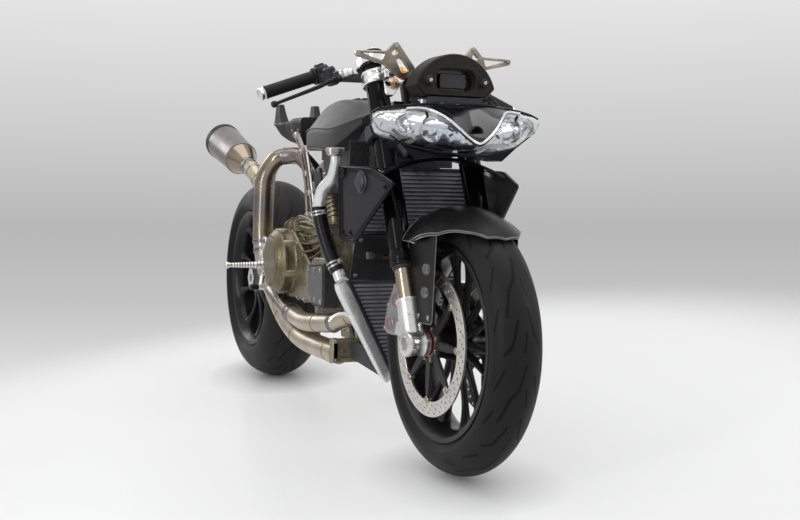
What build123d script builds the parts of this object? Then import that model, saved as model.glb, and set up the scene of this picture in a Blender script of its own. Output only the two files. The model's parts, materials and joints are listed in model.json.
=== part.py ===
"""Unfaired superbike, leaning on its side stand, front wheel steered a little to the left.

Every piece is modelled on the upright machine: x to the rider's left, y to the rear, z up,
with the floor at z = 0. Outlines are measured from the axles, the crank, the steering head
or the lamp, so that each assembly keeps together when a driving dimension changes.
The front assembly is then turned about the steering axis, and the whole machine leaned,
set on the floor and centred. Millimetres.
"""

import os
from math import cos, radians, sin, sqrt

from build123d import *

os.makedirs("parts", exist_ok=True)

# ---------------------------------------------------------------- driving dimensions
CRANK_Y = -60.0
CRANK_RISE = 69.1  # crank above the rear axle
FRONT_REACH = 658.5  # front axle ahead of the crank
PIVOT_REACH = 345.0  # swingarm pivot behind the crank
SWINGARM_LENGTH = 433.5  # pivot to rear axle, along the floor
RAKE = 24.0  # steering axis, degrees back from vertical
TRAIL = 98.0
LEAN = 8.0  # to the left, on the side stand
STEER = 3.0  # front wheel turned to the left at rest
RUNNING_FIT = 0.05  # radial clearance of a turning shaft
SEAT_GAP = 0.3  # between curved faces of two bodies

RIM_RADIUS = 215.9
FRONT_TYRE_RADIUS = RIM_RADIUS + 84.0
FRONT_TYRE_WIDTH = 120.0
FRONT_TYRE_CROWN = 58.0
REAR_TYRE_RADIUS = RIM_RADIUS + 110.0
REAR_TYRE_WIDTH = 200.0
REAR_TYRE_CROWN = 85.0
FRONT_RIM_WIDTH = 104.0
REAR_RIM_WIDTH = 172.0
FLANGE_HEIGHT = 8.0
FLANGE_THICKNESS = 5.0
RIM_WELL = 22.0

FORK_LEG_X = 110.0
FORK_LEAD = 28.5  # legs ahead of the steering axis
AXLE_LEAD = 4.0  # axle ahead of the legs
FORK_OUTER_RADIUS = 27.0
FORK_INNER_RADIUS = 21.5
FORK_FOOT_TOP = 100.0  # along the leg, from the axle's level
FORK_OUTER_START = 200.0
FORK_TOP = 730.0
LOWER_CLAMP_AT = FORK_TOP - 230.0
UPPER_CLAMP_AT = FORK_TOP - 40.0
CLAMP_THICKNESS = 34.0
STEM_RADIUS = 14.0
HEAD_TUBE_RADIUS = 30.0
AXLE_RADIUS = 12.5
FRONT_AXLE_BORE = 8.0

DISC_X = 72.0
DISC_RADIUS = 165.0
DISC_BAND = 34.0
DISC_THICKNESS = 5.0


# ---------------------------------------------------------------- the machine's two frames
FRONT_Y = CRANK_Y - FRONT_REACH
REAR_Y = CRANK_Y + PIVOT_REACH + SWINGARM_LENGTH
STEER_AXIS_DIR = Vector(0, sin(radians(RAKE)), cos(radians(RAKE)))


def tyre_drop(radius, width, crown, axle_tilt):
    """Depth of the lowest point of a tyre below its centre, for the sine of its axle's tilt."""
    ring = (radius - crown) * sqrt(1 - axle_tilt**2)
    return ring + sqrt((width / 2 * axle_tilt) ** 2 + crown**2 * (1 - axle_tilt**2))


LEANED = Axis((0, 0, 0), (0, 1, 0))
steer_foot = Vector(0, FRONT_Y - TRAIL, 0)
STEERED = Axis(steer_foot, STEER_AXIS_DIR)
lean_turn = Rotation(0, LEAN, 0)
front_axle_dir = Vector(1, 0, 0).rotate(Axis((0, 0, 0), STEER_AXIS_DIR), STEER).rotate(LEANED, LEAN)
rear_drop = tyre_drop(REAR_TYRE_RADIUS, REAR_TYRE_WIDTH, REAR_TYRE_CROWN, sin(radians(LEAN)))
front_drop = tyre_drop(FRONT_TYRE_RADIUS, FRONT_TYRE_WIDTH, FRONT_TYRE_CROWN, front_axle_dir.Z)
REAR_AXLE = Vector(0, REAR_Y, REAR_TYRE_RADIUS)
floor_lift = rear_drop - REAR_AXLE.rotate(LEANED, LEAN).Z
front_trial = Vector(0, FRONT_Y, FRONT_TYRE_RADIUS).rotate(STEERED, STEER).rotate(LEANED, LEAN)
front_shift = (front_drop - floor_lift - front_trial.Z) / cos(radians(LEAN))
FRONT_AXLE = Vector(0, FRONT_Y, FRONT_TYRE_RADIUS + front_shift)

# The fork's own plane: origin on the legs at the axle's level, local y backwards across the
# legs, local z up along them.
fork_back = Vector(0, cos(radians(RAKE)), -sin(radians(RAKE)))
FORK = Plane(origin=FRONT_AXLE + fork_back * AXLE_LEAD, x_dir=(1, 0, 0), z_dir=STEER_AXIS_DIR)
STEER_POINT = FORK.origin + fork_back * FORK_LEAD
HEAD = STEER_POINT + STEER_AXIS_DIR * LOWER_CLAMP_AT
CRANK = Vector(0, CRANK_Y, REAR_AXLE.Z + CRANK_RISE)
PIVOT = CRANK + Vector(0, PIVOT_REACH, -10)
SHROUD = CRANK + Vector(0, -425.4, 353.3)  # the radiators, their duct and panels hang from here


def bent_tube(points, bends, radius, bore=0.0):
    """A round tube on straight runs joined by arcs, open along its bore where it has one."""
    with BuildLine() as route:
        FilletPolyline(*points, radius=bends)
    start = Plane(origin=route.line @ 0, z_dir=route.line % 0)
    with BuildPart() as tube:
        with BuildSketch(start):
            Circle(radius)
            if bore:
                Circle(bore, mode=Mode.SUBTRACT)
        sweep(path=route.line)
    return tube.part


def rod(start, end, radius, bore=0.0):
    """A straight round bar or tube between two points."""
    start = Vector(start)
    along = Vector(end) - start
    with BuildPart() as bar:
        with BuildSketch(Plane(origin=start, z_dir=along)):
            Circle(radius)
            if bore:
                Circle(bore, mode=Mode.SUBTRACT)
        extrude(amount=along.length)
    return bar.part


def side_plane(datum, x=0.0):
    """A plane beside a datum, facing left: local x backwards, local y up."""
    return Plane(origin=datum + Vector(x, 0, 0), x_dir=(0, 1, 0), z_dir=(1, 0, 0))


def cross_plane(datum, y=0.0):
    """A plane across the machine at a datum, facing forward: local x to the left, local y up."""
    return Plane(origin=datum + Vector(0, y, 0), x_dir=(1, 0, 0), z_dir=(0, -1, 0))


def side_plate(datum, outline, x_from, x_to):
    """A plate with an outline of (y, z) points from a datum, between two distances to its left."""
    with BuildPart() as plate:
        with BuildSketch(side_plane(datum, x_from)):
            with BuildLine():
                Polyline(*outline, close=True)
            make_face()
        extrude(amount=x_to - x_from)
    return plate.part


def tyre_on(axle, radius, width, crown, rim_width):
    """A hollow tyre round an axle: an elliptical tread, rounded walls and beads on the rim."""
    shoulder = radius - crown
    wall = 9.0
    lip = RIM_RADIUS + FLANGE_HEIGHT + 1.0
    bead_x = rim_width / 2 - FLANGE_THICKNESS
    with BuildPart() as tyre:
        with BuildSketch(cross_plane(axle)):
            with BuildLine():
                EllipticalCenterArc((0, shoulder), width / 2, crown, start_angle=0, arc_size=180)
                Line((-width / 2, shoulder), (-bead_x, lip))
                Line((-bead_x, lip), (-bead_x, RIM_RADIUS))
                Line((-bead_x, RIM_RADIUS), (bead_x, RIM_RADIUS))
                Line((bead_x, RIM_RADIUS), (bead_x, lip))
                Line((bead_x, lip), (width / 2, shoulder))
            make_face()
            with BuildLine():
                EllipticalCenterArc(
                    (0, shoulder), width / 2 - wall, crown - wall, start_angle=0, arc_size=180
                )
                Line((-width / 2 + wall, shoulder), (-bead_x + wall, RIM_RADIUS))
                Line((-bead_x + wall, RIM_RADIUS), (bead_x - wall, RIM_RADIUS))
                Line((bead_x - wall, RIM_RADIUS), (width / 2 - wall, shoulder))
            make_face(mode=Mode.SUBTRACT)
        revolve(axis=Axis(axle, (1, 0, 0)), revolution_arc=360)
    return tyre.part


def rim_section(rim_width):
    """Outline of a rim's barrel, half lengths along the axle against radius."""
    half = rim_width / 2
    bead_x = half - FLANGE_THICKNESS
    return [
        (-half, RIM_RADIUS + FLANGE_HEIGHT),
        (-bead_x, RIM_RADIUS + FLANGE_HEIGHT),
        (-bead_x, RIM_RADIUS),
        (bead_x, RIM_RADIUS),
        (bead_x, RIM_RADIUS + FLANGE_HEIGHT),
        (half, RIM_RADIUS + FLANGE_HEIGHT),
        (half, RIM_RADIUS - 7.0),
        (half - RIM_WELL, RIM_RADIUS - RIM_WELL),
        (-half + RIM_WELL, RIM_RADIUS - RIM_WELL),
        (-half, RIM_RADIUS - 7.0),
    ]


# ---------------------------------------------------------------- front wheel
HUB_BORE = AXLE_RADIUS + RUNNING_FIT
FRONT_HUB_HALF = DISC_X - DISC_THICKNESS / 2
FRONT_HUB_RADIUS = 32.5
SPOKE_PAIRS = 7
SPOKE_THICKNESS = 24.0
RIM_INNER = RIM_RADIUS - RIM_WELL + 2.0

with BuildPart() as front_tyre:
    add(tyre_on(FRONT_AXLE, FRONT_TYRE_RADIUS, FRONT_TYRE_WIDTH, FRONT_TYRE_CROWN, FRONT_RIM_WIDTH))

with BuildPart() as front_rim:
    with BuildSketch(cross_plane(FRONT_AXLE)):
        with BuildLine():
            Polyline(*rim_section(FRONT_RIM_WIDTH), close=True)
        make_face()
        with BuildLine():
            Polyline(
                (-FRONT_HUB_HALF, HUB_BORE),
                (-FRONT_HUB_HALF, FRONT_HUB_RADIUS),
                (-SPOKE_THICKNESS, FRONT_HUB_RADIUS + 6),
                (SPOKE_THICKNESS, FRONT_HUB_RADIUS + 6),
                (FRONT_HUB_HALF, FRONT_HUB_RADIUS),
                (FRONT_HUB_HALF, HUB_BORE),
                close=True,
            )
        make_face()
    revolve(axis=Axis(FRONT_AXLE, (1, 0, 0)), revolution_arc=360)
    with BuildSketch(side_plane(FRONT_AXLE, -SPOKE_THICKNESS / 2)):
        with PolarLocations(0, SPOKE_PAIRS, start_angle=90):
            for side in (-1, 1):
                with BuildLine():
                    Polyline(
                        (FRONT_HUB_RADIUS + 2, side * 4),
                        (RIM_INNER, side * 30),
                        (RIM_INNER, side * 46),
                        (FRONT_HUB_RADIUS + 2, side * 18),
                        close=True,
                    )
                make_face()
    extrude(amount=SPOKE_THICKNESS)

CARRIER_ARMS = 8
with BuildPart() as front_discs:
    for side in (-1, 1):
        with BuildSketch(side_plane(FRONT_AXLE, side * DISC_X - DISC_THICKNESS / 2)):
            Circle(DISC_RADIUS)
            Circle(DISC_RADIUS - DISC_BAND, mode=Mode.SUBTRACT)
            Circle(FRONT_HUB_RADIUS + 14)
            Circle(HUB_BORE + 6, mode=Mode.SUBTRACT)
            with PolarLocations(0, CARRIER_ARMS):
                with BuildLine():
                    Polyline(
                        (FRONT_HUB_RADIUS + 10, -9),
                        (DISC_RADIUS - DISC_BAND + 4, -6),
                        (DISC_RADIUS - DISC_BAND + 4, 6),
                        (FRONT_HUB_RADIUS + 10, 9),
                        close=True,
                    )
                make_face()
        extrude(amount=DISC_THICKNESS)

# ---------------------------------------------------------------- rear wheel
REAR_SHAFT_RADIUS = 28.0
REAR_SHAFT_BORE = 14.0
SWINGARM_HUB_RADIUS = 62.0
ARM_FROM = 104.0  # the arm stands just outside the tyre
ARM_TO = 126.0
REAR_DISC_X = 30.0
REAR_DISC_RADIUS = 122.5
REAR_DISC_BAND = 30.0
SWINGARM_HUB_FROM = REAR_DISC_X + DISC_THICKNESS / 2 + 6.0
CHAIN_X = 138.0
SPROCKET_THICKNESS = 7.0
SPROCKET_RADIUS = 98.0
REAR_SPOKES = 10
REAR_NUT_RADIUS = 36.0
REAR_HUB_FROM = -66.0
REAR_HUB_TO = REAR_DISC_X - DISC_THICKNESS / 2
REAR_HUB_RADIUS = 58.0
NUT_THICKNESS = 16.0

with BuildPart() as rear_tyre:
    add(tyre_on(REAR_AXLE, REAR_TYRE_RADIUS, REAR_TYRE_WIDTH, REAR_TYRE_CROWN, REAR_RIM_WIDTH))

with BuildPart() as rear_rim:
    with BuildSketch(cross_plane(REAR_AXLE)):
        with BuildLine():
            Polyline(*rim_section(REAR_RIM_WIDTH), close=True)
        make_face()
        with BuildLine():
            Polyline(
                (REAR_HUB_FROM, REAR_SHAFT_RADIUS),
                (REAR_HUB_FROM, REAR_HUB_RADIUS - 8),
                (REAR_HUB_FROM + 20, REAR_HUB_RADIUS),
                (REAR_HUB_TO, REAR_HUB_RADIUS),
                (REAR_HUB_TO, REAR_SHAFT_RADIUS),
                close=True,
            )
        make_face()
    revolve(axis=Axis(REAR_AXLE, (1, 0, 0)), revolution_arc=360)
    with BuildSketch(side_plane(REAR_AXLE, REAR_HUB_FROM + 6)):
        with PolarLocations(0, REAR_SPOKES):
            with BuildLine():
                Polyline(
                    (REAR_HUB_RADIUS - 9, -11),
                    (RIM_INNER, -9),
                    (RIM_INNER, 9),
                    (REAR_HUB_RADIUS - 9, 11),
                    close=True,
                )
            make_face()
    extrude(amount=34)

with BuildPart() as rear_disc:
    with BuildSketch(side_plane(REAR_AXLE, REAR_DISC_X - DISC_THICKNESS / 2)):
        Circle(REAR_DISC_RADIUS)
        Circle(REAR_DISC_RADIUS - REAR_DISC_BAND, mode=Mode.SUBTRACT)
        Circle(48)
        Circle(REAR_SHAFT_RADIUS, mode=Mode.SUBTRACT)
        with PolarLocations(0, 6):
            with Locations((70, 0)):
                Rectangle(52, 13)
    extrude(amount=DISC_THICKNESS)

with BuildPart() as rear_sprocket:
    with BuildSketch(side_plane(REAR_AXLE, CHAIN_X - SPROCKET_THICKNESS / 2)):
        Circle(SPROCKET_RADIUS)
        Circle(74, mode=Mode.SUBTRACT)
        Circle(46)
        Circle(REAR_SHAFT_RADIUS, mode=Mode.SUBTRACT)
        with PolarLocations(0, 6):
            with Locations((60, 0)):
                Rectangle(36, 16)
    extrude(amount=SPROCKET_THICKNESS)

nut_face = CHAIN_X + SPROCKET_THICKNESS / 2
with BuildPart() as rear_axle:
    add(rod(REAR_AXLE + Vector(REAR_HUB_FROM - NUT_THICKNESS, 0, 0),
            REAR_AXLE + Vector(nut_face + NUT_THICKNESS, 0, 0), REAR_SHAFT_RADIUS))
    for face, amount in ((REAR_HUB_FROM, -NUT_THICKNESS), (nut_face, NUT_THICKNESS)):
        with BuildSketch(side_plane(REAR_AXLE, face)):
            RegularPolygon(REAR_NUT_RADIUS, 6)
        extrude(amount=amount)
    add(rod(REAR_AXLE + Vector(-200, 0, 0), REAR_AXLE + Vector(200, 0, 0), REAR_SHAFT_BORE),
        mode=Mode.SUBTRACT)

# ---------------------------------------------------------------- fork and steering
FORK_LEGS = (-FORK_LEG_X, FORK_LEG_X)
COLLAR_HEIGHT = 34.0
FORK_OVERLAP = 60.0  # length of slider inside its tube
FOOT_SOCKET = 40.0

with BuildPart() as fork_outers:
    for leg_x in FORK_LEGS:
        with BuildSketch(FORK.offset(FORK_OUTER_START)):
            with Locations((leg_x, 0)):
                Circle(FORK_OUTER_RADIUS)
        extrude(amount=FORK_TOP - FORK_OUTER_START)
        with BuildSketch(FORK.offset(FORK_OUTER_START - COLLAR_HEIGHT / 2)):
            with Locations((leg_x, 0)):
                Circle(FORK_OUTER_RADIUS + 2)
        extrude(amount=COLLAR_HEIGHT)
        with BuildSketch(FORK.offset(FORK_OUTER_START - COLLAR_HEIGHT / 2)):
            with Locations((leg_x, 0)):
                Circle(FORK_INNER_RADIUS)
        extrude(amount=FORK_OVERLAP + COLLAR_HEIGHT / 2, mode=Mode.SUBTRACT)

with BuildPart() as fork_inners:
    with BuildSketch(FORK.offset(FORK_FOOT_TOP - FOOT_SOCKET)):
        with Locations((-FORK_LEG_X, 0), (FORK_LEG_X, 0)):
            Circle(FORK_INNER_RADIUS)
    extrude(amount=FORK_OUTER_START + FORK_OVERLAP - FORK_FOOT_TOP + FOOT_SOCKET)

AXLE_BOSS_RADIUS = 27.0
AXLE_BOSS_IN = 82.0
AXLE_BOSS_OUT = 136.0
CALIPER_HALF = 38.0
CALIPER_FROM = 0.0
CALIPER_TO = 48.0
CALIPER_INNER_RADIUS = 112.0
CALIPER_OUTER_RADIUS = DISC_RADIUS + 13.0
PAD_GAP = 1.5

with BuildPart() as calipers:
    for side in (-1, 1):
        with BuildSketch(side_plane(FRONT_AXLE, side * DISC_X - CALIPER_HALF)):
            with BuildLine():
                arc_out = CenterArc((0, 0), CALIPER_OUTER_RADIUS, CALIPER_FROM, CALIPER_TO)
                arc_in = CenterArc((0, 0), CALIPER_INNER_RADIUS, CALIPER_FROM, CALIPER_TO)
                Line(arc_out @ 0, arc_in @ 0)
                Line(arc_out @ 1, arc_in @ 1)
            make_face()
        extrude(amount=2 * CALIPER_HALF)
        with BuildSketch(side_plane(FRONT_AXLE, side * DISC_X - DISC_THICKNESS / 2 - PAD_GAP)):
            Circle(DISC_RADIUS + 2)
        extrude(amount=DISC_THICKNESS + 2 * PAD_GAP, mode=Mode.SUBTRACT)

with BuildPart() as fork_feet:
    with BuildSketch(FORK.offset(20)):
        with Locations((-FORK_LEG_X, 0), (FORK_LEG_X, 0)):
            Circle(FORK_OUTER_RADIUS)
    extrude(amount=FORK_FOOT_TOP - 20)
    for side in (-1, 1):
        with BuildSketch(side_plane(FRONT_AXLE, side * AXLE_BOSS_IN)):
            Circle(AXLE_BOSS_RADIUS)
        extrude(amount=side * (AXLE_BOSS_OUT - AXLE_BOSS_IN))
        with BuildSketch(side_plane(FRONT_AXLE, side * (DISC_X + 14))):
            with BuildLine():
                Polyline((0, -20), (70, 4), (120, 8), (120, 30), (60, 52), (0, 26), close=True)
            make_face()
        extrude(amount=side * 22)
    with BuildSketch(FORK.offset(FORK_FOOT_TOP - FOOT_SOCKET)):
        with Locations((-FORK_LEG_X, 0), (FORK_LEG_X, 0)):
            Circle(FORK_INNER_RADIUS)
    extrude(amount=FOOT_SOCKET + 1, mode=Mode.SUBTRACT)
    with BuildSketch(side_plane(FRONT_AXLE, -AXLE_BOSS_OUT)):
        Circle(AXLE_RADIUS)
    extrude(amount=2 * AXLE_BOSS_OUT, mode=Mode.SUBTRACT)
    add(calipers.part, mode=Mode.SUBTRACT)

with BuildPart() as front_axle:
    add(rod(FRONT_AXLE - Vector(AXLE_BOSS_OUT - 2, 0, 0), FRONT_AXLE + Vector(AXLE_BOSS_OUT - 2, 0, 0),
            AXLE_RADIUS, FRONT_AXLE_BORE))

LOWER_CLAMP_GRIP = 13.0
UPPER_CLAMP_THICKNESS = 24.0
with BuildPart() as triple_clamps:
    for at, thickness, depth in ((LOWER_CLAMP_AT, CLAMP_THICKNESS, 52),
                                 (UPPER_CLAMP_AT, UPPER_CLAMP_THICKNESS, 44)):
        with BuildSketch(FORK.offset(at)):
            with Locations((-FORK_LEG_X, 0), (FORK_LEG_X, 0)):
                Circle(FORK_OUTER_RADIUS + LOWER_CLAMP_GRIP)
            with Locations((0, FORK_LEAD - 10)):
                Rectangle(2 * FORK_LEG_X, depth)
            with Locations((-FORK_LEG_X, 0), (FORK_LEG_X, 0)):
                Circle(FORK_OUTER_RADIUS, mode=Mode.SUBTRACT)
        extrude(amount=thickness)
    with BuildSketch(FORK.offset(LOWER_CLAMP_AT)):
        with Locations((0, FORK_LEAD)):
            Circle(STEM_RADIUS)
    extrude(amount=UPPER_CLAMP_AT - LOWER_CLAMP_AT)

# ---------------------------------------------------------------- handlebars
CLIP_ON_AT = UPPER_CLAMP_AT - 50.0
CLIP_ON_HEIGHT = 34.0
BAR_RADIUS = 11.0
GRIP_RADIUS = 16.0
clamp_middle = FORK.origin + STEER_AXIS_DIR * (CLIP_ON_AT + CLIP_ON_HEIGHT / 2)
BAR_ROOT = clamp_middle + Vector(FORK_LEG_X + 22, 20, 4)
GRIP_IN = clamp_middle + Vector(215, 132, 10)
BAR_END = clamp_middle + Vector(350, 134, -42)
LEVER_ROOT = clamp_middle + Vector(188, 56, 5)
LEVER_MID = clamp_middle + Vector(232, 44, -19)
LEVER_TIP = clamp_middle + Vector(330, 103, -69)


def on_side(point, side):
    """A point of the left half of the machine, or its mirror image on the right."""
    return Vector(side * point.X, point.Y, point.Z)


with BuildPart() as clip_ons:
    with BuildSketch(FORK.offset(CLIP_ON_AT)):
        with Locations((-FORK_LEG_X, 0), (FORK_LEG_X, 0)):
            Circle(FORK_OUTER_RADIUS + 9)
    extrude(amount=CLIP_ON_HEIGHT)
    for side in (-1, 1):
        add(rod(on_side(BAR_ROOT, side), on_side(GRIP_IN, side), BAR_RADIUS))
        add(rod(on_side(GRIP_IN, side), on_side(BAR_END, side), BAR_RADIUS))
        with Locations(on_side(GRIP_IN, side)):
            Sphere(GRIP_RADIUS + 1)
    add(fork_outers.part, mode=Mode.SUBTRACT)

with BuildPart() as grips:
    for side in (-1, 1):
        add(rod(on_side(GRIP_IN, side), on_side(BAR_END, side), GRIP_RADIUS))
    add(clip_ons.part, mode=Mode.SUBTRACT)

with BuildPart() as levers:
    for side in (-1, 1):
        add(rod(on_side(GRIP_IN + Vector(-14, 0, 4), side), on_side(LEVER_ROOT, side), 10.0))
        add(bent_tube([on_side(LEVER_ROOT, side), on_side(LEVER_MID, side), on_side(LEVER_TIP, side)],
                      [30], 6.5))
    add(clip_ons.part, mode=Mode.SUBTRACT)

# ---------------------------------------------------------------- front fender
FENDER_THICKNESS = 3.0
FENDER_RADIUS = FRONT_TYRE_RADIUS + 10.0
FENDER_HALF_WIDTH = 128.0
FENDER_SAG = 98.0
FENDER_PLATE_X = 100.0
FENDER_EDGE = FENDER_RADIUS - 84.0  # height of its lower edge over the axle

plate_reach = FENDER_RADIUS - 50.0
plate_top = [(plate_reach * sin(radians(a)), plate_reach * cos(radians(a))) for a in (17, 9, 0, -8, -15)]

with BuildPart() as fender:
    with BuildSketch(cross_plane(FRONT_AXLE)):
        with BuildLine():
            outer = ThreePointArc(
                (-FENDER_HALF_WIDTH, FENDER_RADIUS - FENDER_SAG),
                (0, FENDER_RADIUS),
                (FENDER_HALF_WIDTH, FENDER_RADIUS - FENDER_SAG),
            )
            inner = ThreePointArc(
                (-FENDER_HALF_WIDTH + FENDER_THICKNESS, FENDER_RADIUS - FENDER_SAG),
                (0, FENDER_RADIUS - FENDER_THICKNESS),
                (FENDER_HALF_WIDTH - FENDER_THICKNESS, FENDER_RADIUS - FENDER_SAG),
            )
            Line(outer @ 0, inner @ 0)
            Line(outer @ 1, inner @ 1)
        make_face()
    revolve(axis=Axis(FRONT_AXLE, (1, 0, 0)), revolution_arc=360)
    with BuildSketch(Plane(origin=FRONT_AXLE + Vector(0, 0, FENDER_EDGE))):
        with BuildLine():
            Polyline(
                (0, -188), (-38, -176), (-68, -136), (-104, -72), (-124, 30), (-122, 72), (-70, 79),
                (-70, 159), (70, 159), (70, 79), (122, 72), (124, 30), (104, -72), (68, -136),
                (38, -176), close=True,
            )
        make_face()
    extrude(amount=120, mode=Mode.INTERSECT)
    for side in (-1, 1):
        add(
            side_plate(
                FRONT_AXLE,
                plate_top + [(-62, 48), (12, 48), (60, 160)],
                side * FENDER_PLATE_X,
                side * (FENDER_PLATE_X + FENDER_THICKNESS),
            )
        )
    add(fork_outers.part, mode=Mode.SUBTRACT)
    add(fork_inners.part, mode=Mode.SUBTRACT)
    add(fork_feet.part, mode=Mode.SUBTRACT)

# ---------------------------------------------------------------- engine
CASE_HALF = 120.0
CASE_FLOOR = -133.0  # from the crank
CLUTCH = CRANK + Vector(-205, 161, 35)
CLUTCH_RADIUS = 88.0
CASE_COVER_DEPTH = 28.0
FRONT_BANK_TILT = 21.0  # the front cylinder's rise from level, degrees
BANK_LENGTH = 320.0
BANK_HALF = 90.0
BANK_DEPTH = 150.0
BARREL_START = 150.0
PIVOT_RADIUS = 30.0
CLEVIS_HALF = 40.0

with BuildPart() as crankcase:
    add(side_plate(CRANK, [(-155, -65), (-155, 75), (-60, 150), (150, 165), (270, 125), (300, 45),
                           (295, -25), (260, -65)], -CASE_HALF, CASE_HALF))
    add(side_plate(CRANK, [(-155, -65), (-145, -120), (-120, CASE_FLOOR), (120, CASE_FLOOR), (145, -65)],
                   -74, 108))
    add(side_plate(CRANK, [(250, -55), (PIVOT_REACH + 15, -45), (PIVOT_REACH + 37, -10),
                           (PIVOT_REACH + 15, 30), (250, 55)], -CLEVIS_HALF, CLEVIS_HALF))

with BuildPart() as sump:
    with BuildSketch(Plane(origin=CRANK + Vector(0, 0, CASE_FLOOR))):
        with Locations((50, 0)):
            Rectangle(110, 240)
    extrude(amount=-46)
    add(side_plate(CRANK, [(-165, -211), (-198, -205), (-198, -140), (-165, -140)], -134, -40))
    add(side_plate(CRANK, [(-165, -165), (-198, -165), (-190, -95), (-130, -95), (-150, -145)], -72, -40))
    add(crankcase.part, mode=Mode.SUBTRACT)

COVER_FACE = CASE_HALF + CASE_COVER_DEPTH
with BuildPart() as engine_covers:
    with BuildSketch(side_plane(CLUTCH, -CLUTCH.X - CASE_HALF)):
        Circle(CLUTCH_RADIUS + 10)
        with Locations((-150, -40)):
            Circle(62)
        make_hull()
    extrude(amount=-CASE_COVER_DEPTH)
    with BuildSketch(side_plane(CLUTCH)):
        Circle(CLUTCH_RADIUS)
    extrude(amount=-CLUTCH.X - COVER_FACE)
    add(side_plate(CRANK, [(-52, 45), (-190, 60), (-195, -67), (-75, -67)], -COVER_FACE - 14, -CASE_HALF))
    with BuildSketch(side_plane(CRANK, CASE_HALF)):
        Circle(86)
        with Locations((120, 30)):
            Circle(60)
        make_hull()
    extrude(amount=24)
    with BuildSketch(side_plane(CRANK, CASE_HALF + 24)):
        Circle(80)
    extrude(amount=26)


def bank_plane(tilt):
    """A plane across a cylinder bank through the crank's centre, its z along the bank."""
    along = Vector(0, -cos(radians(tilt)), sin(radians(tilt)))
    return Plane(origin=CRANK, x_dir=(1, 0, 0), z_dir=along)


FRONT_BANK = bank_plane(FRONT_BANK_TILT)
REAR_BANK = bank_plane(FRONT_BANK_TILT + 90)

with BuildPart() as cylinders:
    for bank in (FRONT_BANK, REAR_BANK):
        with BuildSketch(bank.offset(BARREL_START)):
            Rectangle(2 * BANK_HALF - 20, BANK_DEPTH - 16)
        extrude(amount=70)
        with BuildSketch(bank.offset(BARREL_START + 70)):
            Rectangle(2 * BANK_HALF, BANK_DEPTH)
        extrude(amount=BANK_LENGTH - BARREL_START - 70)
    add(crankcase.part, mode=Mode.SUBTRACT)

# ---------------------------------------------------------------- frame, tank and tail
TANK_RISE = 350.0  # the tank's underside over the crank
HEAD_TOP = 52.0  # the monocoque's front top over the steering head's foot
RADIATOR_Y = SHROUD.Y + 40.0
RADIATOR_DEPTH = 40.0
monocoque_front = RADIATOR_Y + RADIATOR_DEPTH - CRANK.Y
monocoque_top = HEAD.Z + HEAD_TOP - CRANK.Z
with BuildPart() as monocoque:
    add(side_plate(CRANK, [(monocoque_front, 245), (monocoque_front, monocoque_top), (-280, monocoque_top),
                           (-180, TANK_RISE), (55, TANK_RISE), (55, 305), (-90, 245), (-160, 205),
                           (-160, 125), (-240, 125), (-250, 230)], -88, 88))
    add(cylinders.part, mode=Mode.SUBTRACT)

with BuildPart() as steering_head:
    head_start = HEAD + STEER_AXIS_DIR * (CLAMP_THICKNESS + 1)
    head_end = STEER_POINT + STEER_AXIS_DIR * (UPPER_CLAMP_AT - 1)
    add(rod(head_start, head_end, HEAD_TUBE_RADIUS))
    seat = monocoque_front + CRANK.Y - HEAD.Y
    add(side_plate(HEAD, [(30, 44), (seat, -3), (seat, HEAD_TOP), (seat + 25, HEAD_TOP),
                          (seat + 25, HEAD_TOP + 12), (60, 112)], -50, 50))
    for side in (-1, 1):
        add(rod(HEAD + Vector(side * 28, 45, 72), HEAD + Vector(side * 28, -151, 103), 7.0))
    add(rod(head_start, head_end, STEM_RADIUS + RUNNING_FIT), mode=Mode.SUBTRACT)
    with BuildSketch(Plane(origin=HEAD + Vector(0, -160, 92))):
        Rectangle(130, 66)
    extrude(amount=18)

tank_sections = [
    # y, half width, bottom and top, from the crank
    (-270.0, 95.0, TANK_RISE + 61, TANK_RISE + 101),
    (-170.0, 138.0, TANK_RISE, TANK_RISE + 123),
    (-46.0, 142.0, TANK_RISE, TANK_RISE + 133),
    (100.0, 118.0, TANK_RISE, TANK_RISE + 121),
    (240.0, 62.0, TANK_RISE, TANK_RISE + 97),
]
with BuildPart() as fuel_tank:
    for y, half, low, high in tank_sections:
        with BuildSketch(cross_plane(CRANK, y)):
            with BuildLine():
                Polyline(
                    (-half, low), (-half, low + 0.45 * (high - low)), (-0.6 * half, high),
                    (0.6 * half, high), (half, low + 0.45 * (high - low)), (half, low), close=True,
                )
            make_face()
    loft(ruled=True)
    add(monocoque.part, mode=Mode.SUBTRACT)

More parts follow.
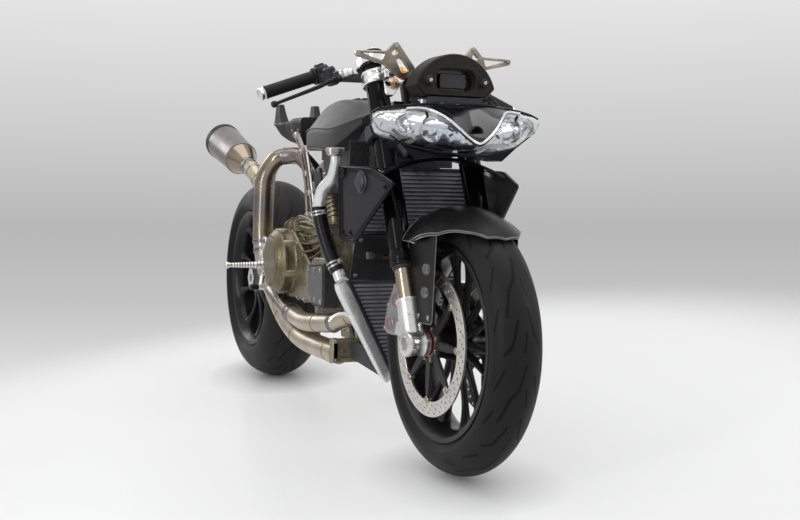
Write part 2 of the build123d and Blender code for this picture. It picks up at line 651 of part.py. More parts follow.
TAIL_HALF = 92.0
TAIL_REAR_HALF = 66.0
TAIL_INNER = 30.0
HORN_INNER = 46.0
TANK_END = tank_sections[-1][0]
TAIL_END = 510.0
TAIL_DECK = 96.0  # the tail's deck over the tank's underside
with BuildPart() as tail_frame:
    for side in (-1, 1):
        add(side_plate(CRANK, [(TANK_END, TANK_RISE + 12), (TANK_END, TANK_RISE + 97),
                               (TANK_END + 110, TANK_RISE + TAIL_DECK), (TANK_END + 110, TANK_RISE + 22)],
                       side * TAIL_INNER, side * TAIL_HALF))
        add(side_plate(CRANK, [(TANK_END + 100, TANK_RISE + 20),
                               (TANK_END + 100, TANK_RISE + TAIL_DECK), (TAIL_END, TANK_RISE + 90),
                               (TAIL_END + 62, TANK_RISE + 84), (TAIL_END + 30, TANK_RISE + 52)],
                       side * TAIL_INNER, side * TAIL_REAR_HALF))
        add(side_plate(CRANK, [(TAIL_END, TANK_RISE + 86), (TAIL_END + 22, TANK_RISE + 146),
                               (TAIL_END + 62, TANK_RISE + 146), (TAIL_END + 62, TANK_RISE + 84)],
                       side * HORN_INNER, side * TAIL_REAR_HALF))
    with BuildSketch(Plane(origin=CRANK + Vector(0, (TANK_END + TAIL_END) / 2, TANK_RISE + 80))):
        Rectangle(2 * TAIL_INNER + 10, TAIL_END - TANK_END)
    extrude(amount=8)

with BuildPart() as frame_struts:
    for side in (-1, 1):
        add(side_plate(CRANK, [(80, 157), (140, 157), (160, 255), (210, 350), (265, 393), (246, 405),
                               (186, 355), (126, 265)],
                       side * TAIL_HALF, side * (TAIL_HALF + 12)))
    add(crankcase.part, mode=Mode.SUBTRACT)

# ---------------------------------------------------------------- radiators and their duct
UPPER_RADIATOR_HALF = 158.0
UPPER_RADIATOR_HEIGHT = 160.0
UPPER_RADIATOR_HIGH = SHROUD.Z - 50.0
UPPER_RADIATOR_LOW = UPPER_RADIATOR_HIGH - UPPER_RADIATOR_HEIGHT
RADIATOR_STEP = 47.0  # the lower radiator behind the upper one
RADIATOR_SPLIT = 120.0  # and its top below the upper one's foot
LOWER_RADIATOR_Y = RADIATOR_Y + RADIATOR_STEP
LOWER_RADIATOR_HIGH = UPPER_RADIATOR_LOW - RADIATOR_SPLIT
LOWER_RADIATOR_LOW = LOWER_RADIATOR_HIGH - 253.0
LOWER_RADIATOR_HALF = 150.0
LOWER_RADIATOR_TIP = 22.0
LOWER_RADIATOR_DEPTH = 30.0
PANEL_X = 190.0
PANEL_THICKNESS = 4.0
radiator_foot = Vector(0, RADIATOR_Y, UPPER_RADIATOR_LOW)

with BuildPart() as radiators:
    with BuildSketch(Plane.XY.offset(UPPER_RADIATOR_LOW)):
        with Locations((0, RADIATOR_Y + RADIATOR_DEPTH / 2)):
            Rectangle(2 * UPPER_RADIATOR_HALF, RADIATOR_DEPTH)
    extrude(amount=UPPER_RADIATOR_HIGH - UPPER_RADIATOR_LOW)
    with BuildSketch(Plane.XZ.offset(-LOWER_RADIATOR_Y)):
        with BuildLine():
            Polyline(
                (-LOWER_RADIATOR_HALF, LOWER_RADIATOR_HIGH), (LOWER_RADIATOR_HALF, LOWER_RADIATOR_HIGH),
                (LOWER_RADIATOR_TIP, LOWER_RADIATOR_LOW), (-LOWER_RADIATOR_TIP, LOWER_RADIATOR_LOW),
                close=True,
            )
        make_face()
    extrude(amount=-LOWER_RADIATOR_DEPTH)

HOSE_LOW = SHROUD + Vector(-172, 99, -308)
HOSE_HIGH = SHROUD + Vector(-206, 155, -152)
HOSE_BEND = SHROUD + Vector(-200, 140, -228)
FILLER = SHROUD + Vector(-204, 45, -6)
with BuildPart() as end_tanks:
    for side in (-1, 1):
        with BuildSketch(Plane.XZ.offset(-LOWER_RADIATOR_Y)):
            with BuildLine():
                Polyline(
                    (side * LOWER_RADIATOR_HALF, LOWER_RADIATOR_HIGH),
                    (side * (LOWER_RADIATOR_HALF + 24), LOWER_RADIATOR_HIGH - 6),
                    (side * (LOWER_RADIATOR_TIP + 18), LOWER_RADIATOR_LOW - 4),
                    (side * LOWER_RADIATOR_TIP, LOWER_RADIATOR_LOW),
                    close=True,
                )
            make_face()
        extrude(amount=-LOWER_RADIATOR_DEPTH)
    add(rod(HOSE_LOW, HOSE_LOW + (HOSE_LOW - HOSE_BEND).normalized() * 40, 14.0))
    add(rod(FILLER - Vector(0, 0, 16), FILLER, 22.0))
    add(bent_tube([FILLER - Vector(0, 0, 16), FILLER - Vector(0, 0, 34),
                   HOSE_HIGH + (HOSE_HIGH - HOSE_BEND).normalized() * 45, HOSE_HIGH], [18, 60], 11.0))

PANEL_TOE = 8.5  # the panels close in towards the front, degrees
PANEL_BACK = 49.0
panel_outline = [(0, -50), (-164, -54), (-266, -86), (-84, -228), (-14, -232)]


def panel_plane(side):
    """A plane on a panel's inner face: local x backwards along it, local y up."""
    back = Vector(side * sin(radians(PANEL_TOE)), cos(radians(PANEL_TOE)), 0)
    out = Vector(side * cos(radians(PANEL_TOE)), -sin(radians(PANEL_TOE)), 0)
    return Plane(origin=SHROUD + Vector(side * PANEL_X, PANEL_BACK, 0), x_dir=back, z_dir=out * side)


with BuildPart() as side_panels:
    for side in (-1, 1):
        with BuildSketch(panel_plane(side)):
            with BuildLine():
                Polyline(*panel_outline, close=True)
            make_face()
        extrude(amount=side * PANEL_THICKNESS)

ARCH_SIDE = -88.0
ARCH_TOP = -26.0
ARCH_THICKNESS = 4.0
ARCH_FROM = -140.0
ARCH_DEPTH = 75.0
OUTSIDE_MIDDLE = (-150.0, -110.0)  # what lies outside the panels is cut off the duct
OUTSIDE_SIZE = (360.0, 260.0)
OUTSIDE_DEPTH = 60.0
WALL_PAST = 2.0  # the duct's walls start past the panels, and are cut back to them
with BuildPart() as duct:
    for side in (-1, 1):
        add(side_plate(radiator_foot, [(5, UPPER_RADIATOR_HEIGHT), (5, 2), (17, 2),
                                       (17, UPPER_RADIATOR_HEIGHT)],
                       side * UPPER_RADIATOR_HALF, side * (PANEL_X + WALL_PAST)))
    add(side_plate(radiator_foot, [(0, 0), (10, 0), (RADIATOR_STEP + 10, -RADIATOR_SPLIT),
                                   (RADIATOR_STEP, -RADIATOR_SPLIT)],
                   -UPPER_RADIATOR_HALF + 12, UPPER_RADIATOR_HALF - 12))
    with BuildSketch(cross_plane(SHROUD, ARCH_FROM)):
        with BuildLine():
            arch = ThreePointArc((-PANEL_X, ARCH_SIDE), (0, ARCH_TOP), (PANEL_X, ARCH_SIDE))
            arch_low = ThreePointArc(
                (-PANEL_X, ARCH_SIDE - ARCH_THICKNESS), (0, ARCH_TOP - ARCH_THICKNESS),
                (PANEL_X, ARCH_SIDE - ARCH_THICKNESS),
            )
            Line(arch @ 0, arch_low @ 0)
            Line(arch @ 1, arch_low @ 1)
        make_face()
    extrude(amount=ARCH_DEPTH)
    for side in (-1, 1):
        with BuildSketch(panel_plane(side)):
            with Locations(OUTSIDE_MIDDLE):
                Rectangle(*OUTSIDE_SIZE)
        extrude(amount=side * OUTSIDE_DEPTH, mode=Mode.SUBTRACT)

# ---------------------------------------------------------------- headlight and cockpit
LAMP = HEAD + Vector(0, -206, ARCH_TOP + 26)
LAMP_TOP = 92.0
headlight_sections = [
    # x, top (y, z), nose (y, z), bottom (y, z), back y, from the lamp's datum
    (-207.0, (8.0, 68.0), (-2.0, 55.0), (20.0, 40.0), 28.0),
    (-184.0, (10.0, 78.0), (-28.0, 52.0), (33.0, 17.0), 60.0),
    (-130.0, (-12.0, 85.0), (-75.0, 42.0), (-19.0, -1.0), 70.0),
    (-60.0, (-16.0, LAMP_TOP), (-95.0, 37.0), (-50.0, -15.0), 70.0),
    (0.0, (-5.0, LAMP_TOP), (-103.0, 24.0), (-79.0, -20.0), 70.0),
]
headlight_sections += [(-x, *rest) for x, *rest in headlight_sections[-2::-1]]
with BuildPart() as headlight:
    for x, top, nose, bottom, back in headlight_sections:
        with BuildSketch(side_plane(LAMP, x)):
            with BuildLine():
                Polyline(top, nose, bottom, (back, bottom[1]), (back, top[1]), close=True)
            make_face()
    loft(ruled=True)

with BuildPart() as undertray:
    with BuildSketch(cross_plane(LAMP, 68)):
        with BuildLine():
            Polyline((-168, 20), (-108, -32), (-50, -24), (50, -24), (108, -32), (168, 20), (120, 17),
                     (60, -3), (-60, -3), (-120, 17), close=True)
        make_face()
    extrude(amount=76)
    add(headlight.part, mode=Mode.SUBTRACT)

DASH_HALF = 100.0
DASH_FOOT = 110.0
DASH_SIDE = 134.0
DASH_TOP = 209.0
with BuildPart() as dash:
    with BuildSketch(cross_plane(LAMP, 79)):
        with BuildLine():
            dome = ThreePointArc((-DASH_HALF, DASH_SIDE), (0, DASH_TOP), (DASH_HALF, DASH_SIDE))
            Line(dome @ 1, (DASH_HALF - 20, DASH_FOOT))
            Line((DASH_HALF - 20, DASH_FOOT), (20 - DASH_HALF, DASH_FOOT))
            Line((20 - DASH_HALF, DASH_FOOT), dome @ 0)
        make_face()
    extrude(amount=60)

with BuildPart() as cockpit_stays:
    for side in (-1, 1):
        with BuildSketch(cross_plane(LAMP, 148)):
            with BuildLine():
                Polyline(
                    (side * 50, 182), (side * 100, 242), (side * 125, 218), (side * 202, 216),
                    (side * 200, 202), (side * 130, 187), (side * 90, 157), (side * 50, 157), close=True,
                )
            make_face()
        extrude(amount=14)
    with BuildSketch(cross_plane(LAMP, 148)):
        with Locations((0, 167)):
            Rectangle(120, 20)
    extrude(amount=69)

# ---------------------------------------------------------------- exhaust
PIPE_RADIUS = 25.0
REAR_PIPE_RADIUS = 24.0
TRUNK_RADIUS = 30.0
TRUNK_TOP = CRANK + Vector(-165, 345, 260)
REAR_PORT = CRANK + Vector(-58, 170, 273)
collector_route = [(-104, -162, -183), (-122, 100, -181), (-150, 275, -77), (-166, 348, 45)]
header_route = [(-62, -285, 45), (-70, -252, -55), (-118, -165, -103), (-146, 0, -119), (-150, 156, -99),
                (-158, 305, -45)]


def from_crank(points):
    """Points measured from the crank, in the machine's coordinates."""
    return [CRANK + Vector(*point) for point in points]


SILENCER_IN = CRANK + Vector(-185, 460, 305)
SILENCER_OUT = CRANK + Vector(-214, 660, 381)
SILENCER_NECK = 24.0
silencer_dir = (SILENCER_OUT - SILENCER_IN).normalized()
with BuildPart() as silencer:
    for start, r_start, length, r_end in ((0.0, 26.0, 60.0, 50.0), (60.0, 50.0, 156.0, 58.0)):
        with BuildSketch(Plane(origin=SILENCER_IN + silencer_dir * start, z_dir=silencer_dir)):
            Circle(r_start)
        with BuildSketch(Plane(origin=SILENCER_IN + silencer_dir * (start + length), z_dir=silencer_dir)):
            Circle(r_end)
        loft()

with BuildPart() as exhaust_pipes:
    add(bent_tube(from_crank(collector_route) + [TRUNK_TOP], [200, 150, 200], TRUNK_RADIUS))
    add(bent_tube(from_crank(header_route), [60, 60, 150, 200], PIPE_RADIUS))
    add(bent_tube([REAR_PORT, REAR_PORT + Vector(-27, 95, 60), REAR_PORT + Vector(-80, 132, 58),
                   TRUNK_TOP + Vector(0, 0, -4)], [46, 40], REAR_PIPE_RADIUS))
    add(bent_tube([TRUNK_TOP + Vector(0, 6, -14), SILENCER_IN - silencer_dir * 46, SILENCER_IN], [60],
                  SILENCER_NECK))
    add(cylinders.part, mode=Mode.SUBTRACT)

# ---------------------------------------------------------------- coolant hose
with BuildPart() as coolant_hose:
    add(bent_tube([HOSE_HIGH, HOSE_BEND, HOSE_LOW], [200], 18.0))

# ---------------------------------------------------------------- rearsets and side stand
PEG = CRANK + Vector(188, 274, 15)
PLATE_X = 178.0
with BuildPart() as rearsets:
    for side in (-1, 1):
        add(side_plate(CRANK, [(256, -23), (255, 75), (275, 103), (298, 35), (282, -23)],
                       side * PLATE_X, side * (PLATE_X + 10)))
        add(rod(on_side(PEG, side), on_side(PEG + Vector(112, 0, -2), side), 11.0))
        add(rod(CRANK + Vector(side * CASE_HALF, 265, 85), CRANK + Vector(side * PLATE_X, 265, 85), 10.0))
        pedal = CRANK + Vector(side * 206, 228, -45)
        add(rod(CRANK + Vector(side * (PLATE_X + 5), 270, -11), pedal, 6.0))
        add(rod(pedal - Vector(side * 8, 0, 0), pedal + Vector(side * 32, 0, 0), 8.5))

# ---------------------------------------------------------------- swingarm, shock and chain
axle_drop = REAR_AXLE.Z - PIVOT.Z
with BuildPart() as swingarm:
    add(side_plate(PIVOT, [(-23, -35), (-23, 35), (45, 61), (0.36 * SWINGARM_LENGTH, 55),
                           (0.63 * SWINGARM_LENGTH, 35), (SWINGARM_LENGTH - 28, axle_drop + 52),
                           (SWINGARM_LENGTH + 22, axle_drop + 14), (SWINGARM_LENGTH, axle_drop - 56),
                           (0.73 * SWINGARM_LENGTH, -85), (0.31 * SWINGARM_LENGTH, -55)],
                   ARM_FROM, ARM_TO))
    add(rod(REAR_AXLE + Vector(SWINGARM_HUB_FROM, 0, 0), REAR_AXLE + Vector(ARM_TO, 0, 0),
            SWINGARM_HUB_RADIUS))
    for start, end in ((-98, -CLEVIS_HALF), (CLEVIS_HALF, ARM_FROM)):
        add(rod(PIVOT + Vector(start, 0, 0), PIVOT + Vector(end, 0, 0), PIVOT_RADIUS))
    add(side_plate(PIVOT, [(5, -35), (55, -40), (55, 40), (5, 30)], -98, ARM_FROM))
    add(side_plate(PIVOT, [(-10, 35), (40, 45), (30, 145), (0, 145)], ARM_FROM, ARM_TO))
    add(crankcase.part, mode=Mode.SUBTRACT)
    add(rod(REAR_AXLE, REAR_AXLE + Vector(200, 0, 0), REAR_SHAFT_RADIUS + RUNNING_FIT), mode=Mode.SUBTRACT)

SHOCK_X = 155.0
SHOCK_FOOT = PIVOT + Vector(0, 15, 133)
SHOCK_TOP = CRANK + Vector(0, 82, 213)
with BuildPart() as shock:
    add(rod(SHOCK_TOP + Vector(SHOCK_X, -12, 4), SHOCK_FOOT + Vector(SHOCK_X, 0, 0), 27.0))
    add(rod(SHOCK_TOP + Vector(BANK_HALF, 0, 0), SHOCK_TOP + Vector(SHOCK_X, 0, 0), 9.0))
    add(rod(SHOCK_FOOT + Vector(ARM_TO, 0, 0), SHOCK_FOOT + Vector(SHOCK_X, 0, 0), 9.0))

with BuildPart() as rear_caliper:
    with BuildSketch(side_plane(REAR_AXLE, REAR_DISC_X - 24)):
        with BuildLine():
            arc_out = CenterArc((0, 0), REAR_DISC_RADIUS + 12, 150, 42)
            arc_in = CenterArc((0, 0), REAR_DISC_RADIUS - 38, 150, 42)
            Line(arc_out @ 0, arc_in @ 0)
            Line(arc_out @ 1, arc_in @ 1)
        make_face()
    extrude(amount=52)
    with BuildSketch(side_plane(REAR_AXLE, SWINGARM_HUB_FROM)):
        with Locations((-72, 20)):
            Rectangle(64, 24)
    extrude(amount=20)
    add(swingarm.part, mode=Mode.SUBTRACT)
    with BuildSketch(side_plane(REAR_AXLE, REAR_DISC_X - DISC_THICKNESS / 2 - PAD_GAP)):
        Circle(REAR_DISC_RADIUS + 2)
    extrude(amount=DISC_THICKNESS + 2 * PAD_GAP, mode=Mode.SUBTRACT)

FRONT_SPROCKET = CRANK + Vector(0, 232, -10)
FRONT_SPROCKET_RADIUS = 34.0
CHAIN_DEPTH = 9.0
CHAIN_WIDTH = 14.0
sprocket_run = FRONT_SPROCKET - REAR_AXLE
with BuildPart() as chain:
    for inset, mode in ((CHAIN_DEPTH, Mode.ADD), (SEAT_GAP, Mode.SUBTRACT)):
        with BuildSketch(side_plane(REAR_AXLE, CHAIN_X - CHAIN_WIDTH / 2)):
            Circle(SPROCKET_RADIUS + inset)
            with Locations((sprocket_run.Y, sprocket_run.Z)):
                Circle(FRONT_SPROCKET_RADIUS + inset)
            make_hull()
        extrude(amount=CHAIN_WIDTH, mode=mode)

    add(rod(FRONT_SPROCKET + Vector(CASE_HALF, 0, 0), FRONT_SPROCKET + Vector(CHAIN_X + 8, 0, 0), 16.0))
    add(rod(FRONT_SPROCKET + Vector(CHAIN_X - 4, 0, 0), FRONT_SPROCKET + Vector(CHAIN_X + 4, 0, 0),
            FRONT_SPROCKET_RADIUS + SEAT_GAP))

STAND_PIVOT = CRANK + Vector(138, 120, CASE_FLOOR)
STAND_FOOT_X = 250.0
STAND_FOOT_Y = CRANK.Y + 40.0
PIN_RADIUS = 7.0
floor_normal = Vector(-sin(radians(LEAN)), 0, cos(radians(LEAN)))
foot_z = (STAND_FOOT_X * sin(radians(LEAN)) - floor_lift) / cos(radians(LEAN))
STAND_FOOT = Vector(STAND_FOOT_X, STAND_FOOT_Y, foot_z)
stand_down = (STAND_FOOT - STAND_PIVOT).normalized()
stand_stowed = Vector(40, 245, 20).normalized()
stand_swing = (stand_down - stand_stowed).normalized()
STAND_AXIS_DIR = (Vector(1, 0, 0) - stand_swing * stand_swing.X).normalized()
BOSS_THICKNESS = 22.0
FOOT_THICKNESS = 8.0
stand_plane = Plane(origin=STAND_PIVOT, x_dir=stand_down, z_dir=STAND_AXIS_DIR)

with BuildPart() as side_stand:
    with BuildSketch(stand_plane):
        Circle(16)
    extrude(amount=BOSS_THICKNESS)
    leg_start = STAND_PIVOT + STAND_AXIS_DIR * 8 + stand_down * 6
    add(rod(leg_start, STAND_FOOT + floor_normal * FOOT_THICKNESS, 9.0))
    with BuildSketch(Plane(origin=STAND_FOOT, x_dir=(0, 1, 0), z_dir=floor_normal)):
        RectangleRounded(70, 44, 16)
    extrude(amount=FOOT_THICKNESS)
    with BuildSketch(stand_plane.offset(-1)):
        Circle(PIN_RADIUS + RUNNING_FIT)
    extrude(amount=BOSS_THICKNESS + 2, mode=Mode.SUBTRACT)

with BuildPart() as stand_bracket:
    with BuildSketch(stand_plane.offset(-SEAT_GAP - 12)):
        Circle(16)
    extrude(amount=12)
    with BuildSketch(stand_plane.offset(-SEAT_GAP - 6)):
        Circle(PIN_RADIUS)
    extrude(amount=BOSS_THICKNESS + 2 * SEAT_GAP + 6)
    with BuildSketch(stand_plane.offset(BOSS_THICKNESS + SEAT_GAP)):
        Circle(11)
    extrude(amount=5)
    with BuildSketch(side_plane(CRANK, 108)):
        with Locations((118, CASE_FLOOR + 13)):
            Rectangle(34, 44)
    extrude(amount=18)

# ---------------------------------------------------------------- placing and writing
FRONT = "front"
MAIN = "main"
PIECES = {
    "front_tyre": (front_tyre, FRONT),
    "front_rim": (front_rim, FRONT),
    "front_discs": (front_discs, FRONT),
    "rear_tyre": (rear_tyre, MAIN),
    "rear_rim": (rear_rim, MAIN),
    "rear_disc": (rear_disc, MAIN),
    "rear_sprocket": (rear_sprocket, MAIN),
    "rear_axle": (rear_axle, MAIN),
    "fork_outers": (fork_outers, FRONT),
    "fork_inners": (fork_inners, FRONT),
    "fork_feet": (fork_feet, FRONT),
    "front_axle": (front_axle, FRONT),
    "calipers": (calipers, FRONT),
    "triple_clamps": (triple_clamps, FRONT),
    "clip_ons": (clip_ons, FRONT),
    "grips": (grips, FRONT),
    "levers": (levers, FRONT),
    "fender": (fender, FRONT),
    "crankcase": (crankcase, MAIN),
    "sump": (sump, MAIN),
    "engine_covers": (engine_covers, MAIN),
    "cylinders": (cylinders, MAIN),
    "monocoque": (monocoque, MAIN),
    "steering_head": (steering_head, MAIN),
    "fuel_tank": (fuel_tank, MAIN),
    "tail_frame": (tail_frame, MAIN),
    "frame_struts": (frame_struts, MAIN),
    "radiators": (radiators, MAIN),
    "end_tanks": (end_tanks, MAIN),
    "side_panels": (side_panels, MAIN),
    "duct": (duct, MAIN),
    "headlight": (headlight, MAIN),
    "undertray": (undertray, MAIN),
    "dash": (dash, MAIN),
    "cockpit_stays": (cockpit_stays, MAIN),
    "exhaust_pipes": (exhaust_pipes, MAIN),
    "silencer": (silencer, MAIN),
    "coolant_hose": (coolant_hose, MAIN),
    "rearsets": (rearsets, MAIN),
    "swingarm": (swingarm, MAIN),
    "shock": (shock, MAIN),
    "rear_caliper": (rear_caliper, MAIN),
    "chain": (chain, MAIN),
    "side_stand": (side_stand, MAIN),
    "stand_bracket": (stand_bracket, MAIN),
}

steer_frame = Plane(origin=STEER_POINT, x_dir=(1, 0, 0), z_dir=STEER_AXIS_DIR).location
STEER_MOVE = steer_frame * Rotation(0, 0, STEER) * steer_frame.inverse()
LEAN_MOVE = Location((0, 0, floor_lift)) * Rotation(0, LEAN, 0)

for piece, group in PIECES.values():
    if group == FRONT:
        piece.part.move(STEER_MOVE)
    piece.part.move(LEAN_MOVE)

boxes = [piece.part.bounding_box() for piece, group in PIECES.values()]
middle_x = (min(box.min.X for box in boxes) + max(box.max.X for box in boxes)) / 2
middle_y = (min(box.min.Y for box in boxes) + max(box.max.Y for box in boxes)) / 2
CENTRE_MOVE = Location((-middle_x, -middle_y, 0))

for name, (piece, group) in PIECES.items():
    piece.part.move(CENTRE_MOVE)
    piece.part.label = name
    export_step(piece.part, f"parts/{name}.step")
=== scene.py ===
"""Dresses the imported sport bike: detailed pieces, node materials, studio, camera.

Pieces are written in the upright machine's own millimetres, x to the rider's left, y to the
rear and z up, and Machine.place turns them into the row frame, steered and leaned at rest.
"""
import json
import logging
from dataclasses import dataclass, field, replace
from enum import Enum
from functools import lru_cache
from math import cos, pi, radians, sin
from typing import Callable

import bmesh
import bpy
import numpy as np
from mathutils import Matrix, Vector


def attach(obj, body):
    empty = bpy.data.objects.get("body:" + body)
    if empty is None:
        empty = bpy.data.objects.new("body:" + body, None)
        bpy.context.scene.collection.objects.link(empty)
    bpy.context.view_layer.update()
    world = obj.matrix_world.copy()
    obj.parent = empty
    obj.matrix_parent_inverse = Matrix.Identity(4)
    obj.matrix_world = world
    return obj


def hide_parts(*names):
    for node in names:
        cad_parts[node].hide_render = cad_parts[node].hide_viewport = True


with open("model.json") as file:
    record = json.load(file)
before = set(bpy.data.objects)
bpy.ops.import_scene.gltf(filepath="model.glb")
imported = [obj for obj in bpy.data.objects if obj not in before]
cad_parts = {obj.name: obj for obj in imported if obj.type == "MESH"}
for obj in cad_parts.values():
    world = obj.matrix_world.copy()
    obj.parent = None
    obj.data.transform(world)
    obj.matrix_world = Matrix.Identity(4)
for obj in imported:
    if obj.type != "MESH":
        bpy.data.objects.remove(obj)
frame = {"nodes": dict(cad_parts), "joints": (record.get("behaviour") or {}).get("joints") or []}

LOG = logging.getLogger("sport_bike")
logging.basicConfig(level=logging.INFO, format="%(message)s")

MM = 0.001
MERGE = 2e-6
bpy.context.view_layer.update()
Vec = tuple[float, float, float]
Colour = tuple[float, float, float]
Points = np.ndarray | list | tuple
Socket = bpy.types.NodeSocket
Look = tuple[Socket, Socket]
RIM_RADIUS = 215.9
DISC_X = 72.0


# ------------------------------------------------------------------ coordinates
class Body(Enum):
    """The CAD bodies that carry this file's pieces."""

    FRAME = "frame"
    STEERING = "steering"
    FRONT_WHEEL = "front_wheel"
    REAR_WHEEL = "rear_wheel"

    @property
    def steered(self) -> bool:
        """Whether the body turns with the fork at rest."""
        return self in (Body.STEERING, Body.FRONT_WHEEL)


def rotation(axis: Vec, angle: float) -> np.ndarray:
    """A rotation matrix.

    Args:
        axis: The axis, of length 1.
        angle: The turn in radians, by the right-hand rule.

    Returns:
        A 3 by 3 matrix for column vectors.
    """
    return np.array(Matrix.Rotation(angle, 3, Vector(axis)))


def turns(count: int) -> np.ndarray:
    """Angles at equal steps round a circle, from 0."""
    return np.arange(count) * 2 * pi / count


def spots_round(count: int, radius: float, start: float = 0.0) -> list[tuple[float, float]]:
    """Places at equal steps round a circle.

    Args:
        count: How many places.
        radius: The circle's radius.
        start: The first one's angle, in radians.

    Returns:
        Their (x, y) pairs.
    """
    return [(radius * cos(k * 2 * pi / count + start), radius * sin(k * 2 * pi / count + start)) for k in range(count)]


def super_ellipse(count: int, power: float) -> list[np.ndarray]:
    """The cosine and the sine of equal steps, each raised to a power with its sign kept.

    Args:
        count: How many steps.
        power: 1 for a circle, towards 0 for a square.

    Returns:
        Both, each of shape (count,).
    """
    angle = turns(count)
    return [np.sign(w) * np.abs(w) ** power for w in (np.cos(angle), np.sin(angle))]


def lobed(sides: int, depth: float, lobes: int) -> np.ndarray:
    """Factors of a radius that rise and fall as a cosine round a circle.

    Args:
        sides: How many steps round.
        depth: The wave's height.
        lobes: How many waves.

    Returns:
        The factors, shape (sides,).
    """
    return 1.0 + depth * np.cos(turns(sides) * lobes)


@dataclass(frozen=True)
class Axes:
    """A local frame on the upright machine, in millimetres."""

    origin: Vec
    x: Vec = (1.0, 0.0, 0.0)
    y: Vec = (0.0, 1.0, 0.0)
    z: Vec = (0.0, 0.0, 1.0)

    def at(self, points: Points) -> np.ndarray:
        """Turns local points into the machine's.

        Args:
            points: Local points, the last axis of length 3.

        Returns:
            The same points on the upright machine.
        """
        return np.asarray(self.origin) + np.asarray(points, float) @ np.array([self.x, self.y, self.z])

    def moved(self, x: float = 0.0, y: float = 0.0, z: float = 0.0) -> "Axes":
        """The same directions from another local origin.

        Args:
            x: Shift along the local x.
            y: Shift along the local y.
            z: Shift along the local z.

        Returns:
            The moved axes.
        """
        return Axes(tuple(self.at((x, y, z))), self.x, self.y, self.z)

    def forwards(self) -> "Axes":
        """The same origin with y up the local z and z against the local y."""
        return Axes(self.origin, self.x, self.z, tuple(-np.array(self.y)))

    def flipped(self, side: float) -> "Axes":
        """The same axes with z kept, for 1, or reversed, for -1."""
        return Axes(self.origin, self.x, self.y, tuple(np.array(self.z) * side))


@dataclass(frozen=True)
class Machine:
    """Where the upright machine's millimetres lie in the row frame."""

    rake: float = radians(24.0)
    lean: float = radians(8.0)
    steer: float = radians(3.0)
    front_axle: Vec = (0.0, -718.5, 304.755)
    rear_axle: Vec = (0.0, 718.5, 325.9)
    steer_point: Vec = (0.0, -688.81, 291.536)
    crank: Vec = (0.0, -60.0, 395.0)

    @property
    def up_fork(self) -> Vec:
        """The direction of the steering axis, up the legs."""
        return (0.0, sin(self.rake), cos(self.rake))

    @property
    def fork(self) -> Axes:
        """Origin on the legs at the axle's level, y backwards across them, z up them."""
        back = (0.0, cos(self.rake), -sin(self.rake))
        return Axes(tuple(np.array(self.front_axle) + 4.0 * np.array(back)), (1.0, 0.0, 0.0), back, self.up_fork)

    @property
    def shift(self) -> np.ndarray:
        """What carries the leaned machine to the row frame.

        Returns:
            The shift in millimetres, from where the pack holds the rear axle.
        """
        joint = next(j for j in frame["joints"] if j["name"] == "rear_wheel_spin")
        leaned = rotation((0, 1, 0), self.lean) @ np.array(self.rear_axle)
        return np.array(joint["pos_m"]) / MM - leaned

    def place(self, points: np.ndarray, body: Body) -> np.ndarray:
        """Carries points to where the body stands at rest.

        Args:
            points: Points on the upright machine, in millimetres.
            body: The body they belong to.

        Returns:
            The points in the row frame, in metres.
        """
        out = np.asarray(points, float)
        if body.steered:
            pivot = np.array(self.steer_point)
            out = (out - pivot) @ rotation(self.up_fork, self.steer).T + pivot
        return (out @ rotation((0, 1, 0), self.lean).T + self.shift) * MM


BIKE = Machine()
FORK = BIKE.fork
SIDEWAYS = {"x": (0.0, 1.0, 0.0), "y": (0.0, 0.0, 1.0), "z": (1.0, 0.0, 0.0)}
AHEAD = {"x": (1.0, 0.0, 0.0), "y": (0.0, 0.0, 1.0), "z": (0.0, -1.0, 0.0)}
FRONT_HUB = Axes(BIKE.front_axle, **SIDEWAYS)
REAR_HUB = Axes(BIKE.rear_axle, **SIDEWAYS)
CRANK = Axes(BIKE.crank)
SHROUD = Axes((0.0, -485.4, 748.3))
LAMP = Axes((0.0, -691.44, 748.31))


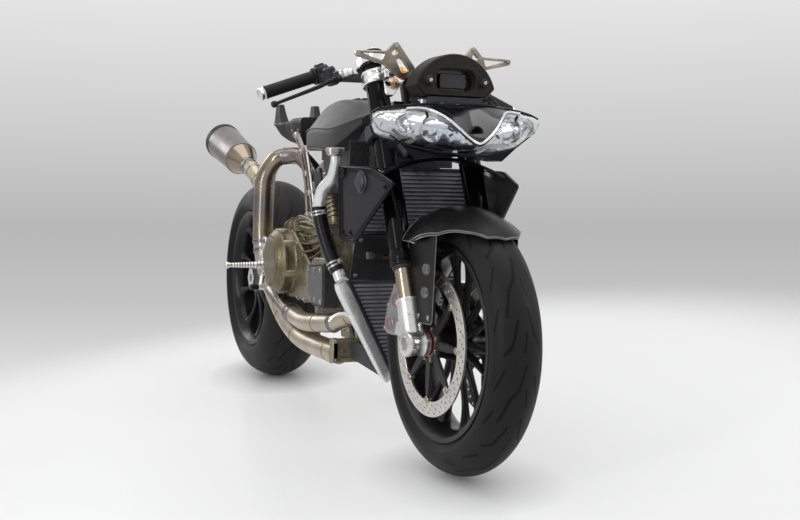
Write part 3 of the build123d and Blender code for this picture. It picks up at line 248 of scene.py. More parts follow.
# ------------------------------------------------------------------ node graphs
class Graph:
    """Adds nodes to a tree with few words."""

    def __init__(self, tree: bpy.types.NodeTree) -> None:
        """Wraps a tree.

        Args:
            tree: The node tree to write to.
        """
        self.tree = tree

    def node(self, kind: str, values: dict | None = None, links: dict | None = None, **props) -> bpy.types.Node:
        """Adds one node.

        Args:
            kind: The node's type after "ShaderNode".
            values: Constants by input name or index.
            links: Output sockets by input name or index.
            props: Properties of the node.

        Returns:
            The node.
        """
        made = self.tree.nodes.new("ShaderNode" + kind)
        for key, value in props.items():
            setattr(made, key, value)
        for key, value in (values or {}).items():
            made.inputs[key].default_value = value
        for key, socket in (links or {}).items():
            self.tree.links.new(socket, made.inputs[key])
        return made

    def first(self, kind: str, values: dict | None = None, links: dict | None = None, **props) -> Socket:
        """Adds one node, as node does, and gives its first output."""
        return self.node(kind, values, links, **props).outputs[0]

    def join(self, socket: Socket, node: bpy.types.Node, name: str) -> None:
        """Links a socket to a node's named input."""
        self.tree.links.new(socket, node.inputs[name])

    def shows_backdrop(self) -> Socket:
        """Whether a ray is one that shows the backdrop.

        Returns:
            A socket that gives 1 for camera, transmission and glossy rays, and 0 for the rest.
        """
        path = self.node("LightPath").outputs
        seen = self.math("MAXIMUM", path["Is Camera Ray"], path["Is Transmission Ray"])
        return self.math("MAXIMUM", seen, path["Is Glossy Ray"])

    def math(self, operation: str, *terms: "float | Socket", clamp: bool = False) -> Socket:
        """Adds a Math node.

        Args:
            operation: The operation's name.
            terms: Its inputs, numbers or sockets.
            clamp: Whether the result is held between 0 and 1.

        Returns:
            The result's socket.
        """
        sockets = {i: t for i, t in enumerate(terms) if not isinstance(t, (int, float))}
        numbers = {i: t for i, t in enumerate(terms) if isinstance(t, (int, float))}
        return self.node("Math", numbers, sockets, operation=operation, use_clamp=clamp).outputs[0]

    def blend(self, amount: Socket, first: "Colour | Socket", second: "Colour | Socket") -> Socket:
        """Mixes two colours.

        Args:
            amount: How much of the second.
            first: A colour or a socket.
            second: A colour or a socket.

        Returns:
            The mixed colour's socket.
        """
        mix = self.node("Mix", {}, {0: amount}, data_type="RGBA")
        for index, term in ((6, first), (7, second)):
            if isinstance(term, tuple):
                mix.inputs[index].default_value = (*term, 1.0)
            else:
                self.tree.links.new(term, mix.inputs[index])
        return mix.outputs[2]

    def use(self, group: bpy.types.NodeTree, values: dict | None = None, links: dict | None = None) -> bpy.types.Node:
        """Adds a shared group.

        Args:
            group: The group.
            values: Its own numbers for this use.
            links: Sockets that feed it.

        Returns:
            The group's node.
        """
        return self.node("Group", values, links, node_tree=group)


def new_group(name: str, inputs: dict[str, str],
              outputs: dict[str, str]) -> tuple[Graph, bpy.types.Node, bpy.types.Node]:
    """Makes an empty shared group.

    Args:
        name: The group's name.
        inputs: Socket types by input name, "Float" or "Vector".
        outputs: Socket types by output name.

    Returns:
        Its graph, its input node and its output node.
    """
    tree = bpy.data.node_groups.new(name, "ShaderNodeTree")
    for direction, sockets in (("INPUT", inputs), ("OUTPUT", outputs)):
        for label, kind in sockets.items():
            tree.interface.new_socket(name=label, in_out=direction, socket_type="NodeSocket" + kind)
    return Graph(tree), tree.nodes.new("NodeGroupInput"), tree.nodes.new("NodeGroupOutput")


@lru_cache(maxsize=None)
def grain_group() -> bpy.types.NodeTree:
    """Slow mottling and fine grain of a surface.

    Returns:
        A group with outputs Mottle and Height, both from 0 to 1.
    """
    g, given, out = new_group("surface_grain", {"Place": "Vector", "Scale": "Float", "Fine": "Float"},
                              {"Mottle": "Float", "Height": "Float"})
    source = given.outputs
    slow = g.first("TexNoise", {"Detail": 3.0}, {"Vector": source["Place"], "Scale": source["Scale"]})
    fine_scale = g.math("MULTIPLY", source["Scale"], source["Fine"])
    fine = g.first("TexNoise", {"Detail": 4.0, "Roughness": 0.65}, {"Vector": source["Place"], "Scale": fine_scale})
    mottle = g.first("MapRange", {"From Min": 0.3, "From Max": 0.7}, {"Value": slow})
    g.join(mottle, out, "Mottle")
    g.join(fine, out, "Height")
    return g.tree


@lru_cache(maxsize=None)
def wear_group() -> bpy.types.NodeTree:
    """Wear that shows on convex edges, broken up by noise.

    Returns:
        A group with the output Mask.
    """
    g, given, out = new_group("edge_wear", {"Place": "Vector", "Scale": "Float", "Amount": "Float"}, {"Mask": "Float"})
    edge = g.node("NewGeometry").outputs["Pointiness"]
    noise = g.first("TexNoise", {"Detail": 5.0}, {"Vector": given.outputs["Place"], "Scale": given.outputs["Scale"]})
    sharp = g.first("MapRange", {"From Min": 0.52, "From Max": 0.6}, {"Value": edge})
    broken = g.math("MULTIPLY", sharp, g.math("MULTIPLY", noise, 1.7))
    g.join(g.math("MULTIPLY", broken, given.outputs["Amount"], clamp=True), out, "Mask")
    return g.tree


@lru_cache(maxsize=None)
def dust_group() -> bpy.types.NodeTree:
    """Dust that lies on what faces up.

    Returns:
        A group with the output Mask.
    """
    g, given, out = new_group("settled_dust", {"Place": "Vector", "Amount": "Float"}, {"Mask": "Float"})
    up = g.node("SeparateXYZ", {}, {0: g.node("NewGeometry").outputs["Normal"]}).outputs[2]
    lies = g.first("MapRange", {"From Min": 0.2, "From Max": 1.0}, {"Value": up})
    noise = g.first("TexNoise", {"Scale": 30.0, "Detail": 6.0}, {"Vector": given.outputs["Place"]})
    thick = g.math("MULTIPLY", lies, noise)
    g.join(g.math("MULTIPLY", thick, given.outputs["Amount"], clamp=True), out, "Mask")
    return g.tree


@lru_cache(maxsize=None)
def weave_group() -> bpy.types.NodeTree:
    """A two by two twill: tows over and under, each rounded across its width.

    Returns:
        A group with outputs Tow, 0 or 1, and Height.
    """
    g, given, out = new_group("twill_weave", {"Place": "Vector", "Pitch": "Float"}, {"Tow": "Float", "Height": "Float"})
    along = g.node("SeparateXYZ", {}, {0: given.outputs["Place"]}).outputs
    steps = [g.math("DIVIDE", along[i], given.outputs["Pitch"]) for i in (0, 1)]
    cells = [g.math("FLOOR", s) for s in steps]
    turn = g.math("FLOORED_MODULO", g.math("ADD", cells[0], cells[1]), 4.0)
    tow = g.math("LESS_THAN", turn, 1.5)
    crowns = [g.math("SINE", g.math("MULTIPLY", g.math("FRACT", s), pi)) for s in steps]
    over = g.math("MULTIPLY", crowns[0], tow)
    under = g.math("MULTIPLY", crowns[1], g.math("SUBTRACT", 1.0, tow))
    g.join(tow, out, "Tow")
    g.join(g.math("ADD", over, under), out, "Height")
    return g.tree


@lru_cache(maxsize=None)
def stroke_group() -> bpy.types.NodeTree:
    """A groove along a straight line between two points of a flat pattern.

    Returns:
        A group with the output Mask, 1 in the groove and 0 beside it.
    """
    g, given, out = new_group("straight_stroke", {"Place": "Vector", "From": "Vector", "To": "Vector", "Half": "Float"},
                              {"Mask": "Float"})
    run = g.first("VectorMath", {}, {0: given.outputs["To"], 1: given.outputs["From"]}, operation="SUBTRACT")
    off = g.first("VectorMath", {}, {0: given.outputs["Place"], 1: given.outputs["From"]}, operation="SUBTRACT")
    dots = [g.node("VectorMath", {}, {0: a, 1: run}, operation="DOT_PRODUCT").outputs["Value"] for a in (off, run)]
    part = g.math("DIVIDE", dots[0], dots[1], clamp=True)
    nearest = g.first("VectorMath", {}, {0: run, "Scale": part}, operation="SCALE")
    gap = g.node("VectorMath", {}, {0: off, 1: nearest}, operation="DISTANCE").outputs["Value"]
    wide = g.math("MULTIPLY", given.outputs["Half"], 1.4)
    limits = {"Value": gap, "From Min": given.outputs["Half"], "From Max": wide}
    mask = g.first("MapRange", {"To Min": 1.0, "To Max": 0.0}, limits)
    g.join(mask, out, "Mask")
    return g.tree


# ------------------------------------------------------------------ finishes
@dataclass(frozen=True)
class Finish:
    """A painted, cast, machined or moulded surface and its node material."""

    name: str
    slot: str
    colour: Colour
    second: Colour
    metallic: float = 0.0
    roughness: float = 0.5
    spread: float = 0.12
    scale: float = 25.0
    fine: float = 22.0
    bump: float = 0.12
    depth: float = 0.0004
    coat: float = 0.0
    coat_roughness: float = 0.05
    specular: float = 0.5
    wear: float = 0.0
    wear_colour: Colour = (0.45, 0.45, 0.46)
    dust: float = 0.05

    def pattern(self, g: Graph, place: Socket, colour: Socket, height: Socket) -> Look:
        """Adds what only this finish shows.

        Args:
            g: The material's graph; not used.
            place: Object coordinates; not used.
            colour: The colour so far.
            height: The height so far.

        Returns:
            The colour and the height.
        """
        return colour, height

    def shader(self, g: Graph, colour: Socket, rough: Socket, normal: Socket) -> Socket:
        """Makes the surface shader.

        Args:
            g: The material's graph.
            colour: The finished colour.
            rough: The finished roughness.
            normal: The bumped normal.

        Returns:
            The shader's socket.
        """
        constants = {"Metallic": self.metallic, "Coat Weight": self.coat, "Coat Roughness": self.coat_roughness,
                     "Specular IOR Level": self.specular}
        return g.first("BsdfPrincipled", constants, {"Base Color": colour, "Roughness": rough, "Normal": normal})

    def material(self) -> bpy.types.Material:
        """The finish's material, made once.

        Returns:
            The material.
        """
        label = "finish_" + self.name
        known = bpy.data.materials.get(label)
        if known:
            return known
        mat = bpy.data.materials.new(label)
        mat.use_nodes = True
        mat.node_tree.nodes.clear()
        g = Graph(mat.node_tree)
        place = g.node("TexCoord").outputs["Object"]
        grain = g.use(grain_group(), {"Scale": self.scale, "Fine": self.fine}, {"Place": place}).outputs
        colour = g.blend(grain["Mottle"], self.colour, self.second)
        colour, height = self.pattern(g, place, colour, grain["Height"])
        if self.wear:
            worn = g.use(wear_group(), {"Scale": 140.0, "Amount": self.wear}, {"Place": place}).outputs[0]
            colour = g.blend(worn, colour, self.wear_colour)
        if self.dust:
            dusty = g.use(dust_group(), {"Amount": self.dust}, {"Place": place}).outputs[0]
            colour = g.blend(dusty, colour, (0.42, 0.4, 0.37))
        limits = {"To Min": max(self.roughness - self.spread, 0.02), "To Max": min(self.roughness + self.spread, 1.0)}
        rough = g.first("MapRange", limits, {"Value": grain["Mottle"]})
        normal = g.first("Bump", {"Strength": self.bump, "Distance": self.depth}, {"Height": height})
        out = g.node("OutputMaterial")
        g.join(self.shader(g, colour, rough, normal), out, "Surface")
        return mat


@dataclass(frozen=True)
class Woven(Finish):
    """Carbon cloth under lacquer, on the piece's own flat coordinates or the machine's."""

    pitch: float = 2.2
    contrast: float = 0.5
    flat: bool = True

    def pattern(self, g: Graph, place: Socket, colour: Socket, height: Socket) -> Look:
        """Adds the twill.

        Args:
            g: The material's graph.
            place: Object coordinates.
            colour: The colour so far.
            height: The height so far; not used.

        Returns:
            The colour and the height.
        """
        source = g.first("UVMap", uv_map="flat") if self.flat else place
        tows = g.use(weave_group(), {"Pitch": self.pitch if self.flat else self.pitch * MM}, {"Place": source}).outputs
        pale = tuple(c * (1.0 + self.contrast) + 0.004 * self.contrast for c in self.colour)
        return g.blend(tows["Tow"], colour, pale), tows["Height"]


@dataclass(frozen=True)
class Brushed(Finish):
    """Metal with fine lines across one direction of the row frame."""

    stretch: Vec = (1.0, 1.0, 40.0)

    def pattern(self, g: Graph, place: Socket, colour: Socket, height: Socket) -> Look:
        """Adds drawn-out noise.

        Args:
            g: The material's graph.
            place: Object coordinates.
            colour: The colour so far.
            height: The height so far; not used.

        Returns:
            The colour and the height.
        """
        drawn = g.first("Mapping", {"Scale": self.stretch}, {"Vector": place})
        lines = g.first("TexNoise", {"Scale": 60.0, "Detail": 6.0}, {"Vector": drawn})
        return g.blend(g.math("MULTIPLY", lines, 0.35), colour, (0.9, 0.88, 0.86)), lines


@dataclass(frozen=True)
class HeatTinted(Finish):
    """Titanium that has run hot: straw, brown and blue bands that follow the flat coordinates."""

    straw: Colour = (0.62, 0.5, 0.34)
    blue: Colour = (0.2, 0.24, 0.36)
    waver: float = 2.6

    def pattern(self, g: Graph, place: Socket, colour: Socket, height: Socket) -> Look:
        """Adds the tints.

        Args:
            g: The material's graph.
            place: Object coordinates.
            colour: The colour so far.
            height: The height so far.

        Returns:
            The colour and the height.
        """
        along = g.first("SeparateXYZ", {}, {0: g.first("UVMap", uv_map="flat")})
        waver = g.first("TexNoise", {"Scale": 14.0, "Detail": 3.0}, {"Vector": place})
        phase = g.math("ADD", g.math("MULTIPLY", along, 0.021), g.math("MULTIPLY", waver, self.waver))
        warm = g.math("POWER", g.math("ABSOLUTE", g.math("SINE", phase)), 2.0)
        cool = g.math("POWER", g.math("ABSOLUTE", g.math("SINE", g.math("ADD", phase, 1.1))), 14.0)
        tinted = g.blend(g.math("MULTIPLY", warm, 0.75), colour, self.straw)
        return g.blend(g.math("MULTIPLY", cool, 0.55), tinted, self.blue), height


@dataclass(frozen=True)
class Tread(Finish):
    """Tyre rubber with lightning grooves, which are painted darker as painted shade: (x, y) strokes in millimetres,
    repeated and mirrored.
    """

    pitch: float = 235.5
    half: float = 1.7
    strokes: tuple = ()
    reach: float = 82.0

    def pattern(self, g: Graph, place: Socket, colour: Socket, height: Socket) -> Look:
        """Adds the grooves on the flat coordinates, whose y runs across the tread: sunk by the bump, and painted darker
        as painted shade.

        Args:
            g: The material's graph.
            place: Object coordinates; not used.
            colour: The colour so far.
            height: The height so far.

        Returns:
            The colour and the height.
        """
        flat = g.node("SeparateXYZ", {}, {0: g.first("UVMap", uv_map="flat")}).outputs
        right = g.math("GREATER_THAN", flat[1], 0.0)
        shifted = g.math("ADD", flat[0], g.math("MULTIPLY", right, self.pitch / 2))
        along = g.math("FLOORED_MODULO", shifted, self.pitch)
        across = g.math("ABSOLUTE", flat[1])
        spot = g.first("CombineXYZ", {}, {0: along, 1: across})
        mask = None
        for x0, y0, x1, y1, wide in self.strokes:
            ends = {"From": (x0, y0, 0.0), "To": (x1, y1, 0.0), "Half": self.half * wide}
            cut = g.use(stroke_group(), ends, {"Place": spot}).outputs[0]
            mask = cut if mask is None else g.math("MAXIMUM", mask, cut)
        wall = g.math("GREATER_THAN", across, self.reach)
        ribs = g.math("MULTIPLY", wall, g.math("SINE", g.math("MULTIPLY", across, 1.6)))
        deep = g.math("SUBTRACT", g.math("MULTIPLY", height, 0.04), mask)
        relief = g.math("ADD", deep, g.math("MULTIPLY", ribs, 0.1))
        # the grooves' near-black colour is painted shade inside the grooves
        return g.blend(mask, colour, (0.003, 0.003, 0.003)), relief


@dataclass(frozen=True)
class Finned(Finish):
    """A radiator core: fine louvres between tubes, along the row frame's height, their crests painted lighter as
    painted light.
    """

    pitch: float = 0.0018

    def pattern(self, g: Graph, place: Socket, colour: Socket, height: Socket) -> Look:
        """Adds the louvres as bump, with their crests painted lighter as painted light.

        Args:
            g: The material's graph.
            place: Object coordinates.
            colour: The colour so far.
            height: The height so far; not used.

        Returns:
            The colour and the height.
        """
        side = g.first("SeparateXYZ", {}, {0: place})
        wave = g.math("SINE", g.math("MULTIPLY", side, 2 * pi / self.pitch))
        # the lighter grey on the crests is painted light on the fins
        return g.blend(g.math("MULTIPLY", wave, 0.4, clamp=True), colour, (0.12, 0.12, 0.13)), wave


@dataclass(frozen=True)
class Clear(Finish):
    """A clear moulding, lightly tinted, with moulded flutes too fine to see apart."""

    ior: float = 1.46

    def shader(self, g: Graph, colour: Socket, rough: Socket, normal: Socket) -> Socket:
        """Lets shadow rays pass, so that what lies behind stays lit.

        Args:
            g: The material's graph.
            colour: The finished colour.
            rough: The finished roughness.
            normal: The bumped normal.

        Returns:
            The shader's socket.
        """
        glass = g.first("BsdfPrincipled", {"Transmission Weight": 1.0, "IOR": self.ior},
                        {"Base Color": colour, "Roughness": rough, "Normal": normal})
        open_way = g.first("BsdfTransparent", {0: (0.93, 0.95, 0.97, 1.0)})
        shadow = g.node("LightPath").outputs["Is Shadow Ray"]
        return g.first("MixShader", {}, {0: shadow, 1: glass, 2: open_way})


# ------------------------------------------------------------------ palette
FRONT_STROKES = (
    (8.0, 4.0, 60.0, 14.0, 1.0), (60.0, 14.0, 84.0, 30.0, 1.3), (84.0, 30.0, 140.0, 42.0, 1.0),
    (150.0, 20.0, 205.0, 34.0, 1.0), (205.0, 34.0, 222.0, 50.0, 1.2), (120.0, 58.0, 168.0, 72.0, 0.9),
    (20.0, 48.0, 70.0, 66.0, 0.9), (176.0, 2.0, 214.0, 8.0, 0.8),
)


class Paint:
    """Every finish of the machine."""

    TYRE = Tread("tyre_rubber", "tyre", (0.013, 0.0127, 0.0131), (0.0185, 0.018, 0.0185), roughness=0.5, spread=0.08,
                 scale=12.0, fine=60.0, bump=0.8, depth=0.003, dust=0.02, specular=0.14, half=2.3,
                 strokes=FRONT_STROKES)
    RIM = Finish("rim_anthracite", "wheel_black", (0.007, 0.007, 0.008), (0.012, 0.012, 0.014), metallic=0.1,
                 roughness=0.3, spread=0.06, coat=0.06, dust=0.005, specular=0.2, wear=0.2,
                 wear_colour=(0.2, 0.2, 0.22))
    BLACK_GLOSS = Finish("gloss_black", "gloss_black", (0.0025, 0.0025, 0.003), (0.004, 0.004, 0.0048), roughness=0.12,
                         spread=0.04, coat=0.05, specular=0.1, bump=0.03, wear=0.06, dust=0.005)
    BLACK_SATIN = Finish("satin_black", "satin_black", (0.007, 0.007, 0.008), (0.012, 0.012, 0.013), roughness=0.42,
                         fine=30.0, bump=0.15, dust=0.01, specular=0.13, wear=0.35, wear_colour=(0.16, 0.16, 0.17))
    SHROUD = Finish("shroud_black", "gloss_shroud", (0.004, 0.004, 0.006), (0.008, 0.007, 0.011), roughness=0.14,
                    spread=0.05, coat=0.1, bump=0.05, dust=0.005, specular=0.14)
    PANEL = Finish("panel_grey", "panel_grey", (0.02, 0.02, 0.022), (0.028, 0.028, 0.031), roughness=0.46, fine=80.0,
                   bump=0.2, depth=0.0002, dust=0.01, specular=0.15, wear=0.2, wear_colour=(0.12, 0.12, 0.12))
    CARBON = Woven("matt_carbon", "matt_carbon", (0.004, 0.004, 0.0044), (0.0065, 0.0065, 0.007), roughness=0.3,
                   spread=0.05, bump=0.2, depth=0.0004, pitch=3.2, contrast=1.2, dust=0.005, specular=0.13)
    EDGE = Finish("carbon_edge", "matt_carbon", (0.07, 0.07, 0.072), (0.11, 0.11, 0.115), roughness=0.28, coat=0.4,
                  bump=0.1, wear=0.6, wear_colour=(0.3, 0.3, 0.3))
    TANK = Woven("tank_weave", "tank_dark", (0.034, 0.033, 0.033), (0.048, 0.0465, 0.0465), roughness=0.48, spread=0.06,
                 bump=0.15, depth=0.0005, pitch=4.0, contrast=0.5, dust=0.03, specular=0.3)
    TAIL = Finish("tail_matt", "tank_dark", (0.008, 0.008, 0.009), (0.013, 0.0128, 0.0135), roughness=0.55, fine=90.0,
                  bump=0.25, depth=0.0002, wear=0.2, wear_colour=(0.08, 0.08, 0.08), dust=0.015, specular=0.2)
    GOLD = Brushed("fork_gold", "fork_gold", (0.2, 0.145, 0.08), (0.29, 0.21, 0.12), metallic=1.0, roughness=0.22,
                   spread=0.06, bump=0.04, dust=0.02)
    ALLOY = Brushed("machined_alloy", "machined_alloy", (0.58, 0.58, 0.58), (0.72, 0.72, 0.71), metallic=0.9,
                    roughness=0.3, spread=0.1, bump=0.08, stretch=(30.0, 1.0, 1.0), dust=0.04)
    BRIGHT = Finish("bright_alloy", "bright_alloy", (0.74, 0.74, 0.75), (0.84, 0.84, 0.84), metallic=0.6,
                    roughness=0.28, spread=0.06, bump=0.02, dust=0.01, wear=0.03, wear_colour=(0.9, 0.9, 0.9))
    POLISHED = Finish("clamp_polished", "machined_alloy", (0.72, 0.73, 0.74), (0.86, 0.86, 0.86), metallic=0.95,
                      roughness=0.2, spread=0.05, scale=20.0, bump=0.015, dust=0.01, wear=0.1,
                      wear_colour=(0.95, 0.95, 0.95))
    DISC = Brushed("disc_steel", "disc_steel", (0.5, 0.48, 0.45), (0.64, 0.61, 0.57), metallic=0.85, roughness=0.34,
                   spread=0.08, bump=0.08, stretch=(1.0, 6.0, 6.0), dust=0.06)
    CALIPER = Finish("caliper_grey", "caliper_grey", (0.2, 0.2, 0.2), (0.3, 0.29, 0.28), metallic=0.6, roughness=0.4,
                     fine=40.0, bump=0.2, wear=0.5)
    RED = Finish("seal_red", "caliper_grey", (0.42, 0.02, 0.02), (0.5, 0.05, 0.04), roughness=0.35, dust=0.0)
    GRIP = Finish("grip_rubber", "grip_rubber", (0.006, 0.006, 0.007), (0.01, 0.01, 0.011), roughness=0.6, fine=90.0,
                  dust=0.02, specular=0.25, bump=0.3)
    HOSE = Finish("hose_rubber", "hose_rubber", (0.005, 0.005, 0.007), (0.009, 0.009, 0.012), roughness=0.34, bump=0.08,
                  dust=0.01, specular=0.25)
    BRONZE = Finish("bronze_cast", "bronze_cast", (0.11, 0.088, 0.05), (0.175, 0.145, 0.085), metallic=0.75,
                    roughness=0.34,
                    spread=0.2, fine=45.0, bump=0.4, depth=0.0006, wear=0.7, wear_colour=(0.5, 0.45, 0.33), dust=0.05)
    COVER = Finish("cover_grey", "cast_grey", (0.05, 0.05, 0.053), (0.075, 0.074, 0.076), metallic=0.4, roughness=0.4,
                   fine=60.0, bump=0.25, wear=0.4, wear_colour=(0.3, 0.3, 0.3), specular=0.35)
    LINK = Finish("link_cast", "cast_grey", (0.17, 0.12, 0.1), (0.3, 0.24, 0.21), metallic=0.6, roughness=0.4,
                  fine=40.0, bump=0.35, depth=0.0006, wear=0.6, wear_colour=(0.6, 0.56, 0.52), dust=0.1)
    CAST = Finish("cast_grey", "cast_grey", (0.09, 0.085, 0.08), (0.15, 0.14, 0.13), metallic=0.5, roughness=0.48,
                  fine=40.0, bump=0.4, depth=0.0006, wear=0.5, dust=0.15)
    TITANIUM = HeatTinted("titanium", "titanium", (0.17, 0.145, 0.125), (0.25, 0.22, 0.19), metallic=0.95,
                          roughness=0.22,
                          spread=0.08, bump=0.04, dust=0.02, straw=(0.3, 0.24, 0.175), blue=(0.15, 0.15, 0.18),
                          waver=1.6)
    PALE_PIPE = HeatTinted("pipe_pale", "titanium", (0.42, 0.375, 0.3), (0.53, 0.485, 0.4), metallic=0.72,
                           roughness=0.32,
                           spread=0.08, bump=0.04, dust=0.03, straw=(0.44, 0.36, 0.25), blue=(0.34, 0.29, 0.24),
                           waver=1.2)
    SILENCER = Brushed("silencer_skin", "titanium", (0.06, 0.053, 0.048), (0.1, 0.088, 0.08), metallic=0.85,
                       roughness=0.34, spread=0.08, bump=0.12, stretch=(1.0, 1.0, 22.0))
    STAY = Finish("stay_bronze", "stay_bronze", (0.19, 0.16, 0.12), (0.3, 0.26, 0.2), metallic=0.9, roughness=0.28,
                  fine=30.0, bump=0.2, wear=0.6, wear_colour=(0.7, 0.65, 0.56))
    DASH = Woven("dash_ribbed", "dash_bronze", (0.01, 0.0085, 0.0068), (0.017, 0.0145, 0.0115), metallic=0.25,
                 roughness=0.36, bump=0.35, depth=0.0008, pitch=3.4, contrast=0.35, dust=0.01, specular=0.25)
    CORE = Finned("core_black", "core_black", (0.04, 0.04, 0.045), (0.06, 0.06, 0.068), metallic=0.3, roughness=0.42,
                  bump=0.5, depth=0.0006, dust=0.1)
    # painted light: the black core's louvres are given a mid grey for the light they catch, a lighter copy of the
    # darker CORE
    LOUVRE = Finish("louvre_grey_painted_light", "core_black", (0.3, 0.3, 0.33), (0.42, 0.42, 0.46), metallic=0.2, roughness=0.34,
                    fine=60.0, bump=0.15, wear=0.3, wear_colour=(0.2, 0.2, 0.22), dust=0.1)
    SMOKED = Finish("nose_smoked", "lamp_clear", (0.004, 0.0045, 0.006), (0.009, 0.0095, 0.012), roughness=0.1,
                    coat=0.1, bump=0.02, dust=0.0)
    SCREEN = Finish("screen_dark", "dash_bronze", (0.003, 0.003, 0.005), (0.006, 0.006, 0.009), roughness=0.12,
                    coat=1.0, bump=0.02, dust=0.0)
    LENS = Clear("lens_clear", "lamp_clear", (0.96, 0.975, 0.99), (0.9, 0.94, 0.98), roughness=0.04, spread=0.02,
                 scale=12.0, fine=4.0, bump=0.03, depth=0.001, dust=0.0)
    MIRROR = Finish("lamp_mirror", "lamp_clear", (0.55, 0.56, 0.58), (0.72, 0.73, 0.75), metallic=1.0, roughness=0.24,
                    spread=0.08, scale=20.0, fine=3.0, bump=0.12, depth=0.0012, dust=0.0)
    STEEL = Finish("fastener_steel", "chain_steel", (0.3, 0.29, 0.28), (0.45, 0.43, 0.41), metallic=0.9, roughness=0.32,
                   wear=0.4)
    CHAIN = Finish("chain_oiled", "chain_steel", (0.16, 0.14, 0.11), (0.27, 0.24, 0.2), metallic=0.8, roughness=0.38,
                   dust=0.1)
    SPRING = Finish("spring_black", "spring_black", (0.01, 0.01, 0.011), (0.016, 0.016, 0.018), roughness=0.3,
                    coat=0.3, dust=0.02)
    AMBER = Finish("damper_ring", "fork_gold", (0.75, 0.33, 0.06), (0.85, 0.42, 0.1), metallic=0.7, roughness=0.25,
                   dust=0.0)
    BAND = Finish("clamp_band", "chain_steel", (0.03, 0.032, 0.045), (0.08, 0.08, 0.1), metallic=0.8, roughness=0.3,
                  wear=0.8)
    PLUG = Finish("plug_violet", "gloss_shroud", (0.016, 0.012, 0.035), (0.025, 0.02, 0.05), roughness=0.35)


CAD_FINISHES = {
    "front_tyre": Paint.TYRE, "rear_tyre": Paint.TYRE, "front_rim": Paint.RIM, "rear_rim": Paint.RIM,
    "front_discs": Paint.DISC, "rear_disc": Paint.DISC, "rear_sprocket": Paint.ALLOY, "rear_axle": Paint.ALLOY,
    "fork_outers": Paint.BLACK_GLOSS, "fork_inners": Paint.GOLD, "fork_feet": Paint.ALLOY, "front_axle": Paint.STEEL,
    "calipers": Paint.CALIPER, "triple_clamps": Paint.ALLOY, "clip_ons": Paint.BLACK_SATIN, "grips": Paint.GRIP,
    "levers": Paint.BLACK_SATIN, "fender": Paint.CARBON, "crankcase": Paint.BRONZE, "sump": Paint.BRONZE,
    "engine_covers": Paint.BRONZE, "cylinders": Paint.CAST, "monocoque": Paint.BLACK_SATIN,
    "steering_head": Paint.BLACK_SATIN, "fuel_tank": Paint.TANK, "tail_frame": Paint.TAIL,
    "frame_struts": Paint.CAST, "radiators": Paint.CORE, "end_tanks": Paint.BRIGHT, "side_panels": Paint.PANEL,
    "duct": Paint.SHROUD, "headlight": Paint.MIRROR, "undertray": Paint.SHROUD, "dash": Paint.DASH,
    "cockpit_stays": Paint.STAY, "exhaust_pipes": Paint.TITANIUM, "silencer": Paint.SILENCER,
    "coolant_hose": Paint.HOSE, "rearsets": Paint.ALLOY, "swingarm": Paint.BLACK_SATIN, "shock": Paint.SPRING,
    "rear_caliper": Paint.CALIPER, "chain": Paint.CHAIN, "side_stand": Paint.BLACK_SATIN,
    "stand_bracket": Paint.BLACK_SATIN,
}


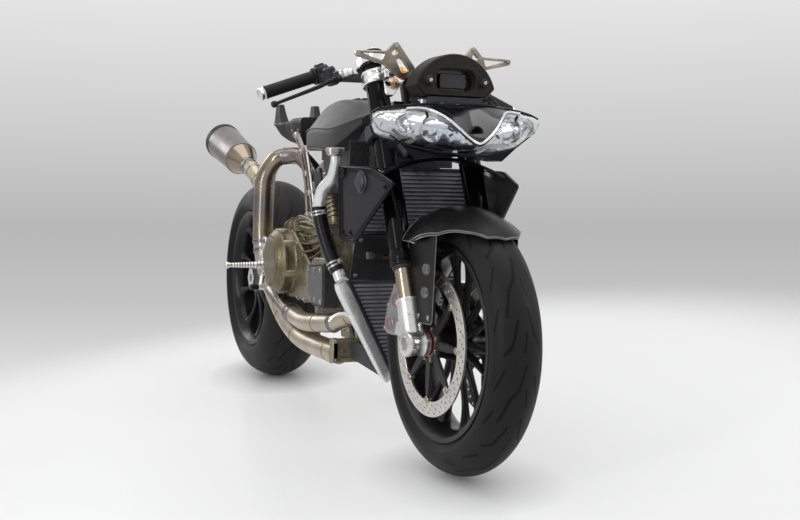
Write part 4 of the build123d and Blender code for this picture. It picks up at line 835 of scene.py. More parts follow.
# ------------------------------------------------------------------ shells
@dataclass
class Shell:
    """One mesh gathered from grids, sweeps, turned forms and plates, in upright millimetres."""

    name: str
    body: Body
    finishes: tuple[Finish, ...]
    crease: float = 30.0
    points: list[np.ndarray] = field(default_factory=list)
    faces: list[np.ndarray] = field(default_factory=list)
    flats: list[np.ndarray] = field(default_factory=list)
    slots: list[np.ndarray] = field(default_factory=list)
    count: int = 0

    def add(self, points: np.ndarray, faces: np.ndarray, slot: int = 0, flat: np.ndarray | None = None) -> None:
        """Adds faces that all have the same number of corners.

        Args:
            points: The points, shape (n, 3).
            faces: Indices into them, shape (m, corners).
            slot: Which finish they take.
            flat: The corners' flat coordinates, shape (m, corners, 2).
        """
        faces = np.asarray(faces, int)
        self.points.append(np.asarray(points, float).reshape(-1, 3))
        self.faces.append(faces + self.count)
        self.flats.append(np.zeros((*faces.shape, 2)) if flat is None else flat)
        self.slots.append(np.full(len(faces), slot))
        self.count += len(self.points[-1])

    def grid(self, points: np.ndarray, slot: int = 0, wrap_u: bool = False, wrap_v: bool = False,
             size: tuple[float, float] = (1.0, 1.0), start: tuple[float, float] = (0.0, 0.0)) -> None:
        """Adds a grid of four-cornered faces.

        Args:
            points: The grid, shape (u, v, 3).
            slot: Which finish it takes.
            wrap_u: Whether the last row joins the first.
            wrap_v: Whether the last column joins the first.
            size: Flat lengths along u and v.
            start: Flat coordinates of the first point.
        """
        nu, nv = points.shape[:2]
        mu, mv = nu - (not wrap_u), nv - (not wrap_v)
        i, j = (a.ravel() for a in np.meshgrid(np.arange(mu), np.arange(mv), indexing="ij"))
        corner_u = np.stack([i, i + 1, i + 1, i], 1)
        corner_v = np.stack([j, j, j + 1, j + 1], 1)
        flat = np.stack([start[0] + corner_u * size[0] / mu, start[1] + corner_v * size[1] / mv], 2)
        self.add(points, (corner_u % nu) * nv + corner_v % nv, slot, flat)

    def cap(self, loop: np.ndarray, slot: int = 0) -> None:
        """Closes a loop of points with one face.

        Args:
            loop: The loop, shape (n, 3).
            slot: Which finish it takes.
        """
        self.add(loop, np.arange(len(loop))[None, :], slot)

    def tube(self, points: np.ndarray, slot: int = 0, size: tuple[float, float] = (1.0, 1.0)) -> None:
        """Adds a grid whose rows are loops, and closes its two ends.

        Args:
            points: The grid, shape (u, v, 3).
            slot: Which finish it takes.
            size: Flat lengths along u and v.
        """
        self.grid(points, slot, False, True, size)
        self.cap(points[0], slot)
        self.cap(points[-1], slot)

    def turned(self, profile: list[tuple[float, float]], axes: Axes, slot: int = 0, sides: int = 40,
               closed: bool = False, lobes: np.ndarray | None = None) -> None:
        """Adds a form turned round the axes' z.

        Args:
            profile: (along z, radius) pairs.
            axes: Where the form stands.
            slot: Which finish it takes.
            sides: How many steps round.
            closed: Whether the profile is a loop.
            lobes: A factor of the radius for each step round.
        """
        along, radius = np.array(profile, float).T
        angle = turns(sides)
        wide = np.ones(sides) if lobes is None else lobes
        ring = np.stack([np.cos(angle) * wide, np.sin(angle) * wide], 1)
        local = np.concatenate([radius[:, None, None] * ring[None],
                                np.broadcast_to(along[:, None, None], (len(along), sides, 1))], 2)
        run = float(np.hypot(np.diff(along), np.diff(radius)).sum()) or 1.0
        self.grid(axes.at(local), slot, closed, True, (run, 2 * pi * float(radius.max())))
        if not closed:
            for end in (0, -1):
                if radius[end] > 0.01:
                    self.cap(axes.at(local[end]), slot)

    def sweep(self, route: np.ndarray, radius: "float | np.ndarray", slot: int = 0, sides: int = 14,
              squash: float = 1.0, capped: bool = True, wrap: bool = False, section: np.ndarray | None = None,
              upward: Vec = (0.0, 0.0, 1.0)) -> None:
        """Adds a tube along a route.

        Its section keeps to one up direction, or to the best axis where the route runs along it.

        Args:
            route: Points along the middle, shape (n, 3).
            radius: One radius, or one for each point.
            slot: Which finish it takes.
            sides: How many sides a round section has.
            squash: Height of the section over its width.
            capped: Whether the ends are closed.
            wrap: Whether the route is a loop.
            section: Another section's points, shape (sides, 2), for radius 1.
            upward: What the section's second direction keeps nearest to.
        """
        route = np.asarray(route, float)
        if wrap:
            ahead = np.roll(route, -1, 0) - np.roll(route, 1, 0)
        else:
            ahead = np.gradient(route, axis=0)
        ahead /= np.linalg.norm(ahead, axis=1, keepdims=True)
        tries = [np.cross(ahead, way) for way in (upward, (1.0, 0.0, 0.0), (0.0, 1.0, 0.0))]
        least = [float(np.linalg.norm(one, axis=1).min()) for one in tries]
        side = tries[0] if least[0] >= 0.05 else tries[int(np.argmax(least))]
        side /= np.maximum(np.linalg.norm(side, axis=1, keepdims=True), 1e-6)
        up = np.cross(side, ahead)
        if section is None:
            angle = turns(sides)
            section = np.stack([np.cos(angle), squash * np.sin(angle)], 1)
        reach = np.broadcast_to(np.asarray(radius, float), (len(route),))[:, None, None]
        ring = route[:, None] + reach * (section[None, :, :1] * side[:, None] + section[None, :, 1:] * up[:, None])
        run = float(np.linalg.norm(np.diff(route, axis=0), axis=1).sum())
        self.grid(ring, slot, wrap, True, (run, 2 * pi * float(reach.max())))
        if capped and not wrap:
            self.cap(ring[0], slot)
            self.cap(ring[-1], slot)

    def plate(self, outline: np.ndarray, axes: Axes, thickness: float, slot: int = 0, holes: tuple = (),
              chamfer: float = 0.8) -> None:
        """Adds a flat plate with holes and chamfered edges, its middle on the axes' x-y plane.

        Args:
            outline: The outline's points, shape (n, 2).
            axes: Where the plate lies.
            thickness: Its thickness.
            slot: Which finish it takes.
            holes: The holes' outlines.
            chamfer: The chamfer's size.
        """
        curve = bpy.data.curves.new("plate", "CURVE")
        curve.dimensions = "2D"
        curve.fill_mode = "BOTH"
        curve.extrude = max(thickness / 2 - chamfer, 0.01)
        curve.bevel_depth = chamfer
        curve.bevel_resolution = 0
        curve.offset = -chamfer
        for loop in (outline, *holes):
            spline = curve.splines.new("POLY")
            spline.points.add(len(loop) - 1)
            spline.points.foreach_set("co", np.c_[loop, np.zeros(len(loop)), np.ones(len(loop))].ravel())
            spline.use_cyclic_u = True
        holder = bpy.data.objects.new("plate", curve)
        mesh = bpy.data.meshes.new_from_object(holder)
        where = np.zeros(len(mesh.vertices) * 3)
        mesh.vertices.foreach_get("co", where)
        where = where.reshape(-1, 3)
        starts = np.zeros(len(mesh.polygons), int)
        sizes = np.zeros(len(mesh.polygons), int)
        corners = np.zeros(len(mesh.loops), int)
        mesh.polygons.foreach_get("loop_start", starts)
        mesh.polygons.foreach_get("loop_total", sizes)
        mesh.loops.foreach_get("vertex_index", corners)
        for size in np.unique(sizes):
            chosen = corners[starts[sizes == size][:, None] + np.arange(size)]
            self.add(axes.at(where), chosen, slot, where[chosen][..., :2])
        bpy.data.objects.remove(holder)
        bpy.data.curves.remove(curve)
        bpy.data.meshes.remove(mesh)

    def block(self, size: Vec, axes: Axes, slot: int = 0, chamfer: float = 1.5, taper: float = 1.0) -> None:
        """Adds a block with chamfered edges, its middle at the axes' origin.

        Args:
            size: Its lengths along x, y and z.
            axes: Where it stands.
            slot: Which finish it takes.
            chamfer: The chamfer's size.
            taper: The far end's width over the near end's, along z.
        """
        x, y, z = (s / 2 for s in size)
        rings = []
        for depth, inset in ((-z, chamfer), (-z + chamfer, 0.0), (z - chamfer, 0.0), (z, chamfer)):
            wide = 1.0 + (taper - 1.0) * (depth + z) / (2 * z)
            a, b = (x - inset) * wide, (y - inset) * wide
            c = chamfer
            rings.append([(a - c, -b, depth), (a, -b + c, depth), (a, b - c, depth), (a - c, b, depth),
                          (-a + c, b, depth), (-a, b - c, depth), (-a, -b + c, depth), (-a + c, -b, depth)])
        self.tube(axes.at(rings), slot)

    def bolt(self, axes: Axes, radius: float = 5.0, height: float = 5.0, slot: int = 0) -> None:
        """Adds a socket-head bolt that stands up along the axes' z.

        Args:
            axes: The seat of its head.
            radius: The head's radius.
            height: The head's height.
            slot: Which finish it takes.
        """
        r, h = radius, height
        self.turned([(-1.0, r * 1.35), (0.6, r * 1.35), (0.6, r), (h - 0.8, r), (h, r - 0.8), (h, r * 0.55),
                     (h * 0.4, r * 0.5), (h * 0.4, 0.0)], axes, slot, 12)

    def build(self, *replaced: str) -> None:
        """Makes the object, rests it on its body and hides the CAD nodes it stands for.

        Args:
            replaced: CAD nodes that it replaces.
        """
        mesh = bpy.data.meshes.new(self.name)
        faces = [row for block in self.faces for row in block.tolist()]
        mesh.from_pydata(BIKE.place(np.concatenate(self.points), self.body), [], faces)
        layer = mesh.uv_layers.new(name="flat")
        layer.data.foreach_set("uv", np.concatenate([f.reshape(-1, 2) for f in self.flats]).ravel())
        mesh.polygons.foreach_set("material_index", np.concatenate(self.slots))
        for finish in self.finishes:
            mesh.materials.append(finish.material())
        work = bmesh.new()
        work.from_mesh(mesh)
        bmesh.ops.remove_doubles(work, verts=work.verts, dist=MERGE)
        bmesh.ops.recalc_face_normals(work, faces=work.faces)
        work.to_mesh(mesh)
        work.free()
        mesh.polygons.foreach_set("use_smooth", np.ones(len(mesh.polygons), bool))
        mesh.set_sharp_from_angle(angle=radians(self.crease))
        made = bpy.data.objects.new(self.name, mesh)
        bpy.context.scene.collection.objects.link(made)
        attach(made, self.body.value)
        if replaced:
            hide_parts(*replaced)
        LOG.info("%s: %d faces on %s", self.name, len(mesh.polygons), self.body.value)


def smooth_route(points: Points, steps: int = 10) -> np.ndarray:
    """A Catmull-Rom line through points.

    Args:
        points: The points to pass.
        steps: Steps between two of them.

    Returns:
        The line's points, shape (n, 3).
    """
    p = np.asarray(points, float)
    p = np.concatenate([[2 * p[0] - p[1]], p, [2 * p[-1] - p[-2]]])
    t = (np.arange(steps) / steps)[None, :, None]
    a, b, c, d = (p[k:len(p) - 3 + k][:, None] for k in range(4))
    line = 0.5 * (2 * b + (c - a) * t + (2 * a - 5 * b + 4 * c - d) * t**2 + (3 * b - a - 3 * c + d) * t**3)
    return np.concatenate([line.reshape(-1, p.shape[1]), p[-2:-1]])


def round_loop(radius: float, centre: tuple[float, float] = (0.0, 0.0), sides: int = 24,
               flatten: float = 1.0) -> np.ndarray:
    """A circle's or an ellipse's points.

    Args:
        radius: Half its width.
        centre: Its centre.
        sides: How many points.
        flatten: Its height over its width.

    Returns:
        The points, shape (sides, 2).
    """
    angle = turns(sides)
    return np.stack([centre[0] + radius * np.cos(angle), centre[1] + radius * flatten * np.sin(angle)], 1)


def rounded(outline: Points, radius: float, steps: int = 5) -> np.ndarray:
    """A closed outline with its corners rounded by quadratic arcs.

    Args:
        outline: The corners.
        radius: How far from each corner the arc starts.
        steps: Steps in each arc.

    Returns:
        The points, shape (n, 2).
    """
    p = np.asarray(outline, float)
    back, ahead = np.roll(p, 1, 0) - p, np.roll(p, -1, 0) - p
    cuts = [v * np.minimum(radius / np.linalg.norm(v, axis=1), 0.48)[:, None] for v in (back, ahead)]
    t = np.linspace(0, 1, steps)[None, :, None]
    start, end = (p + cuts[0])[:, None], (p + cuts[1])[:, None]
    return ((1 - t) ** 2 * start + 2 * t * (1 - t) * p[:, None] + t**2 * end).reshape(-1, 2)


def side_of(points: "Vec | np.ndarray", side: float) -> np.ndarray:
    """Points of the left half, or their mirror image.

    Args:
        points: Points on the left half.
        side: 1 for the left, -1 for the right.

    Returns:
        The points on that side.
    """
    return np.asarray(points, float) * np.array([side, 1.0, 1.0])


def even_line(points: np.ndarray, count: int) -> np.ndarray:
    """A line's points moved along it so that they lie at equal distances.

    Args:
        points: The line, shape (n, k).
        count: How many points the result has.

    Returns:
        The points, shape (count, k).
    """
    run = np.concatenate([[0.0], np.cumsum(np.linalg.norm(np.diff(points, axis=0), axis=1))])
    wanted = np.linspace(0.0, run[-1], count)
    return np.stack([np.interp(wanted, run, points[:, k]) for k in range(points.shape[1])], 1)


# ------------------------------------------------------------------ wheels
@dataclass(frozen=True)
class Tyre:
    """A road tyre whose flat coordinates run round it and across its tread, in millimetres."""

    name: str
    hub: Axes
    body: Body
    radius: float
    half: float
    crown: float
    bead: float
    rim: float = RIM_RADIUS
    lip: float = 224.9

    def profile(self) -> np.ndarray:
        """The outside across the tyre: beads, walls, and half an ellipse of half width by crown.

        Returns:
            (across, radius) pairs at equal distances.
        """
        turn = np.linspace(pi, 0.0, 61)
        shoulder = self.radius - self.crown
        tread = np.stack([self.half * np.cos(turn), shoulder + self.crown * np.sin(turn)], 1)
        ends = np.array([[self.bead, self.rim], [self.bead, self.lip]])
        mirrored = ends * (-1.0, 1.0)
        return even_line(np.concatenate([mirrored, tread, ends[::-1]]), 73)

    def build(self) -> None:
        """Makes the tyre in place of its CAD node."""
        shell = Shell(self.name + "_tread", self.body, (Paint.TYRE,), crease=60.0)
        across, radius = self.profile().T
        angle = turns(180)
        ring = [radius * np.cos(angle)[:, None], radius * np.sin(angle)[:, None]]
        local = np.stack([ring[0], ring[1], np.broadcast_to(across, ring[0].shape)], 2)
        width = float(np.hypot(np.diff(across), np.diff(radius)).sum())
        shell.grid(self.hub.at(local), 0, True, False, (2 * pi * self.radius, width), (0.0, -width / 2))
        shell.grid(self.hub.at(local[:, [-1, 0]]), 0, True, False, start=(0.0, 300.0))
        shell.build(self.name)


@dataclass(frozen=True)
class Wheel:
    """A cast wheel: a barrel, a hub and tapered spokes of a rounded section."""

    name: str
    hub: Axes
    body: Body
    half: float
    hub_profile: tuple
    arms: tuple
    plane: float
    hub_radius: float
    rim: float = RIM_RADIUS
    well: float = 22.0

    def barrel(self, shell: Shell) -> None:
        """Adds the barrel: flanges, bead seats and a drop well, turned as one closed profile.

        Args:
            shell: What to add to.
        """
        h, r = self.half, self.rim
        outside = [(-h, r + 6.5), (-h + 1.5, r + 8), (-h + 5, r + 7), (-h + 6, r + 1), (-h + 16, r), (-h + 26, r - 8),
                   (h - 26, r - 8), (h - 16, r), (h - 6, r + 1), (h - 5, r + 7), (h - 1.5, r + 8), (h, r + 6.5)]
        inside = [(h - 1, r - 4), (h - 7, r - 9), (h - 24, r - 20), (h - 34, r - self.well), (-h + 34, r - self.well),
                  (-h + 24, r - 20), (-h + 7, r - 9), (-h + 1, r - 4)]
        shell.turned(outside + inside, self.hub, 0, 120, closed=True)

    def spoke(self, shell: Shell, turn: float, side: float) -> None:
        """Adds one spoke along a line that leans away from its pair's middle.

        Args:
            shell: What to add to.
            turn: The pair's angle round the axle.
            side: Which of the pair.
        """
        root, tip, wide, deep = self.arms
        t = np.linspace(0.0, 1.0, 15)
        out = self.hub_radius - 4 + t * (self.rim - self.well + 3 - self.hub_radius + 4)
        off = side * (root + (tip - root) * t**1.15)
        bow = self.plane + 5.0 * np.sin(pi * t)
        line = np.stack([out * cos(turn) - off * sin(turn), out * sin(turn) + off * cos(turn), bow], 1)
        reach = wide * (1.0 - 0.42 * np.sin(pi * t * 0.92) + 0.45 * t**8)
        across, through = super_ellipse(16, 0.7)
        section = np.stack([across, through * deep / wide], 1)
        shell.sweep(self.hub.at(line), reach, 0, section=section, upward=self.hub.z)

    def build(self) -> None:
        """Makes the wheel in place of its CAD node."""
        shell = Shell(self.name + "_casting", self.body, (Paint.RIM,), crease=40.0)
        self.barrel(shell)
        shell.turned(list(self.hub_profile), self.hub, 0, 48, closed=True)
        for k in range(self.pairs):
            for side in self.sides:
                self.spoke(shell, pi / 2 + k * 2 * pi / self.pairs, side)
        valve = self.hub.moved(x=0.0, y=-(self.rim - self.well - 6.0), z=self.plane + 24)
        shell.turned([(0, 5), (8, 5), (10, 3.5), (26, 3.5), (28, 4.5), (38, 4.5), (39, 0)], valve, 0, 12)
        shell.build(self.name)

    @property
    def pairs(self) -> int:
        """How many spokes or pairs of spokes there are."""
        return 7 if self.arms[0] else 10

    @property
    def sides(self) -> tuple[float, ...]:
        """The sides of a pair, or its one spoke."""
        return (-1.0, 1.0) if self.arms[0] else (0.0,)


@dataclass(frozen=True)
class BrakeDisc:
    """A drilled ring on a dark carrier, held by floating buttons."""

    name: str
    hub: Axes
    body: Body
    radius: float
    band: float
    hub_radius: float
    bore: float
    faces: tuple[float, ...]
    buttons: int = 8
    thickness: float = 5.0
    columns: int = 36
    rows: int = 3

    def ring(self, shell: Shell, axes: Axes) -> None:
        """Adds the ring, its inner edge waved about the buttons and its band drilled in slanting rows.

        Args:
            shell: What to add to.
            axes: The ring's middle, z along the axle.
        """
        inner = self.radius - self.band
        angle = turns(160)
        wave = inner - 3.0 * np.maximum(np.cos(self.buttons * angle), 0.0) ** 3
        edge = np.stack([wave * np.cos(angle), wave * np.sin(angle)], 1)
        holes = [edge]
        for column in range(self.columns):
            for row in range(self.rows):
                turn = (column + row * 0.33) * 2 * pi / self.columns
                out = inner + self.band * (0.27 + 0.25 * row)
                holes.append(round_loop(2.9, (out * cos(turn), out * sin(turn)), 10))
        shell.plate(round_loop(self.radius, sides=160), axes, self.thickness, 0, tuple(holes), 0.5)

    def carrier(self, shell: Shell, axes: Axes) -> None:
        """Adds the carrier: a hub ring and one pocketed arm for each button.

        Args:
            shell: What to add to.
            axes: The ring's middle, z along the axle.
        """
        inner = self.radius - self.band
        angle = turns(240)
        arm = np.abs(np.cos(self.buttons * angle / 2)) ** 7
        reach = self.hub_radius + 12 + (inner - 4 - self.hub_radius - 12) * arm
        outline = np.stack([reach * np.cos(angle), reach * np.sin(angle)], 1)
        holes = [round_loop(self.bore, sides=40)]
        for k in range(self.buttons):
            turn = (k + 0.5) * 2 * pi / self.buttons
            out = self.hub_radius + 5.0
            holes.append(round_loop(3.5, (out * cos(turn), out * sin(turn)), 12))
        shell.plate(outline, axes, self.thickness + 3, 1, tuple(holes), 1.0)

    def build(self) -> None:
        """Makes the discs in place of their CAD node."""
        shell = Shell(self.name + "_drilled", self.body, (Paint.DISC, Paint.BLACK_SATIN, Paint.STAY))
        for face in self.faces:
            axes = self.hub.moved(z=face)
            self.ring(shell, axes)
            self.carrier(shell, axes)
            out = np.sign(face) or 1.0
            for k in range(self.buttons):
                turn = k * 2 * pi / self.buttons
                spot = self.radius - self.band - 3.0
                seat = axes.moved(spot * cos(turn), spot * sin(turn))
                shell.turned([(-5.2, 0), (-5.2, 7), (-4.4, 8), (4.4, 8), (5.2, 7), (5.2, 3.5), (4.0, 3.0), (4.0, 0)],
                             seat, 2, 20)
                bolt_turn = (k + 0.5) * 2 * pi / self.buttons
                spot = self.hub_radius + 5.0
                seat = self.hub.moved(spot * cos(bolt_turn), spot * sin(bolt_turn), face + out * 4.0)
                shell.bolt(seat.flipped(out), 4.6, 4.5, 2)
        shell.build(self.name)


def wheels() -> tuple:
    """The two wheels' sub-assemblies.

    Returns:
        Objects with a build method.
    """
    front_hub = ((-69.5, 13.5), (-69.5, 28), (-66, 32.5), (-40, 34), (-26, 40), (26, 40), (40, 34), (66, 32.5),
                 (69.5, 28), (69.5, 13.5))
    rear_hub = ((-66, 28.2), (-66, 48), (-62, 52), (-46, 58), (22, 58), (27.5, 54), (27.5, 28.2))
    return (
        Tyre("front_tyre", FRONT_HUB, Body.FRONT_WHEEL, 299.9, 60.0, 58.0, 47.0),
        Tyre("rear_tyre", REAR_HUB, Body.REAR_WHEEL, 325.9, 100.0, 85.0, 81.0),
        Wheel("front_rim", FRONT_HUB, Body.FRONT_WHEEL, 52.0, front_hub, (11.0, 37.0, 10.5, 13.0), 0.0, 36.0),
        Wheel("rear_rim", REAR_HUB, Body.REAR_WHEEL, 86.0, rear_hub, (0.0, 0.0, 12.0, 17.0), -43.0, 54.0),
        BrakeDisc("front_discs", FRONT_HUB, Body.FRONT_WHEEL, 165.0, 34.0, 32.5, 19.0, (-DISC_X, DISC_X)),
        BrakeDisc("rear_disc", REAR_HUB, Body.REAR_WHEEL, 122.5, 30.0, 38.0, 28.2, (30.0,), 6),
    )


def axes_along(start: "Vec | np.ndarray", end: "Vec | np.ndarray") -> Axes:
    """Axes whose z runs from one point to another.

    Args:
        start: The origin.
        end: A point on the z axis.

    Returns:
        The axes.
    """
    z = (Vector(end) - Vector(start)).normalized()
    x = Vector((0.0, 0.0, 1.0)).cross(z)
    x = x.normalized() if x.length > 0.05 else Vector((1.0, 0.0, 0.0))
    return Axes(tuple(float(v) for v in start), tuple(x), tuple(z.cross(x)), tuple(z))


def facing(origin: Vec, side: float) -> Axes:
    """Axes on a flank: x backwards, y up, z outwards to one side.

    Args:
        origin: The origin.
        side: 1 for the left flank, -1 for the right.

    Returns:
        The axes.
    """
    return Axes(tuple(float(v) for v in origin), (0.0, 1.0, 0.0), (0.0, 0.0, 1.0), (side, 0.0, 0.0))


# ------------------------------------------------------------------ fork and brakes
@dataclass(frozen=True)
class Fork:
    """Gloss tubes over gold sliders, cast feet, clamps, a damper and the front calipers."""

    leg_x: float = 110.0
    outer: float = 27.0
    lead: float = 28.5

    def tubes(self) -> None:
        """Makes the outer tubes with their collars and caps, in place of the CAD tubes."""
        shell = Shell("fork_tubes", Body.STEERING, (Paint.BLACK_GLOSS, Paint.BLACK_SATIN, Paint.ALLOY))
        r = self.outer
        for side in (-1, 1):
            leg = FORK.moved(x=side * self.leg_x)
            shell.turned([(183, 21.6), (183, 28), (185, 29.3), (190, 29.3), (191, 28.4), (194, 28.4), (195, 29.3),
                          (212, 29.3), (216, 27.6), (224, r), (480, r), (540, r), (716, r), (719, r - 1), (730, r - 1),
                          (730, 22)], leg, 0, 48)
            shell.turned([(174, 21.5), (175, 24.5), (183, 25.5), (183, 21.5)], leg, 1, 40)
            shell.turned([(728, 23), (733, 22), (733, 14), (737, 13.5), (737, 0)], leg, 2, 40)
            shell.turned([(735, 10), (742, 10), (743, 8.5), (743, 0)], leg, 2, 36, lobes=lobed(36, 0.06, 6))
        shell.build("fork_outers")

    def clamps(self) -> None:
        """Makes the polished upper clamp, the lower clamp and the steering damper in place of the CAD clamps."""
        shell = Shell("fork_clamps", Body.STEERING, (Paint.POLISHED, Paint.STEEL, Paint.AMBER, Paint.BLACK_SATIN))
        y = self.lead
        for at, thick, slot in ((690.0, 24.0, 0), (500.0, 34.0, 3)):
            middle = FORK.moved(z=at + thick / 2)
            outline = [(-150, -26), (-136, -39), (-92, -38), (-64, -20), (-30, -6), (30, -6), (64, -20), (92, -38),
                       (136, -39), (150, -26), (150, 24), (134, 40), (92, 40), (62, 46), (30, y + 26), (-30, y + 26),
                       (-62, 46), (-92, 40), (-134, 40), (-150, 24)]
            holes = [round_loop(self.outer, (s * self.leg_x, 0.0), 48) for s in (-1, 1)]
            holes += [round_loop(9.0, (s * 62.0, 16.0), 24, 1.3) for s in (-1, 1)]
            shell.plate(rounded(outline, 13, 5), middle, thick, slot, tuple(holes), 2.2)
            shell.turned([(-thick / 2 - 3, 14), (-thick / 2 - 3, 24), (thick / 2 + 3, 24), (thick / 2 + 5, 22),
                          (thick / 2 + 5, 13), (thick / 2 + 9, 13), (thick / 2 + 9, 0)], middle.moved(y=y),
                         1 if slot else 0, 36)
            for side in (-1, 1):
                for lift in (-6.0, 6.0) if slot else (0.0,):
                    shell.bolt(middle.moved(side * 92.0, -38.0, lift).forwards(), 4.6, 4.5, 1)
        shell.sweep(np.array([FORK.moved(y=self.lead, z=z).origin for z in (530.0, 600.0, 692.0)]), 14.0, 1, 24)
        left, right = FORK.moved(-106.0, -50.0, 652.0).origin, FORK.moved(62.0, -62.0, 646.0).origin
        rod = axes_along(left, right)
        run = float(np.linalg.norm(np.array(right) - left))
        shell.turned([(0, 0), (0, 9), (3, 11), (12, 11), (14, 6), (40, 6), (40, 10.5), (44, 12), (run - 14, 12),
                      (run - 10, 10), (run, 9), (run, 0)], rod, 0, 28)
        shell.turned([(36, 10), (37, 14.5), (46, 14.5), (47, 10)], rod, 2, 32)
        for spot in (left, right):
            eye = replace(FORK, origin=spot)
            shell.bolt(eye.moved(z=8.0), 6.0, 5.0, 1)
            shell.turned([(-14, 7), (-2, 7), (-2, 11), (2, 11), (2, 7), (9, 7)], eye, 0, 20)
        shell.build("triple_clamps")

    def feet(self) -> None:
        """Makes what the cast feet carry: rims, pinch ears with bolts, and axle nuts."""
        shell = Shell("foot_fittings", Body.STEERING, (Paint.ALLOY, Paint.STEEL, Paint.RED, Paint.BRONZE))
        for side in (-1, 1):
            leg = FORK.moved(x=side * self.leg_x)
            shell.turned([(96, 22), (96, 28.4), (99, 29.2), (103, 28.4), (104, 22)], leg, 0, 44)
            shell.turned([(60, 26), (62, 28.6), (68, 28.6), (70, 26)], leg, 0, 44)
            axle = facing(FRONT_HUB.at((0.0, 0.0, side * 109.0)), side)
            shell.turned([(-22, 26), (-22, 29), (-14, 29.5), (-10, 27.5), (10, 27.5), (14, 29.5), (24, 29.5), (27, 28),
                          (28, 25), (28, 17), (24, 16), (24, 12)], axle, 0, 48)
            shell.turned([(20, 12.3), (20, 16), (27, 16), (28, 14.5), (28, 8.2)], axle, 1, 36, lobes=lobed(36, 0.07, 6))
            for lift in (-14.0, 6.0):
                ear = FORK.moved(side * 126.0, -20.0, lift).forwards()
                shell.block((20.0, 15.0, 16.0), ear, 0, 3.0)
                shell.bolt(ear.moved(z=8.0), 4.4, 4.5, 1)
            shell.turned([(-44, 18), (-44, 24), (-38, 27), (-36, 30), (-32, 30), (-32, 13)], axle,
                         3 if side < 0 else 1, 44)
            shell.turned([(-36, 29), (-35, 31), (-33, 31), (-32, 29)], axle, 2, 44)
        shell.build()

    def caliper(self, shell: Shell, hub: Axes, side: float, span: tuple[float, float], radii: tuple[float, float],
                half: float, gap: float) -> None:
        """Adds a caliper: two rounded halves over the disc, a bridge, piston caps and bolts.

        Each half is a rounded rectangle in radius and width, carried round the axle between two angles.

        Args:
            shell: What to add to.
            hub: The wheel's axes, moved to the disc.
            side: Which side faces out.
            span: First and last angle, in degrees.
            radii: Inner and outer radius.
            half: Half its width.
            gap: Half the slot for the disc.
        """
        angle = np.radians(np.linspace(*span, 22))
        ends = np.abs(np.linspace(-1, 1, 22)) ** 8
        power = super_ellipse(28, 0.38)
        for low, high in ((-half, -gap), (gap, half)):
            mid_r, mid_x = sum(radii) / 2, (low + high) / 2
            reach_r = (radii[1] - radii[0]) / 2 * (1 - 0.22 * ends)
            reach_x = (high - low) / 2 * (1 - 0.25 * ends)
            r = mid_r + reach_r[:, None] * power[0]
            x = mid_x + reach_x[:, None] * power[1]
            local = np.stack([r * np.cos(angle)[:, None], r * np.sin(angle)[:, None], x], 2)
            shell.tube(hub.at(local))
        for at in (0.22, 0.78):
            a = radians(span[0] + at * (span[1] - span[0]))
            out = sum(radii) / 2 - 3
            spot = hub.moved(out * cos(a), out * sin(a), side * (half - 2.0))
            face = spot.flipped(side)
            shell.turned([(-4, 17), (2, 17), (3.5, 15.5), (3.5, 12), (1.5, 11), (1.5, 0)], face, 0, 32)
            shell.turned([(2.0, 14.2), (4.2, 14.2), (4.2, 12.6), (2.0, 12.6)], face, 2, 32, closed=True)
        for at in (0.08, 0.5, 0.92):
            a = radians(span[0] + at * (span[1] - span[0]))
            out = radii[1] - 6
            bridge = [hub.moved(out * cos(a), out * sin(a), x).origin for x in (-half + 6, 0.0, half - 6)]
            shell.sweep(np.array(bridge), 8.0, 0, 16)
            spot = hub.moved(out * cos(a), out * sin(a), side * (half - 5.0))
            shell.bolt(spot.flipped(side), 5.0, 5.0, 1)

    def calipers(self) -> None:
        """Makes the front calipers in place of their CAD node."""
        shell = Shell("front_calipers", Body.STEERING, (Paint.CALIPER, Paint.STEEL, Paint.RED), crease=35.0)
        for side in (-1, 1):
            self.caliper(shell, FRONT_HUB.moved(z=side * DISC_X), side, (1.0, 47.0), (112.0, 177.0), 37.0, 4.2)
        shell.build("calipers")

    def build(self) -> None:
        """Makes every piece of the fork."""
        self.tubes()
        self.clamps()
        self.feet()
        self.calipers()


